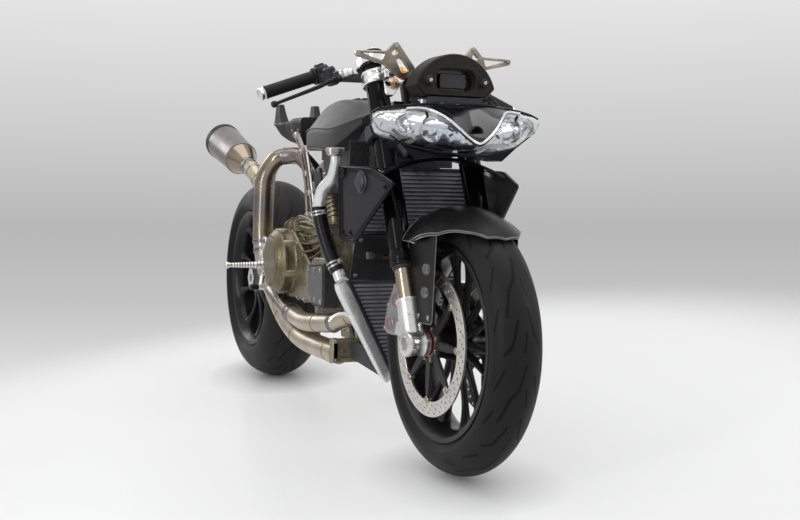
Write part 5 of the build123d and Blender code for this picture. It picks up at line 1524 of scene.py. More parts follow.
# ------------------------------------------------------------------ handlebars
@dataclass(frozen=True)
class Controls:
    """Clip-on bars, ribbed grips with bright ends, switch pods, levers with ball ends and their perches."""

    at: float = 640.0
    height: float = 34.0

    def middle(self) -> np.ndarray:
        """The point on the legs' plane at the clip-ons' height."""
        return FORK.at((0.0, 0.0, self.at + self.height / 2))

    def build(self) -> None:
        """Makes the bars, the grips and the levers in place of their CAD nodes."""
        bars = Shell("clip_on_bars", Body.STEERING, (Paint.BLACK_SATIN, Paint.STEEL, Paint.POLISHED, Paint.GRIP))
        grips = Shell("ribbed_grips", Body.STEERING, (Paint.GRIP, Paint.ALLOY), crease=40.0)
        levers = Shell("hand_levers", Body.STEERING, (Paint.BLACK_SATIN, Paint.STEEL, Paint.ALLOY), crease=35.0)
        middle = self.middle()
        for side in (-1, 1):
            self.side(bars, grips, levers, lambda *p, s=side: middle + side_of(p, s), side)
        bars.build("clip_ons")
        grips.build("grips")
        levers.build("levers")

    def side(self, bars: Shell, grips: Shell, levers: Shell, point: Callable[..., np.ndarray], side: float) -> None:
        """Adds one side's controls.

        Args:
            bars: The shell of the bars.
            grips: The shell of the grips.
            levers: The shell of the levers.
            point: Turns a place on the left half into one of this side.
            side: 1 for the left, -1 for the right.
        """
        leg = FORK.moved(side * 110.0, 0.0, self.at)
        bars.turned([(0, 27.2), (0, 33), (2, 35), (7, 36), (10, 34.5), (24, 34.5), (27, 36), (32, 35.5), (34, 33),
                     (34, 27.2)], leg, 2, 44)
        gusset = [(side * x, z) for x, z in ((104, 604), (104, 694), (30, 694), (24, 676), (52, 644), (84, 604))]
        plane = FORK.moved(y=-23.0).forwards()
        holes = (round_loop(12.0, (side * 82, 664), 28), round_loop(7.0, (side * 94, 634), 20),
                 round_loop(6.0, (side * 52, 676), 20))
        bars.plate(rounded(gusset, 8, 5), plane, 10.0, 2, holes, 2.0)
        for x, z, lip in ((82, 664, [(4, 13.5), (6.5, 13), (6.5, 11.4), (4, 11.0)]),
                          (94, 634, [(4, 8.5), (6, 8), (6, 6.6), (4, 6.4)])):
            bars.turned(lip, plane.moved(side * x, z), 2, 28, closed=True)
        for lift in (9.0, 25.0):
            ear = leg.moved(0.0, -33.0, lift).forwards()
            bars.block((24.0, 13.0, 14.0), ear, 2, 2.5)
            bars.bolt(ear.moved(-7.0, 0.0, 7.0), 4.2, 4.5, 1)
        root, inner, outer = point(132, 20, 4), point(215, 132, 10), point(350, 134, -42)
        bars.sweep(np.array([point(118, 4, 3), root, inner]), 11.0, 0, 24)
        bars.sweep(np.array([inner, outer]), 11.0, 0, 24)
        along = (outer - inner) / np.linalg.norm(outer - inner)
        bars.sweep(smooth_route([root + (inner - root) * 0.85, inner, inner + along * 20], 8), 13.0, 0, 24)
        tube = axes_along(inner, outer)
        run = float(np.linalg.norm(outer - inner))
        ribs = [(8 + k * 3.0, 16.0 if k % 2 else 15.2) for k in range(int((run - 18) / 3))]
        grips.turned([(0, 12), (0, 19.5), (2, 21), (5, 21), (7, 17), *ribs, (run - 8, 16), (run - 6, 14)], tube, 0, 36)
        grips.turned([(run - 8, 11), (run - 7, 14), (run - 5, 15.5), (run - 3, 13), (run, 15.5), (run + 6, 15.5),
                      (run + 8, 13), (run + 9, 0)], tube, 1, 36)
        self.pod(bars, tube, side)
        bend = smooth_route([point(*p) for p in ((186, 60, 6), (204, 46, -2), (232, 44, -19), (270, 62, -38),
                                                        (304, 86, -55), (328, 102, -67))], 8)
        size = np.interp(np.arange(len(bend)), (0, 8, 30, len(bend) - 1), (8.5, 7.0, 5.6, 5.0))
        levers.sweep(bend, size, 0, 16, 0.8)
        tip = axes_along(bend[-3], bend[-1])
        levers.turned([(0, 4), (3, 6.5), (7, 8.2), (11, 8.2), (15, 6.5), (17.5, 0)], tip, 0, 24)
        perch = replace(tube, origin=tuple(point(196, 78, 8)))
        levers.block((30.0, 46.0, 26.0), perch, 0, 4.0)
        levers.bolt(replace(FORK, origin=tuple(point(188, 58, 16))), 6.5, 4.0, 1)
        levers.turned([(-9, 11), (-9, 12), (9, 12), (9, 0)], replace(FORK, origin=tuple(point(187, 58, 5))), 0, 24)
        cylinder = axes_along(point(190, 66, 10), point(150, 34, 22))
        levers.turned([(0, 8), (0, 11), (34, 11), (36, 9), (46, 9), (48, 0)], cylinder, 2 if side < 0 else 0, 24)
        levers.turned([(18, 11), (19, 13), (24, 13), (25, 11)], cylinder, 1, 24)

    def pod(self, bars: Shell, tube: Axes, side: float) -> None:
        """Adds a switch pod: a clamped housing with a rocker, two buttons and a cable.

        Args:
            bars: What to add to.
            tube: Axes along the grip from its inner end.
            side: 1 for the left, -1 for the right.
        """
        squared = 1.0 + 0.16 * np.abs(np.sin(2 * turns(32))) ** 2
        bars.turned([(-34, 13), (-34, 19), (-32, 21), (-20, 22.5), (-8, 22.5), (-4, 21), (-2, 18), (-2, 12)], tube, 0,
                    32, lobes=squared)
        for spot, size in (((-26.0, 6.0), (10.0, 12.0)), ((-12.0, -6.0), (12.0, 9.0)), ((-12.0, 9.0), (8.0, 8.0))):
            face = Axes(tuple(tube.at((side * spot[1], 22.0, spot[0]))), tube.x, tube.z, tube.y)
            bars.block((size[0], size[1], 8.0), face, 3, 2.0)
        for spin in (0.6, 3.7):
            out = np.array(tube.x) * cos(spin) + np.array(tube.y) * sin(spin)
            seat = tube.at((0.0, 0.0, -27.0)) + out * 19.0
            bars.bolt(axes_along(seat, seat + out * 10), 3.4, 3.0, 1)


# ------------------------------------------------------------------ headlight and cockpit
@dataclass(frozen=True)
class Headlight:
    """A wide clear lamp: reflectors behind a lens, and a smoked nose above a V-shaped line."""

    rows: tuple = (
        # x, then (y, z) of the top, the nose and the bottom
        (207.0, 8.0, 68.0, -2.0, 55.0, 20.0, 40.0), (184.0, 10.0, 78.0, -28.0, 52.0, 33.0, 17.0),
        (130.0, -12.0, 85.0, -75.0, 42.0, -19.0, -1.0), (60.0, -16.0, 92.0, -95.0, 37.0, -50.0, -15.0),
        (0.0, -5.0, 92.0, -103.0, 24.0, -79.0, -20.0),
    )
    half: float = 207.0
    wall: float = 2.5
    valley: float = 4.0
    valley_half: float = 118.0

    def edges(self) -> np.ndarray:
        """The rows carried on smoothly across the lamp, left to right.

        Returns:
            Shape (n, 7).
        """
        mirrored = [(-row[0], *row[1:]) for row in self.rows[-2::-1]]
        return smooth_route([*self.rows, *mirrored], 12)

    def surface(self, low: "float | np.ndarray", high: "float | np.ndarray", steps: int,
                inset: float = 0.0) -> np.ndarray:
        """The lamp's front between two fractions of its height.

        Each section is the parabola from top to bottom that passes the nose halfway.

        Args:
            low: The fraction at which each section starts, 0 at the top.
            high: The fraction at which it ends, 1 at the bottom.
            steps: How many points along it.
            inset: How far the surface is drawn in, towards the rear and the middle of its height.

        Returns:
            Points of shape (n, steps, 3), from the lamp's datum.
        """
        rows = self.edges()
        x = rows[:, 0]
        top, nose, bottom = rows[:, 1:3], rows[:, 3:5], rows[:, 5:7]
        knot = 2 * nose - (top + bottom) / 2
        part = (np.asarray(low) + np.zeros(len(x)))[:, None]
        part = part + (np.asarray(high) - part[:, 0])[:, None] * np.linspace(0, 1, steps)
        w = part[..., None]
        section = (1 - w) ** 2 * top[:, None] + 2 * w * (1 - w) * knot[:, None] + w**2 * bottom[:, None]
        middle = ((top + bottom) / 2)[:, None]
        section = section + (middle - section) * inset / 60.0 * (0.0, 1.0) + (inset, 0.0)
        wide = x[:, None, None] * (1 - inset / self.half) + np.zeros_like(section[..., :1])
        return np.concatenate([wide, section], 2)

    def valley_fractions(self) -> np.ndarray:
        """Where the V line crosses each section: a cosine dip from the top edge to the nose's foot.

        Returns:
            The fraction of each section.
        """
        rows = self.edges()
        near = np.clip(np.abs(rows[:, 0]) / self.valley_half, 0, 1)
        height = self.valley + (rows[:, 2] - 6.0 - self.valley) * (0.5 - 0.5 * np.cos(pi * near)) ** 0.8
        fine = np.linspace(0, 1, 81)
        surface = self.surface(0.0, 1.0, 81)[..., 2]
        return fine[np.argmax(surface < height[:, None], axis=1)]

    def lens(self) -> None:
        """Makes the clear lens as a thin wall, and the smoked nose."""
        shell = Shell("headlight_lens", Body.FRAME, (Paint.LENS,), crease=50.0)
        valley = self.valley_fractions()
        outer, inner = self.surface(valley, 1.0, 22), self.surface(valley, 1.0, 22, self.wall)
        shell.tube(LAMP.at(np.concatenate([outer, inner[:, ::-1]], 1)))
        shell.build()
        nose = Shell("headlight_nose", Body.FRAME, (Paint.SMOKED,), crease=50.0)
        rows = self.edges()
        keep = np.abs(rows[:, 0]) < self.valley_half
        outer = self.surface(0.02, valley, 16)[keep]
        dip = np.sin(np.linspace(0, pi, 16))[None, :] * (1 - (rows[keep, 0] / self.valley_half) ** 2)[:, None] * 9.0
        outer = outer + np.stack([np.zeros_like(dip), dip, np.zeros_like(dip)], 2)
        nose.tube(LAMP.at(np.concatenate([outer, (outer + (0.0, 3.0, 0.0))[:, ::-1]], 1)))
        nose.build()

    def reflectors(self) -> None:
        """Makes the bright inside: a rippled wall and bowls with bulbs, in place of the CAD lamp."""
        shell = Shell("headlight_inside", Body.FRAME, (Paint.MIRROR, Paint.BLACK_GLOSS, Paint.BRIGHT), crease=35.0)
        rows = self.edges()
        wall = self.surface(0.0, 1.0, 26, 9.0)
        u, w = np.meshgrid(rows[:, 0], np.linspace(0, 1, 26), indexing="ij")
        ripple = 3.5 * np.sin(u * 0.16 + 5.0 * w) * np.sin(7.0 * w) + 2.5 * np.sin(u * 0.41 - 3.0 * w)
        wall[..., 1] += np.abs(ripple)
        back = np.stack([wall[:, [-1, 0], 0], np.full((len(rows), 2), 0.0), wall[:, [-1, 0], 2]], 2)
        back[..., 1] = np.interp(np.abs(rows[:, 0]), (0, 130, 184, self.half), (66, 66, 58, 30))[:, None]
        shell.tube(LAMP.at(np.concatenate([wall, back], 1)))
        for x, z, radius, depth in ((-150, 44, 17, -40), (-96, 32, 24, -62), (96, 32, 24, -62), (150, 44, 17, -40)):
            seat = Axes(tuple(LAMP.at((x, depth, z))), **AHEAD)
            shell.turned([(-22, 0), (-22, 5), (-17, radius * 0.55), (-8, radius * 0.85), (4, radius), (6, radius),
                          (6, radius + 3), (-4, radius + 3)], seat, 0, 36)
            shell.turned([(-22, 0), (-22, 6), (-8, 7), (-2, 5), (0, 0)], seat, 2, 20)
        shell.build("headlight")

    def trim(self) -> None:
        """Makes the dark surround, the pale V line and the dividers."""
        shell = Shell("headlight_trim", Body.FRAME, (Paint.BLACK_GLOSS, Paint.BRIGHT, Paint.BLACK_SATIN), crease=35.0)
        valley = self.valley_fractions()
        for fraction, radius in ((0.0, 3.6), (1.0, 2.6)):
            line = self.surface(fraction, fraction, 2)[:, 0]
            shell.sweep(LAMP.at(line), radius, 0, 8)
        rows = self.edges()
        keep = np.abs(rows[:, 0]) < self.valley_half + 25
        line = self.surface(valley, valley, 2)[keep, 0]
        shell.sweep(LAMP.at(line + (0.0, -1.0, 0.0)), 3.0, 1, 8)
        shell.sweep(LAMP.at(line + (0.0, 0.5, -4.5)), 2.6, 0, 8)
        for side in (-1, 1):
            fine = smooth_route([(112, -84, 70), (108, -83, 58), (116, -80, 46), (104, -81, 34), (112, -73, 20),
                                 (124, -52, 8)], 8)
            shell.sweep(LAMP.at(side_of(fine + (0, 14, 0), side)), 3.2, 0, 8)
            fine = smooth_route([(66, -92, 52), (58, -97, 44), (64, -98, 36), (52, -98, 28), (60, -94, 18)], 8)
            shell.sweep(LAMP.at(side_of(fine + (0, 13, 0), side)), 2.6, 0, 8)
        seat = Axes(tuple(LAMP.at((0.0, -90.0, 27.0))), **AHEAD)
        shell.turned([(-14, 0), (-14, 8), (-2, 11), (4, 13), (6, 15), (4, 17), (-6, 17)], seat, 2, 28)
        shell.build()

    def build(self) -> None:
        """Makes every piece of the lamp."""
        self.reflectors()
        self.lens()
        self.trim()


@dataclass(frozen=True)
class Cockpit:
    """The ribbed dash with its dark opening, and the truss stays."""

    half: float = 100.0
    depth: float = 60.0
    face: float = 19.0
    crown: float = 209.0
    sag: float = 75.0

    def dome(self, x: np.ndarray) -> np.ndarray:
        """The dash's upper edge: the circle through the crown and both sides, which lie lower by the sag.

        Args:
            x: Distances from the middle.

        Returns:
            Heights over the lamp's datum.
        """
        radius = (self.half**2 + self.sag**2) / (2 * self.sag)
        return self.crown - radius + np.sqrt(radius**2 - x**2)

    def dash(self) -> None:
        """Makes the dash: a ribbed hood round a deep opening, a screen and two knobs."""
        shell = Shell("dash_hood", Body.FRAME, (Paint.DASH, Paint.SCREEN, Paint.BLACK_SATIN, Paint.STAY))
        x = self.half * np.sin(np.linspace(-pi / 2, pi / 2, 61))
        arc = np.stack([x, self.dome(x)], 1)
        rim = even_line(np.concatenate([arc, [(80, 111), (-80, 111), (-100, 134)]]), 141)[:-1]
        hole = rounded([(-44, 126), (44, 126), (54, 150), (40, 174), (-40, 174), (-54, 150)], 14, 7)
        axes = Axes(tuple(LAMP.at((0.0, self.face + 2.0, 0.0))), **AHEAD)
        shell.plate(rim * (0.95, 0.95) + (0.0, 7.6), axes, 4.0, 0, (hole,), 1.5)
        steps = np.linspace(0, 1, 16)[:, None, None]
        rib = 1.0 - 0.016 * (0.5 + 0.5 * np.cos(steps * 2 * pi * 7.5))
        centre = np.array([0.0, 150.0])
        ring = centre + (rim[None] - centre) * rib
        local = np.concatenate([ring[..., :1], self.face + self.depth * steps + 0 * ring[..., :1], ring[..., 1:]], 2)
        local[0, :, [0, 2]] = (centre + (rim - centre) * 0.95).T
        shell.grid(LAMP.at(local), 0, False, True, (60.0, 620.0))
        shell.cap(LAMP.at(local[-1]), 2)
        well = np.tile(hole, (2, 1, 1))
        inner = np.concatenate([well[..., :1],
                                self.face + 1.0 + np.array([0.0, 26.0])[:, None, None] + 0 * well[..., :1],
                                well[..., 1:]], 2)
        shell.grid(LAMP.at(inner), 2, False, True)
        shell.cap(LAMP.at(inner[1]), 1)
        screen = axes.moved(0.0, 148.0, -18.0)
        shell.block((66.0, 34.0, 5.0), screen, 1, 1.5)
        for knob in (-68, 68):
            seat = axes.moved(knob, 146.0, 2.0)
            shell.turned([(-2, 12), (0, 13), (4, 11), (9, 10), (11, 8), (11, 0)], seat, 2, 28)
            shell.turned([(9, 5), (13, 4), (14, 0)], seat, 3, 20)
        shell.build("dash")
        low = Shell("dash_connectors", Body.FRAME, (Paint.BLACK_SATIN, Paint.BRIGHT, Paint.AMBER))
        for k, (x, wide, slot) in enumerate(((-70, 16, 1), (-52, 18, 0), (-12, 14, 0), (6, 12, 1), (44, 20, 0))):
            low.block((wide, 22.0, 15.0), LAMP.moved(x, 46.0 - 4 * (k % 2), 98.0 + 2 * (k % 3)), slot, 2.0)
        for side in (-1, 1):
            route = smooth_route([(18, 48, 96), (44, 40, 101), (72, 44, 96), (98, 56, 104)], 8)
            low.sweep(LAMP.at(side_of(route, side)), 3.2, 0, 8)
        low.build()

    def stays(self) -> None:
        """Makes the truss stays: plates with long openings, in place of the CAD stays."""
        shell = Shell("cockpit_trusses", Body.FRAME, (Paint.STAY, Paint.STEEL))
        for side in (-1, 1):
            axes = Axes(tuple(LAMP.at((0.0, 141.0, 0.0))), (side, 0, 0), (0, 0, 1), (0, -side, 0))
            arm = rounded([(50, 182), (96, 241), (104, 240), (124, 218), (201, 216), (200, 203), (132, 187), (90, 157),
                           (50, 157)], 5, 4)
            holes = (rounded([(128, 212), (188, 211), (134, 195)], 4, 3),
                     rounded([(66, 176), (88, 204), (100, 200), (84, 168)], 5, 3),
                     rounded([(96, 212), (100, 226), (112, 214), (108, 208)], 4, 3))
            shell.plate(arm, axes, 9.0, 0, holes, 1.2)
            for spot in ((194, 209), (60, 166), (100, 233)):
                shell.bolt(axes.moved(*spot, 4.5 * side), 4.0, 3.5, 1)
        bridge = LAMP.moved(0.0, 114.0, 167.0)
        holes = tuple(rounded([(x - 14, -22), (x + 14, -22), (x + 14, 22), (x - 14, 22)], 6, 4) for x in (-38, 0, 38))
        shell.plate(rounded([(-60, -34), (60, -34), (60, 34), (-60, 34)], 8, 5), bridge, 16.0, 0, holes, 1.5)
        shell.build("cockpit_stays")

    def build(self) -> None:
        """Makes every piece of the cockpit."""
        self.dash()
        self.stays()


# ------------------------------------------------------------------ radiators and their shroud
@dataclass(frozen=True)
class Radiators:
    """Two louvred cores, the bright blade tank beside the lower one, and their frames."""

    front: float = -445.4
    upper: tuple[float, float, float] = (158.0, 538.0, 698.0)
    lower: tuple[float, float, float, float] = (150.0, 22.0, 165.0, 418.0)
    lower_front: float = -398.4

    def louvres(self, shell: Shell, low: float, high: float, count: int, front: float,
                half_at: Callable[[np.ndarray], np.ndarray]) -> None:
        """Adds louvres: a saw-toothed section, 9 mm deep, carried across the core.

        Args:
            shell: What to add to.
            low: Height of the core's foot.
            high: Height of its top.
            count: How many louvres.
            front: The core's front.
            half_at: Half its width at each height.
        """
        step = (high - low) / count
        tooth = np.array([(0.0, 0.0), (0.0, 0.12), (9.0, 0.82), (9.0, 0.9), (7.6, 0.9), (0.0, 0.98)])
        z = low + (np.arange(count)[:, None] + tooth[None, :, 1]).ravel() * step
        y = front - 2.0 + np.tile(tooth[:, 0], count)
        across = np.linspace(-1, 1, 3)
        half = half_at(z)
        local = np.stack([half[:, None] * across, y[:, None] + 0 * across, z[:, None] + 0 * across], 2)
        shell.grid(local, 0, size=(high - low, 300.0))

    def build(self) -> None:
        """Makes the cores, their rims and the tanks in place of their CAD nodes."""
        shell = Shell("radiator_cores", Body.FRAME, (Paint.LOUVRE, Paint.BLACK_SATIN, Paint.CORE), crease=20.0)
        half, low, high = self.upper
        self.louvres(shell, low + 6, high - 6, 15, self.front, lambda z: 0 * z + half - 6)
        middle = Axes((0.0, self.front + 22.0, (low + high) / 2), **AHEAD)
        shell.block((2 * half - 4, high - low - 4, 34.0), middle, 2, 2.0)
        for z in (low + 3, high - 3):
            shell.block((2 * half, 7.0, 42.0), Axes((0.0, self.front + 19.0, z), **AHEAD), 1)
        for x in (-half + 4, half - 4):
            shell.block((9.0, high - low, 42.0), Axes((x, self.front + 19.0, (low + high) / 2), **AHEAD), 1)
        wide, tip, foot, top = self.lower
        self.louvres(shell, foot + 6, top - 4, 24, self.lower_front,
                     lambda z: tip + (wide - tip) * (z - foot) / (top - foot) - 4)
        core = Axes((0.0, self.lower_front + 16.0, 0.0), **AHEAD)
        shell.plate(np.array([(-wide, top), (-tip, foot), (tip, foot), (wide, top)]), core, 26.0, 2, (), 1.0)
        t = np.linspace(0, 1, 12)[:, None]
        high_edge = (-92.0, -264.0, 240.0) + t * (8.0, -128.0, 22.0)
        low_edge = (-86.0, -264.0, 203.0) + t * (50.0, -128.0, -39.0)
        inward = np.array([3.0, 0.0, 0.0])
        pan = np.stack([high_edge, low_edge, low_edge + inward, high_edge + inward], 1)
        shell.grid(pan, 1, False, True)
        shell.cap(pan[0])
        shell.cap(pan[-1])
        shell.build("radiators")
        tanks = Shell("radiator_tanks", Body.FRAME, (Paint.BRIGHT, Paint.BLACK_SATIN, Paint.STEEL))
        for side in (-1, 1):
            start, end = np.array([side * (wide + 12), top - 3]), np.array([side * (tip + 9), foot - 2])
            t = np.linspace(0, 1, 24)[:, None]
            line = start + (end - start) * t
            route = np.stack([line[:, 0], np.full(24, self.lower_front + 14.0), line[:, 1]], 1)
            section = np.stack(super_ellipse(20, 0.36), 1) * (20.0, 15.0)
            ends = 1.0 - 0.25 * np.abs(2 * t[:, 0] - 1) ** 12
            tanks.sweep(route, ends * np.interp(t[:, 0], (0, 0.5, 1), (1.15, 1.0, 0.7)), 0, section=section,
                        upward=(0.0, 1.0, 0.0))
            inner = route + (side * -13.0, -13.0, 4.0)
            tanks.sweep(inner, np.interp(t[:, 0], (0, 1), (6.5, 4.0)), 1, 10)
        neck = smooth_route(SHROUD.at([(-178, 113, -288), (-172, 99, -308), (-166, 92, -328)]), 8)
        tanks.sweep(neck, 15.5, 0, 20)
        bracket = smooth_route([(-126.0, -386.0, 322.0), (-150.0, -380.0, 334.0), (-172.0, -374.0, 330.0),
                                (-186.0, -368.0, 314.0)], 8)
        tanks.sweep(bracket, np.linspace(8.5, 5.0, len(bracket)), 0, 16, 0.7)
        filler = SHROUD.moved(-204.0, 45.0, -22.0)
        tanks.turned([(-4, 16), (0, 20), (4, 20), (5, 22), (14, 22), (16, 19), (17, 0)], filler, 2, 48,
                     lobes=lobed(48, 0.09, 2))
        route = smooth_route(SHROUD.at([(-204, 45, -20), (-204, 45, -44), (-204, 70, -80), (-205, 130, -110),
                                        (-206, 155, -150)]), 10)
        tanks.sweep(route, np.interp(np.arange(len(route)), (0, 14, 30, len(route) - 1), (11.0, 12.5, 15.5, 16.5)), 0,
                    24)
        branch = smooth_route(SHROUD.at([(-205, 128, -112), (-196, 112, -86), (-186, 92, -70), (-172, 70, -62)]), 8)
        tanks.sweep(branch, np.linspace(13.0, 10.0, len(branch)), 0, 20)
        tanks.build("end_tanks")


@dataclass(frozen=True)
class Shroud:
    """The gloss arch over the radiators, the grey side panels with their rims, and the duct's walls."""

    side: float = 190.0
    toe: float = radians(8.5)
    back: float = 49.0
    arch: tuple[float, float] = (-88.0, -26.0)
    front: float = -140.0
    depth: float = 75.0

    def flank(self, side: float, out: float = 0.0) -> Axes:
        """The plane of a panel, which toes in towards the front.

        Args:
            side: 1 for the left, -1 for the right.
            out: How far outside the plane.

        Returns:
            Axes with x backwards, y up and z outwards.
        """
        x = (side * sin(self.toe), cos(self.toe), 0.0)
        z = (side * cos(self.toe), -sin(self.toe), 0.0)
        origin = SHROUD.at((side * self.side, self.back, 0.0)) + np.array(z) * out
        return Axes(tuple(origin), x, (0.0, 0.0, 1.0), z)

    def half(self, y: np.ndarray) -> np.ndarray:
        """The width between the panels' inner faces, halved.

        Args:
            y: Places along the machine, from the shroud's datum.

        Returns:
            The distances from the middle.
        """
        return self.side - 0.6 + (y - self.back) * np.tan(self.toe)

    def arch_line(self, x: np.ndarray, drop: np.ndarray) -> np.ndarray:
        """The arch's height: the circle through both sides and the middle.

        Args:
            x: Distances from the middle.
            drop: How far below the outer surface.

        Returns:
            Heights from the shroud's datum.
        """
        sag = self.arch[1] - self.arch[0]
        radius = (self.side**2 + sag**2) / (2 * sag)
        return self.arch[1] - drop - radius + np.sqrt(radius**2 - x**2)

    def panels(self) -> None:
        """Makes the side panels: a dished plate inside a double rim, with a plug and a cap."""
        shell = Shell("shroud_panels", Body.FRAME, (Paint.PANEL, Paint.SHROUD, Paint.PLUG, Paint.BLACK_GLOSS),
                      crease=28.0)
        outer = rounded([(0, -50), (-164, -54), (-266, -86), (-84, -228), (-14, -232)], 16, 6)
        centre = np.array([-105.0, -128.0])
        for side in (-1, 1):
            axes = self.flank(side)
            rings = []
            for shrink, out in ((1.0, 0.0), (1.0, 5.0), (0.985, 7.0), (0.955, 7.0), (0.935, 4.4), (0.9, 4.2),
                                (0.88, 5.8), (0.85, 5.8), (0.83, 3.4), (0.5, 4.2)):
                loop = centre + (outer - centre) * shrink
                rings.append(np.c_[loop, np.full(len(loop), out)])
            local = np.array(rings)
            shell.grid(axes.at(local[:9]), 1, False, True)
            shell.grid(axes.at(local[8:]), 0, False, True)
            shell.cap(axes.at(local[-1]), 0)
            shell.cap(axes.at(local[0]), 0)
            plug = axes.moved(-112.0, -86.0, 3.4)
            shell.turned([(-2, 27), (3, 27), (6, 23), (10, 17), (11, 0)], plug, 2, 40)
            shell.turned([(5.8, 24.4), (8.2, 23.2), (7.0, 21.2), (5.0, 22.4)], plug, 3, 40, closed=True)
            cap = axes.moved(-24.0, -66.0, 3.0)
            shell.turned([(-2, 13), (6, 13), (8, 11), (8, 6), (6, 5), (6, 0)], cap, 3, 24)
            for spot in ((-222.0, -96.0), (-66.0, -206.0), (-30.0, -206.0)):
                shell.bolt(axes.moved(*spot, 4.0), 4.6, 3.0, 3)
        shell.build("side_panels")

    def build(self) -> None:
        """Makes the arch, the duct's walls and the pierced panel in place of the CAD duct, then the panels."""
        self.panels()
        shell = Shell("shroud_arch", Body.FRAME, (Paint.SHROUD, Paint.BLACK_SATIN, Paint.STEEL))
        y = self.front + np.array([0.0, -3.0, 0.0, 12.0, 40.0, self.depth, self.depth, 40.0, 12.0, 5.0])
        drop = np.array([7.0, 3.5, 0.0, -2.0, -1.0, 0.0, 4.0, 4.0, 4.0, 7.0])
        x = np.linspace(-1, 1, 61)[:, None] * self.half(y)[None]
        local = np.stack([x, np.broadcast_to(y, x.shape), self.arch_line(x, drop[None])], 2)
        shell.tube(SHROUD.at(local))
        shell.block((280.0, 62.0, 4.0), Axes((0.0, -365.0, 731.0), **AHEAD), 1, 1.0)
        for side in (-1, 1):
            wall = self.flank(side, -2.6).moved(-4.0, -130.0)
            shell.plate(rounded([(-6, -78), (6, -78), (6, 78), (-6, 78)], 3, 3), wall, 4.0, 0)
            sill = self.flank(side, -13.0).moved(-4.0, -130.0)
            face = Axes(sill.origin, sill.z, sill.y, tuple(-np.array(sill.x)))
            holes = tuple(rounded([(-8, z - 20), (8, z - 20), (8, z + 20), (-8, z + 20)], 5, 4) for z in (-48, 4, 52))
            shell.plate(rounded([(-13, -78), (13, -78), (13, 78), (-13, 78)], 3, 3), face, 10.0, 0, holes, 1.2)
        low = Axes((0.0, -417.0, 478.0), (1, 0, 0), (0, 0.3647, -0.9311), (0, -0.9311, -0.3647))
        holes = (round_loop(9, (-60, 0)), round_loop(14, (-104, -4), flatten=0.8), round_loop(9, (60, 0)),
                 round_loop(14, (104, -4), flatten=0.8))
        shell.plate(rounded([(-146, -62), (146, -62), (146, 62), (-146, 62)], 8, 5), low, 5.0, 1, holes, 1.0)
        for x_at in (-132.0, 132.0):
            for up in (-48.0, 48.0):
                shell.bolt(low.moved(x_at, up, 2.5), 4.2, 3.0, 2)
        shell.build("duct")


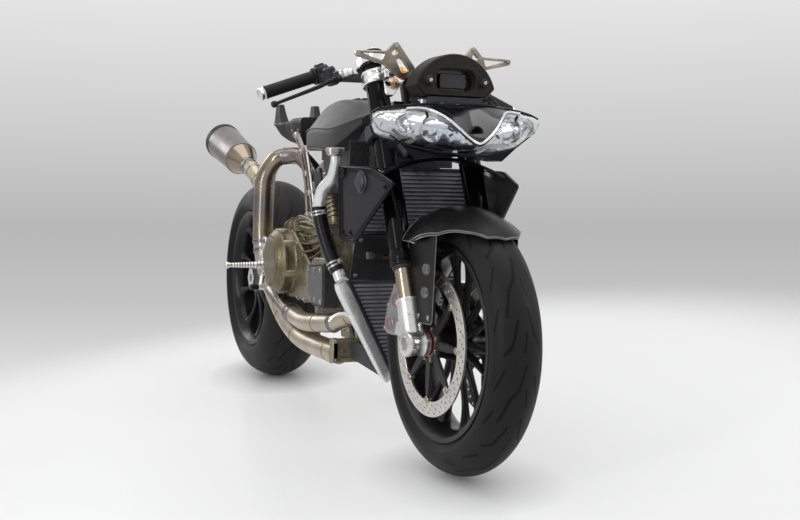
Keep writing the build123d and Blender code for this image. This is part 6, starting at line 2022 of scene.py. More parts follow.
# ------------------------------------------------------------------ fender
@dataclass(frozen=True)
class Fender:
    """A carbon fender: a round section swept round the axle, trimmed in plan, and plates down to the feet."""

    radius: float = 309.9
    section: float = 132.6
    edge: float = 225.9
    swing: float = radians(69.5)
    wall: float = 2.8
    crease_x: float = 56.0
    crease_high: float = 2.2
    crease_wide: float = 7.0
    plate_x: float = 101.5
    plate_top: float = 259.9
    front: tuple = ((0, -188), (38, -176), (68, -136), (104, -72), (124, 30))
    rear: tuple = ((0, 159), (66, 159), (74, 79), (122, 72), (124, 30))

    def shell_points(self, wall: float) -> np.ndarray:
        """The shell between its front edge and its rear edge.

        At each angle across it the ring radius is that of the round section, and the shell runs from where
        the plan's front line or the edge's height cuts the ring to where the plan's rear line does. A soft
        crease sinks it by a bell curve on each side.

        Args:
            wall: How far under the outer surface.

        Returns:
            Shape (u, v, 3), on the upright machine.
        """
        across = self.swing * np.linspace(-1, 1, 73)
        middle = self.radius - self.section
        ring = middle + (self.section - wall) * np.cos(across)
        x = (self.section - wall) * np.sin(across)
        out = middle + self.section * np.cos(across)
        low = np.arccos(np.clip(self.edge / out, -1, 1))
        plan = [np.interp(np.abs(x), *np.array(line, float).T) for line in (self.front, self.rear)]
        front = np.clip(np.arcsin(np.clip(-plan[0] / out, -1, 1)), -low, low)
        rear = np.clip(np.arcsin(np.clip(-plan[1] / out, -1, 1)), -low, low)
        part = np.linspace(0, 1, 49)[None]
        turn = front[:, None] * (1 - part) + rear[:, None] * part
        ridge = self.crease_high * np.exp(-((np.abs(x) - self.crease_x) / self.crease_wide) ** 2)
        crease = ridge[:, None] * np.sin(pi * part) ** 0.5
        deep = ring[:, None] - crease
        local = np.stack([np.broadcast_to(x[:, None], turn.shape), -deep * np.sin(turn), deep * np.cos(turn)], 2)
        return Axes(BIKE.front_axle).at(local)

    def build(self) -> None:
        """Makes the fender in place of its CAD node."""
        shell = Shell("fender_shell", Body.STEERING, (Paint.CARBON, Paint.EDGE, Paint.STEEL), crease=38.0)
        outer, inner = self.shell_points(0.0), self.shell_points(self.wall)
        shell.grid(np.concatenate([outer, inner[:, ::-1]], 1), 0, False, True, (240.0, 1000.0))
        for end in (0, -1):
            shell.grid(np.stack([outer[end], inner[end]], 0), 0)
        for rim in (outer[:, 0], outer[:, -1], inner[:, 0]):
            shell.sweep(rim, 1.5, 1, 8)
        for side in (-1, 1):
            axes = facing(FRONT_HUB.at((0.0, 0.0, side * self.plate_x)), side)
            top = [(self.plate_top * sin(a), self.plate_top * cos(a)) for a in np.radians((17, 9, 0, -8, -15))]
            outline = rounded([*top, (-62, 48), (12, 48), (60, 160)], 12, 5)
            spots = ((-24, 168), (-22, 116))
            shell.plate(outline, axes, 3.0, 0, tuple(round_loop(16, spot, 28, 0.7) for spot in spots), 1.0)
            for spot in spots:
                pan = [axes.at(np.c_[round_loop(size, spot, 28, 0.7), np.full(28, out)])
                       for size, out in ((18.0, 1.4), (16.6, 2.8), (14.6, 1.8), (10.5, -1.6), (6.5, -2.4))]
                shell.grid(np.array(pan), 1, False, True)
                shell.cap(pan[-1], 0)
                shell.bolt(axes.moved(*spot, -1.6), 2.6, 2.0, 2)
            edge = np.c_[outline, np.full(len(outline), 1.2)]
            shell.sweep(axes.at(edge), 1.1, 1, 8, wrap=True, upward=axes.z)
            for spot in ((-44, 62), (2, 62)):
                shell.bolt(axes.moved(*spot, 1.5), 4.5, 3.0, 2)
        shell.build("fender")


# ------------------------------------------------------------------ tank and tail
@dataclass(frozen=True)
class Tank:
    """The tank: rounded sections carried smoothly from the front to the seat."""

    rows: tuple = (
        # y, half width, bottom, top, from the crank
        (-270.0, 95.0, 411.0, 451.0), (-170.0, 138.0, 350.0, 473.0), (-46.0, 142.0, 350.0, 483.0),
        (100.0, 118.0, 350.0, 471.0), (240.0, 62.0, 350.0, 447.0),
    )

    def build(self) -> None:
        """Makes the tank's shell, its seam and its filler cap in place of the CAD tank."""
        shell = Shell("tank_shell", Body.FRAME, (Paint.TANK, Paint.BLACK_SATIN, Paint.ALLOY), crease=40.0)
        rows = smooth_route(list(self.rows), 10)
        half = rounded([(0.0, 1.0), (0.52, 1.0), (1.0, 0.4), (1.0, 0.0), (0.0, 0.0)], 0.09, 7)
        half = half[(half[:, 0] > 0.05) & (half[:, 1] > 0.02)]
        profile = np.concatenate([[(-1.0, 0.0)], half[::-1] * (-1.0, 1.0), half, [(1.0, 0.0)]])
        x = rows[:, 1:2] * profile[None, :, 0]
        z = rows[:, 2:3] + (rows[:, 3:4] - rows[:, 2:3]) * profile[None, :, 1]
        local = np.stack([x, np.broadcast_to(rows[:, :1], x.shape), z], 2)
        shell.grid(CRANK.at(local), 0, size=(510.0, 430.0))
        shell.grid(CRANK.at(local[:, [-1, 0]]), 1)
        shell.cap(CRANK.at(local[0]))
        shell.cap(CRANK.at(local[-1]))
        seat = CRANK.moved(0.0, -60.0, 481.0)
        shell.turned([(-4, 46), (2, 46), (4, 44), (4, 36), (7, 34), (8, 0)], seat, 1, 48)
        for spot in spots_round(8, 40):
            shell.bolt(seat.moved(*spot, 4.0), 3.0, 2.5, 2)
        for side in (-1, 1):
            seam = np.stack([side * (rows[:, 1] + 0.6), rows[:, 0], rows[:, 2] + 0.42 * (rows[:, 3] - rows[:, 2])], 1)
            shell.sweep(CRANK.at(seam), 1.6, 1, 6)
        shell.build("fuel_tank")


@dataclass(frozen=True)
class Exhaust:
    """Titanium pipes with welds and clamps, and a tapered silencer with a dark tip."""

    def ring(self, shell: Shell, place: Vec, along: np.ndarray, radius: float, slot: int, wide: float,
             high: float) -> None:
        """Adds a weld bead or a band round a pipe.

        Args:
            shell: What to add to.
            place: The ring's middle, on the upright machine.
            along: The pipe's direction.
            radius: The pipe's radius.
            slot: Which finish it takes.
            wide: Half its width.
            high: How far it stands out.
        """
        z = Vector(along).normalized()
        x = z.orthogonal().normalized()
        axes = Axes(place, tuple(x), tuple(z.cross(x)), tuple(z))
        shell.turned([(-wide, radius - 1), (-wide, radius + high * 0.6), (-wide * 0.4, radius + high),
                      (wide * 0.4, radius + high), (wide, radius + high * 0.6), (wide, radius - 1)], axes, slot, 36,
                     closed=True)

    def pipe(self, shell: Shell, route: np.ndarray, radius: "float | np.ndarray", welds: tuple, clamps: tuple,
             split: float = 0.0) -> None:
        """Adds a pipe with weld beads and clamps at chosen points of its route.

        Args:
            shell: What to add to.
            route: Its middle line.
            radius: Its radius, or its radius at each point of the route.
            welds: Fractions of the route that carry a weld.
            clamps: Fractions that carry a band clamp.
            split: The fraction up to which the pipe is pale.
        """
        cut = int(split * (len(route) - 1))
        radii = np.zeros(len(route)) + radius
        if cut:
            shell.sweep(route[:cut + 1], radii[:cut + 1], 2, 28)
        if cut < len(route) - 1:
            shell.sweep(route[cut:], radii[cut:], 0, 28)
        for slot, places, wide, high in ((0, welds, 1.6, 0.9), (1, clamps, 6.0, 2.2)):
            for part in places:
                k = min(max(int(part * (len(route) - 1)), 1), len(route) - 2)
                ahead = route[k + 1] - route[k - 1]
                self.ring(shell, tuple(route[k]), ahead, float(radii[k]), slot, wide, high)

    def silencer(self) -> None:
        """Makes the silencer: two cones, a rolled tip and a dark perforated mouth."""
        shell = Shell("silencer_skin", Body.FRAME, (Paint.SILENCER, Paint.BLACK_SATIN, Paint.TITANIUM, Paint.STEEL),
                      crease=28.0)
        axes = axes_along(CRANK.at((-185.0, 460.0, 305.0)), CRANK.at((-214.0, 660.0, 381.0)))
        shell.turned([(-2, 24), (0, 26.5), (6, 29), (20, 35), (40, 44), (56, 49.5)], axes, 2, 56)
        shell.turned([(54, 48), (55, 51), (60, 51.5), (64, 50.6), (196, 56.6), (198, 56.6)], axes, 0, 56)
        shell.turned([(196, 55), (196, 57.6), (206, 58.0), (213, 57.6), (216, 55.0), (216, 50), (212, 47), (206, 45)],
                     axes, 1, 56)
        shell.turned([(206, 46), (200, 44), (120, 42), (120, 0)], axes, 1, 40)
        shell.turned([(205, 38), (214, 38), (215, 36.5), (214, 35), (150, 34), (150, 0)], axes, 3, 40)
        for x, y in spots_round(6, 1.0, 0.3):
            out = axes.at((x, y, 0.0)) - np.array(axes.origin)
            seat = Axes(tuple(axes.at((50.8 * x, 50.8 * y, 60.0))), axes.z, tuple(np.cross(axes.z, out)), tuple(out))
            shell.turned([(-1, 2.6), (1.2, 2.4), (1.8, 0)], seat, 3, 10)
        shell.build("silencer")

    def build(self) -> None:
        """Makes the pipes in place of their CAD node, then the silencer."""
        shell = Shell("exhaust_tubes", Body.FRAME, (Paint.TITANIUM, Paint.BAND, Paint.PALE_PIPE), crease=40.0)
        collector = smooth_route([(-104, -162, -183), (-113, -40, -184), (-124, 80, -176), (-138, 170, -140),
                                  (-151, 255, -72),
                                  (-161, 318, 2), (-166, 348, 80), (-166, 351, 160), (-165, 346, 262)], 9)
        self.pipe(shell, CRANK.at(collector), 30.0, (0.06, 0.3, 0.42, 0.56, 0.985), (0.72, 0.76), 0.74)
        header = smooth_route([(-62, -285, 45), (-66, -276, 0), (-74, -245, -55), (-96, -205, -82), (-120, -158, -103),
                               (-137, -80, -113), (-146, 0, -119), (-149, 80, -112), (-152, 150, -98), (-157, 240, -68),
                               (-158, 305, -45)], 7)
        self.pipe(shell, CRANK.at(header), 25.0, (0.05, 0.3, 0.5, 0.86), (0.4, 0.72, 0.77), 0.72)
        rear = smooth_route([(-58, 170, 273), (-68, 210, 302), (-86, 262, 332), (-118, 296, 333), (-142, 312, 322),
                             (-158, 336, 290), (-165, 346, 254)], 8)
        flare = np.interp(np.linspace(0, 1, len(rear)), (0.0, 0.6, 0.97, 1.0), (24.0, 24.0, 29.6, 29.6))
        self.pipe(shell, CRANK.at(rear), flare, (0.12, 0.5), (0.04,))
        neck = smooth_route([(-165, 350, 244), (-171, 388, 262), (-178, 420, 286), (-186, 462, 306)], 9)
        self.pipe(shell, CRANK.at(neck), 24.5, (0.3, 0.7), (0.9,), 1.0)
        shell.build("exhaust_pipes")
        self.silencer()


# ------------------------------------------------------------------ engine
def strap(circles: tuple, grow: float = 0.0, sides: int = 96) -> np.ndarray:
    """The outline of a belt round circles: in each direction, the point of the circle that reaches furthest.

    Args:
        circles: (x, y, radius) of each circle.
        grow: What is added to every radius.
        sides: How many directions.

    Returns:
        The points, shape (sides, 2).
    """
    rows = np.array(circles, float)
    angle = turns(sides)
    way = np.stack([np.cos(angle), np.sin(angle)], 1)
    radius = rows[:, 2] + grow
    chosen = np.argmax(way @ rows[:, :2].T + radius, 1)
    return rows[chosen, :2] + radius[chosen, None] * way


def round_box(size: Vec, axes: Axes, shell: Shell, slot: int = 0, corner: float = 10.0, edge: float = 4.0) -> None:
    """Adds a box with round corners in plan and a stepped round edge at both ends.

    Args:
        size: Its lengths along x, y and z.
        axes: Its middle.
        shell: What to add to.
        slot: Which finish it takes.
        corner: How far the corners are rounded.
        edge: The end edges' radius.
    """
    x, y, z = (s / 2 for s in size)
    plan = rounded([(-x, -y), (x, -y), (x, y), (-x, y)], corner, 6)
    levels = ((1.0, -z), (0.3, -z + edge * 0.3), (0.0, -z + edge), (0.0, z - edge), (0.3, z - edge * 0.3), (1.0, z))
    rings = [np.c_[plan * (1 - edge * back / np.array([x, y])), np.full(len(plan), height)] for back, height in levels]
    shell.tube(axes.at(rings), slot)


@dataclass(frozen=True)
class Engine:
    """Cast cases with domed covers, fanned ribs, bolts and brackets, and the two cylinders."""

    case: float = 120.0
    outline: tuple = ((-155, -65), (-155, 75), (-60, 150), (150, 165), (270, 125), (300, 45), (295, -25), (260, -65))

    def flank(self, side: float, x: float, y: float = 0.0, z: float = 0.0) -> Axes:
        """Axes on one flank, measured from the crank.

        Args:
            side: 1 for the left, -1 for the right.
            x: Distance from the middle.
            y: How far behind the crank.
            z: How far above it.

        Returns:
            Axes with x backwards, y up and z outwards.
        """
        return facing(CRANK.at((side * x, y, z)), side)

    def ring_of_bolts(self, shell: Shell, line: np.ndarray, axes: Axes, count: int, slot: int,
                      radius: float = 4.6) -> None:
        """Adds bolts evenly along an outline, each on a low boss.

        Args:
            shell: What to add to.
            line: The outline.
            axes: Where it lies.
            count: How many bolts.
            slot: The bolts' finish.
            radius: Their heads' radius.
        """
        for spot in even_line(np.concatenate([line, line[:1]]), count + 1)[:-1]:
            seat = axes.moved(float(spot[0]), float(spot[1]))
            shell.turned([(-10, radius * 1.9), (-1.0, radius * 1.9), (0.0, radius * 1.7), (0.0, 0.0)], seat, 0, 18)
            shell.bolt(seat, radius, radius * 0.9, slot)

    def covers(self) -> None:
        """Makes the clutch cover, the oil cover and the left cover in place of their CAD nodes."""
        shell = Shell("engine_cover_castings", Body.FRAME,
                      (Paint.BRONZE, Paint.STEEL, Paint.COVER, Paint.BLACK_SATIN), crease=26.0)
        belt = ((161.0, 35.0, 98.0), (11.0, -5.0, 62.0))
        shell.plate(strap(belt), self.flank(-1, 134.0), 28.0, 0, (), 4.0)
        shell.plate(strap(belt, 3.0), self.flank(-1, 126.0), 8.0, 0, (), 2.0)
        self.ring_of_bolts(shell, strap(belt, -7.0), self.flank(-1, 148.0), 13, 1)
        dome = self.flank(-1, 148.0, 161.0, 35.0)
        shell.turned([(-4, 90), (2, 90.5), (5, 88), (8, 86.5), (24, 86), (27, 88), (33, 88), (36, 86.5), (39, 83),
                      (47, 76), (50, 73.5),
                      (51, 70), (51, 66), (53, 64.5), (54.5, 60), (55, 44), (55, 0)], dome, 0, 96)
        for spot in spots_round(6, 82.0, 0.35):
            lug = dome.moved(*spot)
            shell.turned([(0, 12), (30, 11), (33, 9.5), (34, 8), (34, 0)], lug, 0, 24)
            shell.bolt(lug.moved(z=34.0), 5.0, 4.5, 1)
        for k in range(3):
            line = [(95 + 46 * k, 124 - 6 * k, 30), (92 + 42 * k, 148 - 4 * k, 34), (88 + 40 * k, 158, 14)]
            self.fin(shell, -1, line, 4.4)
        oil_cover = rounded([(-56, 42), (-186, 55), (-191, -63), (-78, -63)], 16, 6)
        shell.plate(oil_cover, self.flank(-1, 140.0), 40.0, 3, (), 3.0)
        shell.plate(rounded([(-62, 34), (-180, 46), (-184, -56), (-84, -56)], 14, 6), self.flank(-1, 161.5), 5.0, 2,
                    (), 1.4)
        for spot in ((-74, 24), (-120, 32), (-170, 35), (-174, -46), (-130, -46), (-94, -46)):
            shell.bolt(self.flank(-1, 163.5, *spot), 5.2, 3.6, 1)
        frame_line = rounded([(-50, 50), (-70, 62), (-196, 66), (-200, 40), (-60, 24), (-40, 10)], 8, 4)
        shell.plate(frame_line, self.flank(-1, 136.0), 26.0, 0, (), 2.5)
        left = ((0.0, 0.0, 86.0), (120.0, 30.0, 60.0))
        shell.plate(strap(left), self.flank(1, 132.0), 24.0, 0, (), 4.0)
        self.ring_of_bolts(shell, strap(left, -8.0), self.flank(1, 144.0), 12, 1)
        cap = self.flank(1, 144.0)
        shell.turned([(-2, 79), (3, 80), (6, 78), (8, 76), (17, 75), (21, 72), (23, 66), (23.5, 54), (25, 52),
                      (26, 48), (26, 30), (24, 28), (24, 0)], cap, 0, 96)
        for spot in spots_round(5, 72, 0.2):
            shell.turned([(0, 9), (20, 8.5), (22, 7), (22, 0)], cap.moved(*spot), 0, 20)
            shell.bolt(cap.moved(*spot, 22.0), 4.4, 3.6, 1)
        shell.build("engine_covers")

    def fin(self, shell: Shell, side: float, line: Points, thick: float) -> None:
        """Adds a rib that stands out of the case along a smooth line.

        Args:
            shell: What to add to.
            side: 1 for the left, -1 for the right.
            line: (y, z, height over the case) of points to pass, from the crank.
            thick: Its thickness.
        """
        fine = smooth_route(line, 10)
        along = np.gradient(fine[:, :2], axis=0)
        across = np.stack([-along[:, 1], along[:, 0]], 1) / np.linalg.norm(along, axis=1, keepdims=True) * thick / 2
        tip = self.case + fine[:, 2]
        root = np.full(len(tip), self.case - 3.0)
        rings = [np.c_[x, fine[:, :2] + across * s] for x, s in
                 ((root, -1.4), (tip - 2.5, -0.85), (tip, -0.3), (tip, 0.3), (tip - 2.5, 0.85), (root, 1.4))]
        shell.tube(CRANK.at(np.stack(rings, 1) * (side, 1.0, 1.0)))

    def castings(self) -> None:
        """Adds what the cases carry: rims, fanned ribs, bosses, bolts and a breather; the CAD case stays."""
        shell = Shell("engine_ribs", Body.FRAME, (Paint.BRONZE, Paint.STEEL, Paint.BLACK_SATIN, Paint.ALLOY))
        edge = rounded(self.outline, 12, 5)
        for side in (-1, 1):
            rim = self.flank(side, self.case - 1.5)
            shell.sweep(rim.at(np.c_[edge * 0.992, np.zeros(len(edge))]), 4.0, 0, 10, wrap=True, upward=rim.z)
            bolt_line = (edge - (60.0, 40.0)) * 0.93 + (60.0, 40.0)
            self.ring_of_bolts(shell, bolt_line, self.flank(side, self.case + 2.0), 18, 1, 4.2)
        for k in range(5):
            rise = 22.0 * k
            line = [(66 - 3 * k, 52 + rise, 30), (36 - 3 * k, 50 + rise, 32), (0 - 3 * k, 52 + rise * 0.96, 28),
                    (-32 - 2 * k, 60 + rise * 0.9, 20), (-56, 76 + rise * 0.74, 8)]
            self.fin(shell, -1, line, 5.0)
        self.fin(shell, -1, [(120, 132, 26), (60, 150, 24), (-20, 144, 16), (-58, 120, 8)], 7.0)
        for k in range(4):
            line = [(-60 + 20 * k, 86 + 9 * k, 8), (20 * k, 104 + 7 * k, 14), (60 + 16 * k, 112 + 8 * k, 10)]
            self.fin(shell, 1, line, 4.0)
        for spot, radius, out in (((-118, 96), 13.0, 14.0), ((-146, 40), 11.0, 6.0), ((28, 146), 12.0, 12.0)):
            boss = self.flank(-1, self.case, *spot)
            shell.turned([(-6, radius + 3), (out - 3, radius), (out, radius - 1), (out, radius * 0.6),
                          (out - 3, radius * 0.5), (out - 3, 0)], boss, 0, 28)
            shell.bolt(boss.moved(z=out - 3), radius * 0.42, 4.0, 1)
        breather = smooth_route([(-126, -118, 96), (-126, -110, 118), (-126, -88, 136), (-126, -52, 150)], 8)
        shell.sweep(CRANK.at(breather), 5.0, 3, 14)
        shell.build()

    def cylinders(self) -> None:
        """Makes both cylinders: a barrel, a head, a cam cover, belt covers and plugs, in place of the CAD ones."""
        shell = Shell("cylinder_castings", Body.FRAME, (Paint.CAST, Paint.STEEL, Paint.BLACK_SATIN, Paint.BRONZE))
        for tilt in (21.0, 111.0):
            z = (0.0, -cos(radians(tilt)), sin(radians(tilt)))
            y = tuple(np.cross(z, (1.0, 0.0, 0.0)))
            bank = Axes(CRANK.origin, (1.0, 0.0, 0.0), y, z)
            round_box((158.0, 132.0, 84.0), bank.moved(z=180.0), shell, 3, 20.0, 2.0)
            for k in range(5):
                round_box((166.0, 140.0, 4.0), bank.moved(z=160.0 + 13.0 * k), shell, 3, 18.0, 1.0)
            round_box((178.0, 148.0, 58.0), bank.moved(z=249.0), shell, 0, 14.0, 3.0)
            round_box((180.0, 150.0, 6.0), bank.moved(z=279.0), shell, 1, 12.0, 1.0)
            round_box((176.0, 146.0, 40.0), bank.moved(z=300.0), shell, 0, 22.0, 10.0)
            round_box((120.0, 70.0, 6.0), bank.moved(z=319.0), shell, 2, 16.0, 2.0)
            for x in (-76.0, -26.0, 26.0, 76.0):
                for y_at in (-64.0, 64.0):
                    shell.bolt(bank.moved(x, y_at, 313.0 - 0.9), 4.6, 4.0, 1)
            for side in (-1, 1):
                face = Axes(tuple(bank.at((side * 90.0, 0.0, 262.0))), y, z, (side, 0.0, 0.0))
                shell.plate(rounded([(-62, -40), (62, -40), (56, 44), (-56, 44)], 20, 6), face, 9.0, 2, (), 2.5)
                for spot in ((-50, -28), (50, -28), (-46, 34), (46, 34)):
                    shell.bolt(face.moved(*spot, 4.2), 4.0, 3.0, 1)
                shell.turned([(0, 16), (5, 15.5), (7, 13), (7, 0)], face.moved(0.0, 2.0, 3.0), 0, 32)
        shell.build("cylinders")

    def under(self) -> None:
        """Makes the sump with its ribs and the open bracket under the case in place of the CAD sump."""
        shell = Shell("sump_castings", Body.FRAME, (Paint.BRONZE, Paint.STEEL, Paint.BLACK_SATIN))
        round_box((108.0, 238.0, 47.0), CRANK.moved(50.0, 0.0, -156.0), shell, 0, 22.0, 5.0)
        for k in range(7):
            round_box((5.0, 224.0, 5.0), CRANK.moved(14.0 + 12.0 * k, 0.0, -180.0), shell, 0, 2.0, 1.0)
        shell.turned([(0, 13), (6, 12.6), (8, 11), (8, 0)], facing(CRANK.at((104.0, 60.0, -158.0)), 1), 1, 6)
        for x, wide in ((-127.0, 14.0), (-52.0, 24.0)):
            outline = rounded([(-166, -209), (-197, -204), (-197, -142), (-184, -140), (-166, -142)], 5, 4)
            shell.plate(outline, facing(CRANK.at((x, 0.0, 0.0)), 1), wide, 0, (), 1.5)
        face = Axes(tuple(CRANK.at((-87.0, -194.5, -172.0))), **AHEAD)
        window = (rounded([(-28, -18), (24, -18), (24, 18), (-28, 18)], 8, 4),)
        shell.plate(rounded([(-46, -31), (46, -31), (46, 31), (-46, 31)], 6, 4), face, 5.0, 0, window, 1.0)
        shell.block((90.0, 60.0, 16.0), face.moved(z=-12.0), 0, 2.0)
        for spot in ((-39, 24), (-39, -24), (38, 24), (38, -24)):
            shell.bolt(face.moved(*spot, 2.4), 3.8, 3.0, 1)
        web = facing(CRANK.at((-56.0, 0.0, 0.0)), 1)
        shell.plate(rounded([(-165, -165), (-197, -165), (-189, -96), (-133, -96), (-150, -145)], 5, 4), web, 30.0, 0,
                    (rounded([(-176, -150), (-186, -150), (-180, -110), (-156, -110)], 4, 4),), 1.5)
        shell.build("sump")

    def build(self) -> None:
        """Makes every piece of the engine."""
        self.covers()
        self.castings()
        self.cylinders()
        self.under()


# ------------------------------------------------------------------ hose, tail and struts
@dataclass(frozen=True)
class Tail:
    """The matt tail with its two thin horns, its deck, and the cast struts that carry it."""

    rows: tuple = (
        # y, outer half width, low, high, from the crank
        (240.0, 89.0, 364.0, 447.0), (300.0, 92.0, 368.0, 446.5), (344.0, 88.0, 372.0, 446.0),
        (372.0, 76.0, 373.0, 445.0), (440.0, 70.0, 380.0, 442.0), (508.0, 71.0, 396.0, 440.0),
        (545.0, 70.0, 412.0, 438.5), (573.0, 67.0, 424.0, 437.0),
    )
    inner: float = 30.0

    def body(self) -> None:
        """Makes the tail in place of its CAD node."""
        shell = Shell("tail_shells", Body.FRAME, (Paint.TAIL, Paint.BLACK_SATIN, Paint.STEEL), crease=32.0)
        rows = smooth_route(list(self.rows), 8)
        square = np.stack(super_ellipse(36, 0.45), 1)
        for side in (-1, 1):
            middle = (rows[:, 1] + self.inner) / 2
            slant = 5.0 * (1.0 + square[None, :, 0]) / 2 * square[None, :, 1]
            x = side * (middle[:, None] + (rows[:, 1:2] - self.inner) / 2 * square[None, :, 0] + slant)
            z = (rows[:, 2:3] + rows[:, 3:4]) / 2 + (rows[:, 3:4] - rows[:, 2:3]) / 2 * square[None, :, 1]
            local = np.stack([x, np.broadcast_to(rows[:, :1], x.shape), z], 2)
            shell.tube(CRANK.at(local), 0, (330.0, 300.0))
            up = np.linspace(0, 1, 14)[:, None]
            lean = up**0.6
            x = side * np.concatenate([37 + 13 * lean, 72 - 7 * lean, 72 - 7 * lean, 37 + 13 * lean], 1)
            y = np.concatenate([494 + 42 * lean, 494 + 42 * lean, 573 - 2 * lean, 573 - 2 * lean], 1)
            shell.tube(CRANK.at(np.stack([x, y, 432 + 65 * up + 0 * x], 2)))
            for y in (262.0, 318.0):
                shell.bolt(facing(CRANK.at((side * 90.0, y, 408.0)), side), 5.0, 3.0, 2)
        y = np.linspace(240, 512, 30)[:, None]
        x = np.linspace(-36, 36, 17)[None]
        top = 439.0 + 4.0 * (x / 36.0) ** 2 - 3.0 * np.sin((y - 240) / 272 * pi) + 0 * y
        deck = np.stack([x + 0 * y, y + 0 * x, top], 2)
        under = deck - (0.0, 0.0, 9.0)
        shell.tube(CRANK.at(np.concatenate([deck, under[:, ::-1]], 1)), 0, (270.0, 80.0))
        shell.build("tail_frame")

    def struts(self) -> None:
        """Makes the cast struts with their windows and bolts in place of the CAD struts."""
        shell = Shell("cast_struts", Body.FRAME, (Paint.LINK, Paint.STEEL, Paint.ALLOY))
        outline = rounded([(80, 157), (140, 157), (160, 255), (210, 350), (265, 393), (246, 405), (186, 355),
                           (126, 265)], 8, 4)
        holes = (rounded([(98, 176), (130, 176), (138, 222), (116, 222)], 6, 4),
                 rounded([(123, 236), (143, 236), (158, 276), (140, 282)], 6, 4),
                 rounded([(146, 292), (164, 288), (192, 336), (180, 340)], 5, 4),
                 rounded([(196, 350), (206, 352), (236, 380), (226, 382)], 3, 3))
        for side in (-1, 1):
            plane = facing(CRANK.at((side * 98.0, 0.0, 0.0)), side)
            shell.plate(outline, plane, 12.0, 0, holes, 1.8)
            for spot, radius in (((92, 166), 8.0), ((132, 166), 8.0), ((118, 229), 7.0), ((150, 284), 7.0),
                                 ((200, 345), 7.0), ((250, 394), 8.0)):
                seat = plane.moved(*spot, 5.0)
                shell.turned([(-3, radius + 2), (2, radius + 1), (3, radius), (3, 0)], seat, 2, 24)
                shell.bolt(seat.moved(z=3.0), radius * 0.62, 4.0, 1)
            tube = smooth_route([(side * 99.0, y, z) for y, z in ((70, 175), (96, 232), (126, 300), (150, 344))], 8)
            shell.sweep(CRANK.at(tube), 4.5, 2, 12)
        shell.build("frame_struts")

    def hose(self) -> None:
        """Makes the coolant hose and its clamps in place of the CAD hose."""
        shell = Shell("hose_and_clamps", Body.FRAME, (Paint.HOSE, Paint.STEEL, Paint.BLACK_SATIN))
        high, bend, low = SHROUD.at([(-206.0, 155.0, -152.0), (-200.0, 140.0, -228.0), (-172.0, 99.0, -308.0)])
        t = np.linspace(0, 1, 40)[:, None]
        route = (1 - t) ** 2 * high + 2 * t * (1 - t) * bend + t**2 * low
        thick = 18.0 + 1.0 * np.exp(-((t[:, 0] - 0.03) / 0.03) ** 2) + 1.0 * np.exp(-((t[:, 0] - 0.97) / 0.03) ** 2)
        shell.sweep(route, thick, 0, 32)
        for at in (3, 5, 34, 36):
            band = axes_along(route[at], route[at + 1])
            shell.turned([(-2.2, 18), (-2.2, 20.2), (2.2, 20.2), (2.2, 18)], band, 1, 36, closed=True)
        for at in (4, 35):
            band = axes_along(route[at], route[at + 1])
            shell.block((9.0, 8.0, 12.0), band.moved(-4.0, 22.0), 1, 1.5)
            screw = band.moved(-9.0, 22.0)
            shell.bolt(Axes(screw.origin, band.y, band.z, tuple(-np.array(band.x))), 3.6, 4.0, 1)
        shell.build("coolant_hose")

    def build(self) -> None:
        """Makes the tail, the struts and the hose."""
        self.body()
        self.struts()
        self.hose()


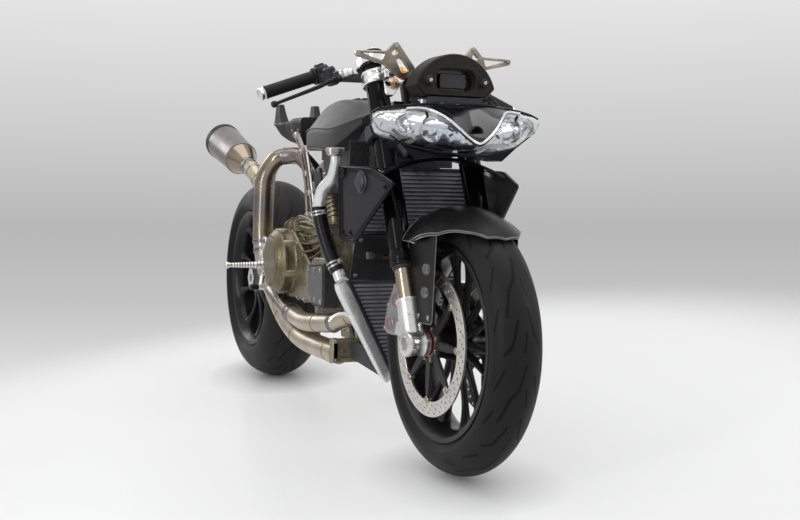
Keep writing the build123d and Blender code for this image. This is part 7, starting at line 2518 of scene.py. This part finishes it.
# ------------------------------------------------------------------ rear end
@dataclass(frozen=True)
class RearEnd:
    """Footrests, chain and sprockets, the sprung shock, the rear caliper and what the arm carries."""

    chain_x: float = 138.0
    pitch: float = 15.875
    drive: tuple[float, float] = (172.0, 385.0)
    pivot: tuple[float, float] = (285.0, 385.0)
    run_radii: tuple[float, float] = (102.6, 38.6)
    teeth: tuple[int, int] = (41, 15)

    def footrests(self) -> None:
        """Makes the footrest brackets, the tapered pegs and the pedals in place of the CAD rearsets."""
        shell = Shell("footrests", Body.FRAME, (Paint.ALLOY, Paint.STEEL, Paint.BLACK_SATIN, Paint.RED))
        for side in (-1, 1):
            plane = facing(CRANK.at((side * 183.0, 0.0, 0.0)), side)
            outline = rounded([(256, -23), (255, 75), (275, 103), (298, 35), (282, -23)], 9, 5)
            holes = (rounded([(266, 34), (284, 34), (276, 70), (268, 66)], 4, 4), round_loop(7.0, (269, -10), 20))
            shell.plate(outline, plane, 10.0, 0, holes, 1.8)
            peg = facing(CRANK.at((side * 188.0, 274.0, 15.0)), side)
            ribs = [(24 + 4 * k, 9.9 - 0.17 * k - (1.3 if k % 2 else 0.0)) for k in range(19)]
            shell.turned([(-12, 13), (2, 13), (5, 11.5), (12, 11.5), (14, 8), (19, 8), (21, 10.2), *ribs, (101, 6.5),
                          (103, 9.5), (109, 9.8), (112, 8), (112, 0)], peg, 0, 32)
            shell.bolt(peg.moved(0.0, 0.0, -12.0), 6.0, 4.0, 1)
            mount = facing(CRANK.at((side * 119.0, 265.0, 85.0)), side)
            shell.turned([(0, 13), (4, 13), (6, 10), (57, 10), (59, 12), (64, 12)], mount, 0, 28)
            shell.bolt(mount.moved(z=69.0), 6.5, 5.0, 1)
            arm = CRANK.at([(side * 183.0, 270.0, -11.0), (side * 196.0, 252.0, -24.0), (side * 206.0, 228.0, -45.0)])
            foot = facing(arm[-1], side)
            shell.sweep(smooth_route(arm, 8), 6.2, 0, 16)
            shell.turned([(-8, 9), (6, 9), (8, 7)], foot, 0, 24)
            knurl = [(8 + 2 * k, 8.5 - (0.9 if k % 2 else 0.0)) for k in range(12)]
            shell.turned([(6, 6), *knurl, (32, 7.5), (33, 0)], foot, 2, 28)
            hub = facing(CRANK.at((side * 188.0, 270.0, -11.0)), side)
            shell.turned([(-4, 12), (3, 12), (5, 10), (5, 6), (3, 5), (3, 0)], hub, 0, 28)
            shell.turned([(2.6, 10.4), (5.6, 10.4), (5.6, 8.6), (2.6, 8.6)], hub, 3, 28, closed=True)
        shell.build("rearsets")

    def slices(self, shell: Shell, flat: np.ndarray, levels: tuple[float, float], slot: int) -> None:
        """Adds many closed prisms at once, each between two levels across the machine.

        Args:
            shell: What to add to.
            flat: The outlines, shape (pieces, corners, 2).
            levels: Both levels.
            slot: Which finish they take.
        """
        n, m = flat.shape[:2]
        both = np.stack([np.concatenate([np.full((n, m, 1), level), flat], 2) for level in levels], 1)
        i, j = (a.ravel() for a in np.meshgrid(np.arange(n), np.arange(m), indexing="ij"))
        base, nxt = i * 2 * m, (j + 1) % m
        shell.add(both.reshape(-1, 3), np.stack([base + j, base + nxt, base + m + nxt, base + m + j], 1), slot)
        shell.add(both.reshape(-1, 3), np.arange(n * 2 * m).reshape(-1, m), slot)

    def chain(self) -> None:
        """Makes the chain link by link round both sprockets, with the front sprocket, in place of the CAD chain."""
        shell = Shell("drive_chain", Body.FRAME, (Paint.CHAIN, Paint.STEEL, Paint.ALLOY))
        circles = (BIKE.rear_axle[1:], self.drive)
        loop = strap(tuple((*spot, radius) for spot, radius in zip(circles, self.run_radii)), 0.0, 720)
        loop = np.concatenate([loop, loop[:1]])
        run = float(np.linalg.norm(np.diff(loop, axis=0), axis=1).sum())
        count = int(round(run / self.pitch / 2)) * 2
        pins = even_line(loop, count + 1)
        ahead = np.diff(pins, axis=0)
        pins = pins[:-1]
        step = np.linalg.norm(ahead, axis=1, keepdims=True)
        ahead = ahead / step
        up = np.stack([-ahead[:, 1], ahead[:, 0]], 1)
        t = turns(14)
        eight = np.stack([self.pitch / 2 + np.cos(t) * (self.pitch / 2 + 3.7), np.sin(t) * 4.0], 1)
        for parity, x in ((0, 5.6), (1, 3.9)):
            for side in (-1, 1):
                place = slice(parity, None, 2)
                flat = pins[place, None] + eight[None, :, :1] * ahead[place, None]
                flat = flat + eight[None, :, 1:] * up[place, None]
                self.slices(shell, flat, (self.chain_x + side * x, self.chain_x + side * (x - 1.5)), 0)
        ring = round_loop(1.0, sides=10)
        for radius, reach in ((4.2, 2.6), (2.2, 6.6)):
            flat = pins[:, None] + radius * ring[None]
            self.slices(shell, flat, (self.chain_x - reach, self.chain_x + reach), 1)
        angle = turns(self.teeth[1] * 12)
        tooth = 31.8 + 2.1 * np.cos(self.teeth[1] * angle)
        front = Axes((self.chain_x, *self.drive), **SIDEWAYS)
        shell.plate(np.stack([tooth * np.cos(angle), tooth * np.sin(angle)], 1), front, 7.0, 2,
                    tuple(round_loop(4.0, spot, 16) for spot in spots_round(6, 22)), 0.8)
        shell.turned([(-18, 16), (8, 16), (8, 12), (5, 11), (5, 0)], front, 1, 32)
        shell.build("chain")

    def sprocket(self) -> None:
        """Makes the toothed rear sprocket in place of its CAD node."""
        shell = Shell("toothed_sprocket", Body.REAR_WHEEL, (Paint.ALLOY, Paint.STEEL))
        hub = REAR_HUB.moved(z=self.chain_x)
        angle = turns(self.teeth[0] * 12)
        tooth = 95.4 + 2.4 * np.cos(self.teeth[0] * angle)
        corners_at = ((48, 0.3), (73, 0.22), (76, 0.52), (73, 0.83), (48, 0.75))
        holes = [round_loop(28.2, (0, 0), 48)]
        holes += [rounded([(r * cos(k * pi / 3 + a), r * sin(k * pi / 3 + a)) for r, a in corners_at], 6, 5)
                  for k in range(6)]
        shell.plate(np.stack([tooth * np.cos(angle), tooth * np.sin(angle)], 1), hub, 7.0, 0, tuple(holes), 0.8)
        for spot in spots_round(6, 60):
            shell.bolt(hub.moved(*spot, 3.4), 5.6, 5.0, 1)
        shell.build("rear_sprocket")

    def shock(self) -> None:
        """Makes the damper in its coiled spring, with collars and a reservoir cap, in place of the CAD shock."""
        shell = Shell("sprung_shock", Body.FRAME, (Paint.SPRING, Paint.ALLOY, Paint.GOLD, Paint.STEEL))
        top, foot = np.array([155.0, 10.0, 612.0]), np.array([155.0, 300.0, 518.0])
        axis = axes_along(top, foot)
        run = float(np.linalg.norm(foot - top))
        shell.turned([(0, 0), (0, 18), (4, 22), (30, 22), (32, 26), (38, 26), (40, 19), (150, 19), (151, 8),
                      (run - 42, 8), (run - 40, 26),
                      (run - 33, 26), (run - 31, 18), (run, 16), (run, 0)], axis, 1, 40)
        shell.turned([(41, 20), (42, 23), (50, 23), (52, 20)], axis, 2, 40)
        t = np.linspace(0, 1, 8 * 32)
        spin = t * 2 * pi * 7.5
        helix = np.stack([22.0 * np.cos(spin), 22.0 * np.sin(spin), 44 + (run - 88) * t], 1)
        shell.sweep(axis.at(helix), 4.6, 0, 12, upward=axis.z)
        for spot, inner in ((top + (0.0, 12.0, -4.0), 90.0), (foot, 126.0)):
            pin = Axes((inner, float(spot[1]), float(spot[2])), **SIDEWAYS)
            shell.turned([(0, 9), (155 - inner + 14, 9)], pin, 1, 28)
            shell.bolt(pin.moved(z=155 - inner + 14), 7.0, 5.0, 3)
        shell.build("shock")

    def caliper(self) -> None:
        """Makes the rear caliper and its bracket in place of the CAD one."""
        shell = Shell("rear_brake", Body.FRAME, (Paint.CALIPER, Paint.STEEL, Paint.RED), crease=35.0)
        hub = REAR_HUB.moved(z=30.0)
        Fork().caliper(shell, hub, 1.0, (150.5, 191.5), (85.0, 134.0), 25.0, 4.3)
        bracket = REAR_HUB.moved(-72.0, 20.0, 48.5)
        shell.block((64.0, 24.0, 19.0), bracket, 0, 3.0)
        for x in (-18.0, 16.0):
            shell.bolt(bracket.moved(x, 0.0, 9.0), 5.4, 4.5, 1)
        shell.build("rear_caliper")

    def arm(self) -> None:
        """Adds the arm's adjuster, pivot caps, guard and bolts; the CAD arm stays."""
        shell = Shell("swingarm_fittings", Body.FRAME, (Paint.BLACK_SATIN, Paint.STEEL, Paint.ALLOY))
        face = Axes((126.0, *self.pivot), **SIDEWAYS)
        for spot in ((40.0, 30.0), (96.0, 36.0), (200.0, -40.0), (300.0, -30.0)):
            shell.bolt(face.moved(*spot, -0.5), 6.0, 4.0, 1)
        hole = rounded([(70, -38), (70, 34), (150, 34), (250, 16), (250, -44), (150, -50)], 18, 6)
        ridge = face.at(np.c_[hole, np.zeros(len(hole))])
        shell.sweep(ridge, 3.2, 0, 8, wrap=True, upward=(1.0, 0.0, 0.0))
        for side in (-1, 1):
            cap = facing((side * (98.0 if side < 0 else 126.0), *self.pivot), side)
            shell.turned([(-2, 24), (3, 24), (6, 20), (6, 12), (3, 10), (3, 0)], cap, 2, 36)
            shell.bolt(cap.moved(z=3.0), 8.0, 5.0, 1)
        for spot in spots_round(4, 52, pi / 4):
            shell.bolt(REAR_HUB.moved(*spot, 125.5), 5.0, 4.0, 1)
        shell.build()

    def build(self) -> None:
        """Makes every piece of the rear end."""
        self.footrests()
        self.chain()
        self.sprocket()
        self.shock()
        self.caliper()
        self.arm()


ASSEMBLIES = (*wheels(), Fork(), Controls(), Headlight(), Cockpit(), Radiators(), Shroud(), Fender(), Tank(), Exhaust(),
              Engine(), Tail(), RearEnd())


# ------------------------------------------------------------------ studio
@dataclass(frozen=True)
class Studio:
    """The camera, the lamps, the pale floor and the sky-like backdrop."""

    place: Vec = (-1061.21, -3137.7, 836.82)
    yaw: float = radians(22.13622)
    pitch: float = radians(-7.13084)
    roll: float = radians(-6.09495)
    lens: float = 53.65
    lift: float = -1.1428
    floor_half: float = 4.5
    cells: int = 30
    fade: tuple[float, float] = (1.1, 2.1)
    plain_strength: float = 0.42
    glow: float = 0.95
    glow_share: float = 0.5
    greys: tuple = (
        # how far up the backdrop, and the grey there
        (0.0, 0.89), (0.24, 0.87), (0.285, 0.8), (0.37, 0.64), (0.43, 0.55), (0.52, 0.49), (0.56, 0.48), (0.72, 0.62),
        (0.94, 0.8), (1.0, 0.84),
    )
    boxes: tuple = (
        # name, place and aim in metres, width and height, watts
        ("top", (0.2, -0.3, 3.2), (0.0, 0.0, 0.3), (2.6, 3.4), 46.0),
        ("left", (-3.2, -1.6, 1.9), (0.0, -0.2, 0.5), (0.5, 2.6), 36.0),
        ("right", (2.6, -2.6, 1.7), (0.0, -0.5, 0.5), (0.45, 2.4), 26.0),
        ("behind", (-1.2, 3.4, 2.2), (0.0, 0.3, 0.6), (2.4, 1.2), 30.0),
    )

    def directions(self) -> tuple[np.ndarray, np.ndarray, np.ndarray]:
        """The camera's own directions.

        Returns:
            Its right, up and forward directions in the row frame.
        """
        ahead = np.array([sin(self.yaw) * cos(self.pitch), cos(self.yaw) * cos(self.pitch), sin(self.pitch)])
        right = np.array([cos(self.yaw), -sin(self.yaw), 0.0])
        up = np.cross(right, ahead)
        return (cos(self.roll) * right + sin(self.roll) * up, -sin(self.roll) * right + cos(self.roll) * up, ahead)

    def camera(self) -> None:
        """Makes the camera and makes it the scene's."""
        right, up, ahead = self.directions()
        data = bpy.data.cameras.new("view")
        data.lens, data.sensor_width, data.clip_end = self.lens, 36.0, 60.0
        eye = bpy.data.objects.new("view", data)
        spot = (np.array(self.place) + BIKE.shift + (0.0, 0.0, self.lift)) * MM
        eye.matrix_world = Matrix(np.vstack([np.c_[right, up, -ahead, spot], [0, 0, 0, 1]]).tolist())
        bpy.context.scene.collection.objects.link(eye)
        bpy.context.scene.camera = eye

    def lamp(self, name: str, place: Vec, aim: Vec, size: tuple[float, float], power: float) -> None:
        """Makes a soft box.

        Args:
            name: Its name.
            place: Where it stands, in metres.
            aim: What it faces.
            size: Its width and height.
            power: Its power in watts.
        """
        data = bpy.data.lights.new(name, "AREA")
        data.shape, data.size, data.size_y, data.energy = "RECTANGLE", size[0], size[1], power
        box = bpy.data.objects.new(name, data)
        box.location = place
        box.rotation_euler = (Vector(aim) - Vector(place)).to_track_quat("-Z", "Y").to_euler()
        bpy.context.scene.collection.objects.link(box)

    def backdrop(self) -> None:
        """Gives the world a level grey gradient for what is seen, and a plain light for the rest."""
        world = bpy.data.worlds.new("studio")
        bpy.context.scene.world = world
        world.use_nodes = True
        world.node_tree.nodes.clear()
        g = Graph(world.node_tree)
        way = g.node("TexCoord").outputs["Generated"]
        up = tuple(self.directions()[1])
        rise = g.node("VectorMath", {1: up}, {0: way}, operation="DOT_PRODUCT").outputs["Value"]
        part = g.first("MapRange", {"From Min": -0.25, "From Max": 0.25}, {"Value": rise})
        ramp = g.node("ValToRGB", {}, {0: part})
        while len(ramp.color_ramp.elements) < len(self.greys):
            ramp.color_ramp.elements.new(0.5)
        for element, (at, grey) in zip(ramp.color_ramp.elements, self.greys):
            element.position, element.color = at, (grey, grey, grey, 1.0)
        seen = g.shows_backdrop()
        plain = g.first("Background", {"Color": (0.97, 0.98, 1.0, 1.0), "Strength": self.plain_strength})
        shown = g.first("Background", {"Strength": 1.0}, {"Color": ramp.outputs[0]})
        mixed = g.first("MixShader", {}, {0: seen, 1: plain, 2: shown})
        g.join(mixed, g.node("OutputWorld"), "Surface")

    def floor(self) -> None:
        """Lays a pale floor that fades into the backdrop away from the machine; its glow is darkened by ambient
        occlusion, a painted contact shadow.
        """
        steps = np.linspace(-self.floor_half, self.floor_half, self.cells + 1)
        x, y = np.meshgrid(steps, steps, indexing="ij")
        points = np.stack([x, y, np.zeros_like(x)], 2).reshape(-1, 3)
        i, j = (a.ravel() for a in np.meshgrid(np.arange(self.cells), np.arange(self.cells), indexing="ij"))
        near_row, far_row = i * (self.cells + 1) + j, (i + 1) * (self.cells + 1) + j
        faces = np.stack([near_row, far_row, far_row + 1, near_row + 1], 1)
        mesh = bpy.data.meshes.new("floor")
        mesh.from_pydata(points, [], faces.tolist())
        mat = bpy.data.materials.new("studio_floor")
        mat.use_nodes = True
        mat.node_tree.nodes.clear()
        g = Graph(mat.node_tree)
        place = g.node("TexCoord").outputs["Object"]
        away = g.node("VectorMath", {}, {0: place}, operation="LENGTH").outputs["Value"]
        mottle = g.first("TexNoise", {"Scale": 3.0, "Detail": 3.0}, {"Vector": place})
        colour = g.blend(mottle, (0.9, 0.9, 0.9), (0.93, 0.93, 0.93))
        rough = g.first("MapRange", {"To Min": 0.2, "To Max": 0.3}, {"Value": mottle})
        ground = g.first("BsdfPrincipled", {"Specular IOR Level": 0.14}, {"Base Color": colour, "Roughness": rough})
        # painted shadow: the glow's colour is the ambient occlusion, which darkens it under and beside the machine
        near = g.node("AmbientOcclusion", {"Distance": 0.15}, samples=8).outputs["AO"]
        pale = g.first("Emission", {"Strength": self.glow}, {"Color": near})
        seen = g.shows_backdrop()
        ground = g.first("MixShader", {}, {0: g.math("MULTIPLY", seen, self.glow_share), 1: ground, 2: pale})
        clear = g.first("BsdfTransparent")
        limits = {"From Min": self.fade[0], "From Max": self.fade[1], "To Min": 0.0, "To Max": 1.0}
        fade = g.first("MapRange", limits, {"Value": away}, interpolation_type="SMOOTHSTEP")
        mixed = g.first("MixShader", {}, {0: fade, 1: ground, 2: clear})
        g.join(mixed, g.node("OutputMaterial"), "Surface")
        mesh.materials.append(mat)
        plane = bpy.data.objects.new("floor", mesh)
        bpy.context.scene.collection.objects.link(plane)

    def build(self) -> None:
        """Makes the camera, the backdrop, the floor and the lamps."""
        self.camera()
        self.backdrop()
        self.floor()
        for box in self.boxes:
            self.lamp(*box)
        bpy.context.scene.view_settings.view_transform = "Standard"


def dress_frame() -> None:
    """Gives each CAD node its finish."""
    for name, finish in CAD_FINISHES.items():
        node = frame["nodes"][name]
        node.data.materials.clear()
        node.data.materials.append(finish.material())


def corners(box: tuple) -> list[list[float]]:
    """A box as plain lists.

    Args:
        box: Its two corners.

    Returns:
        The corners' numbers.
    """
    return [[float(c) for c in corner] for corner in box]


def main() -> None:
    """Dresses the machine and sets the studio."""
    dress_frame()
    for assembly in ASSEMBLIES:
        assembly.build()
    Studio().build()


if __name__ == "__main__":
    main()
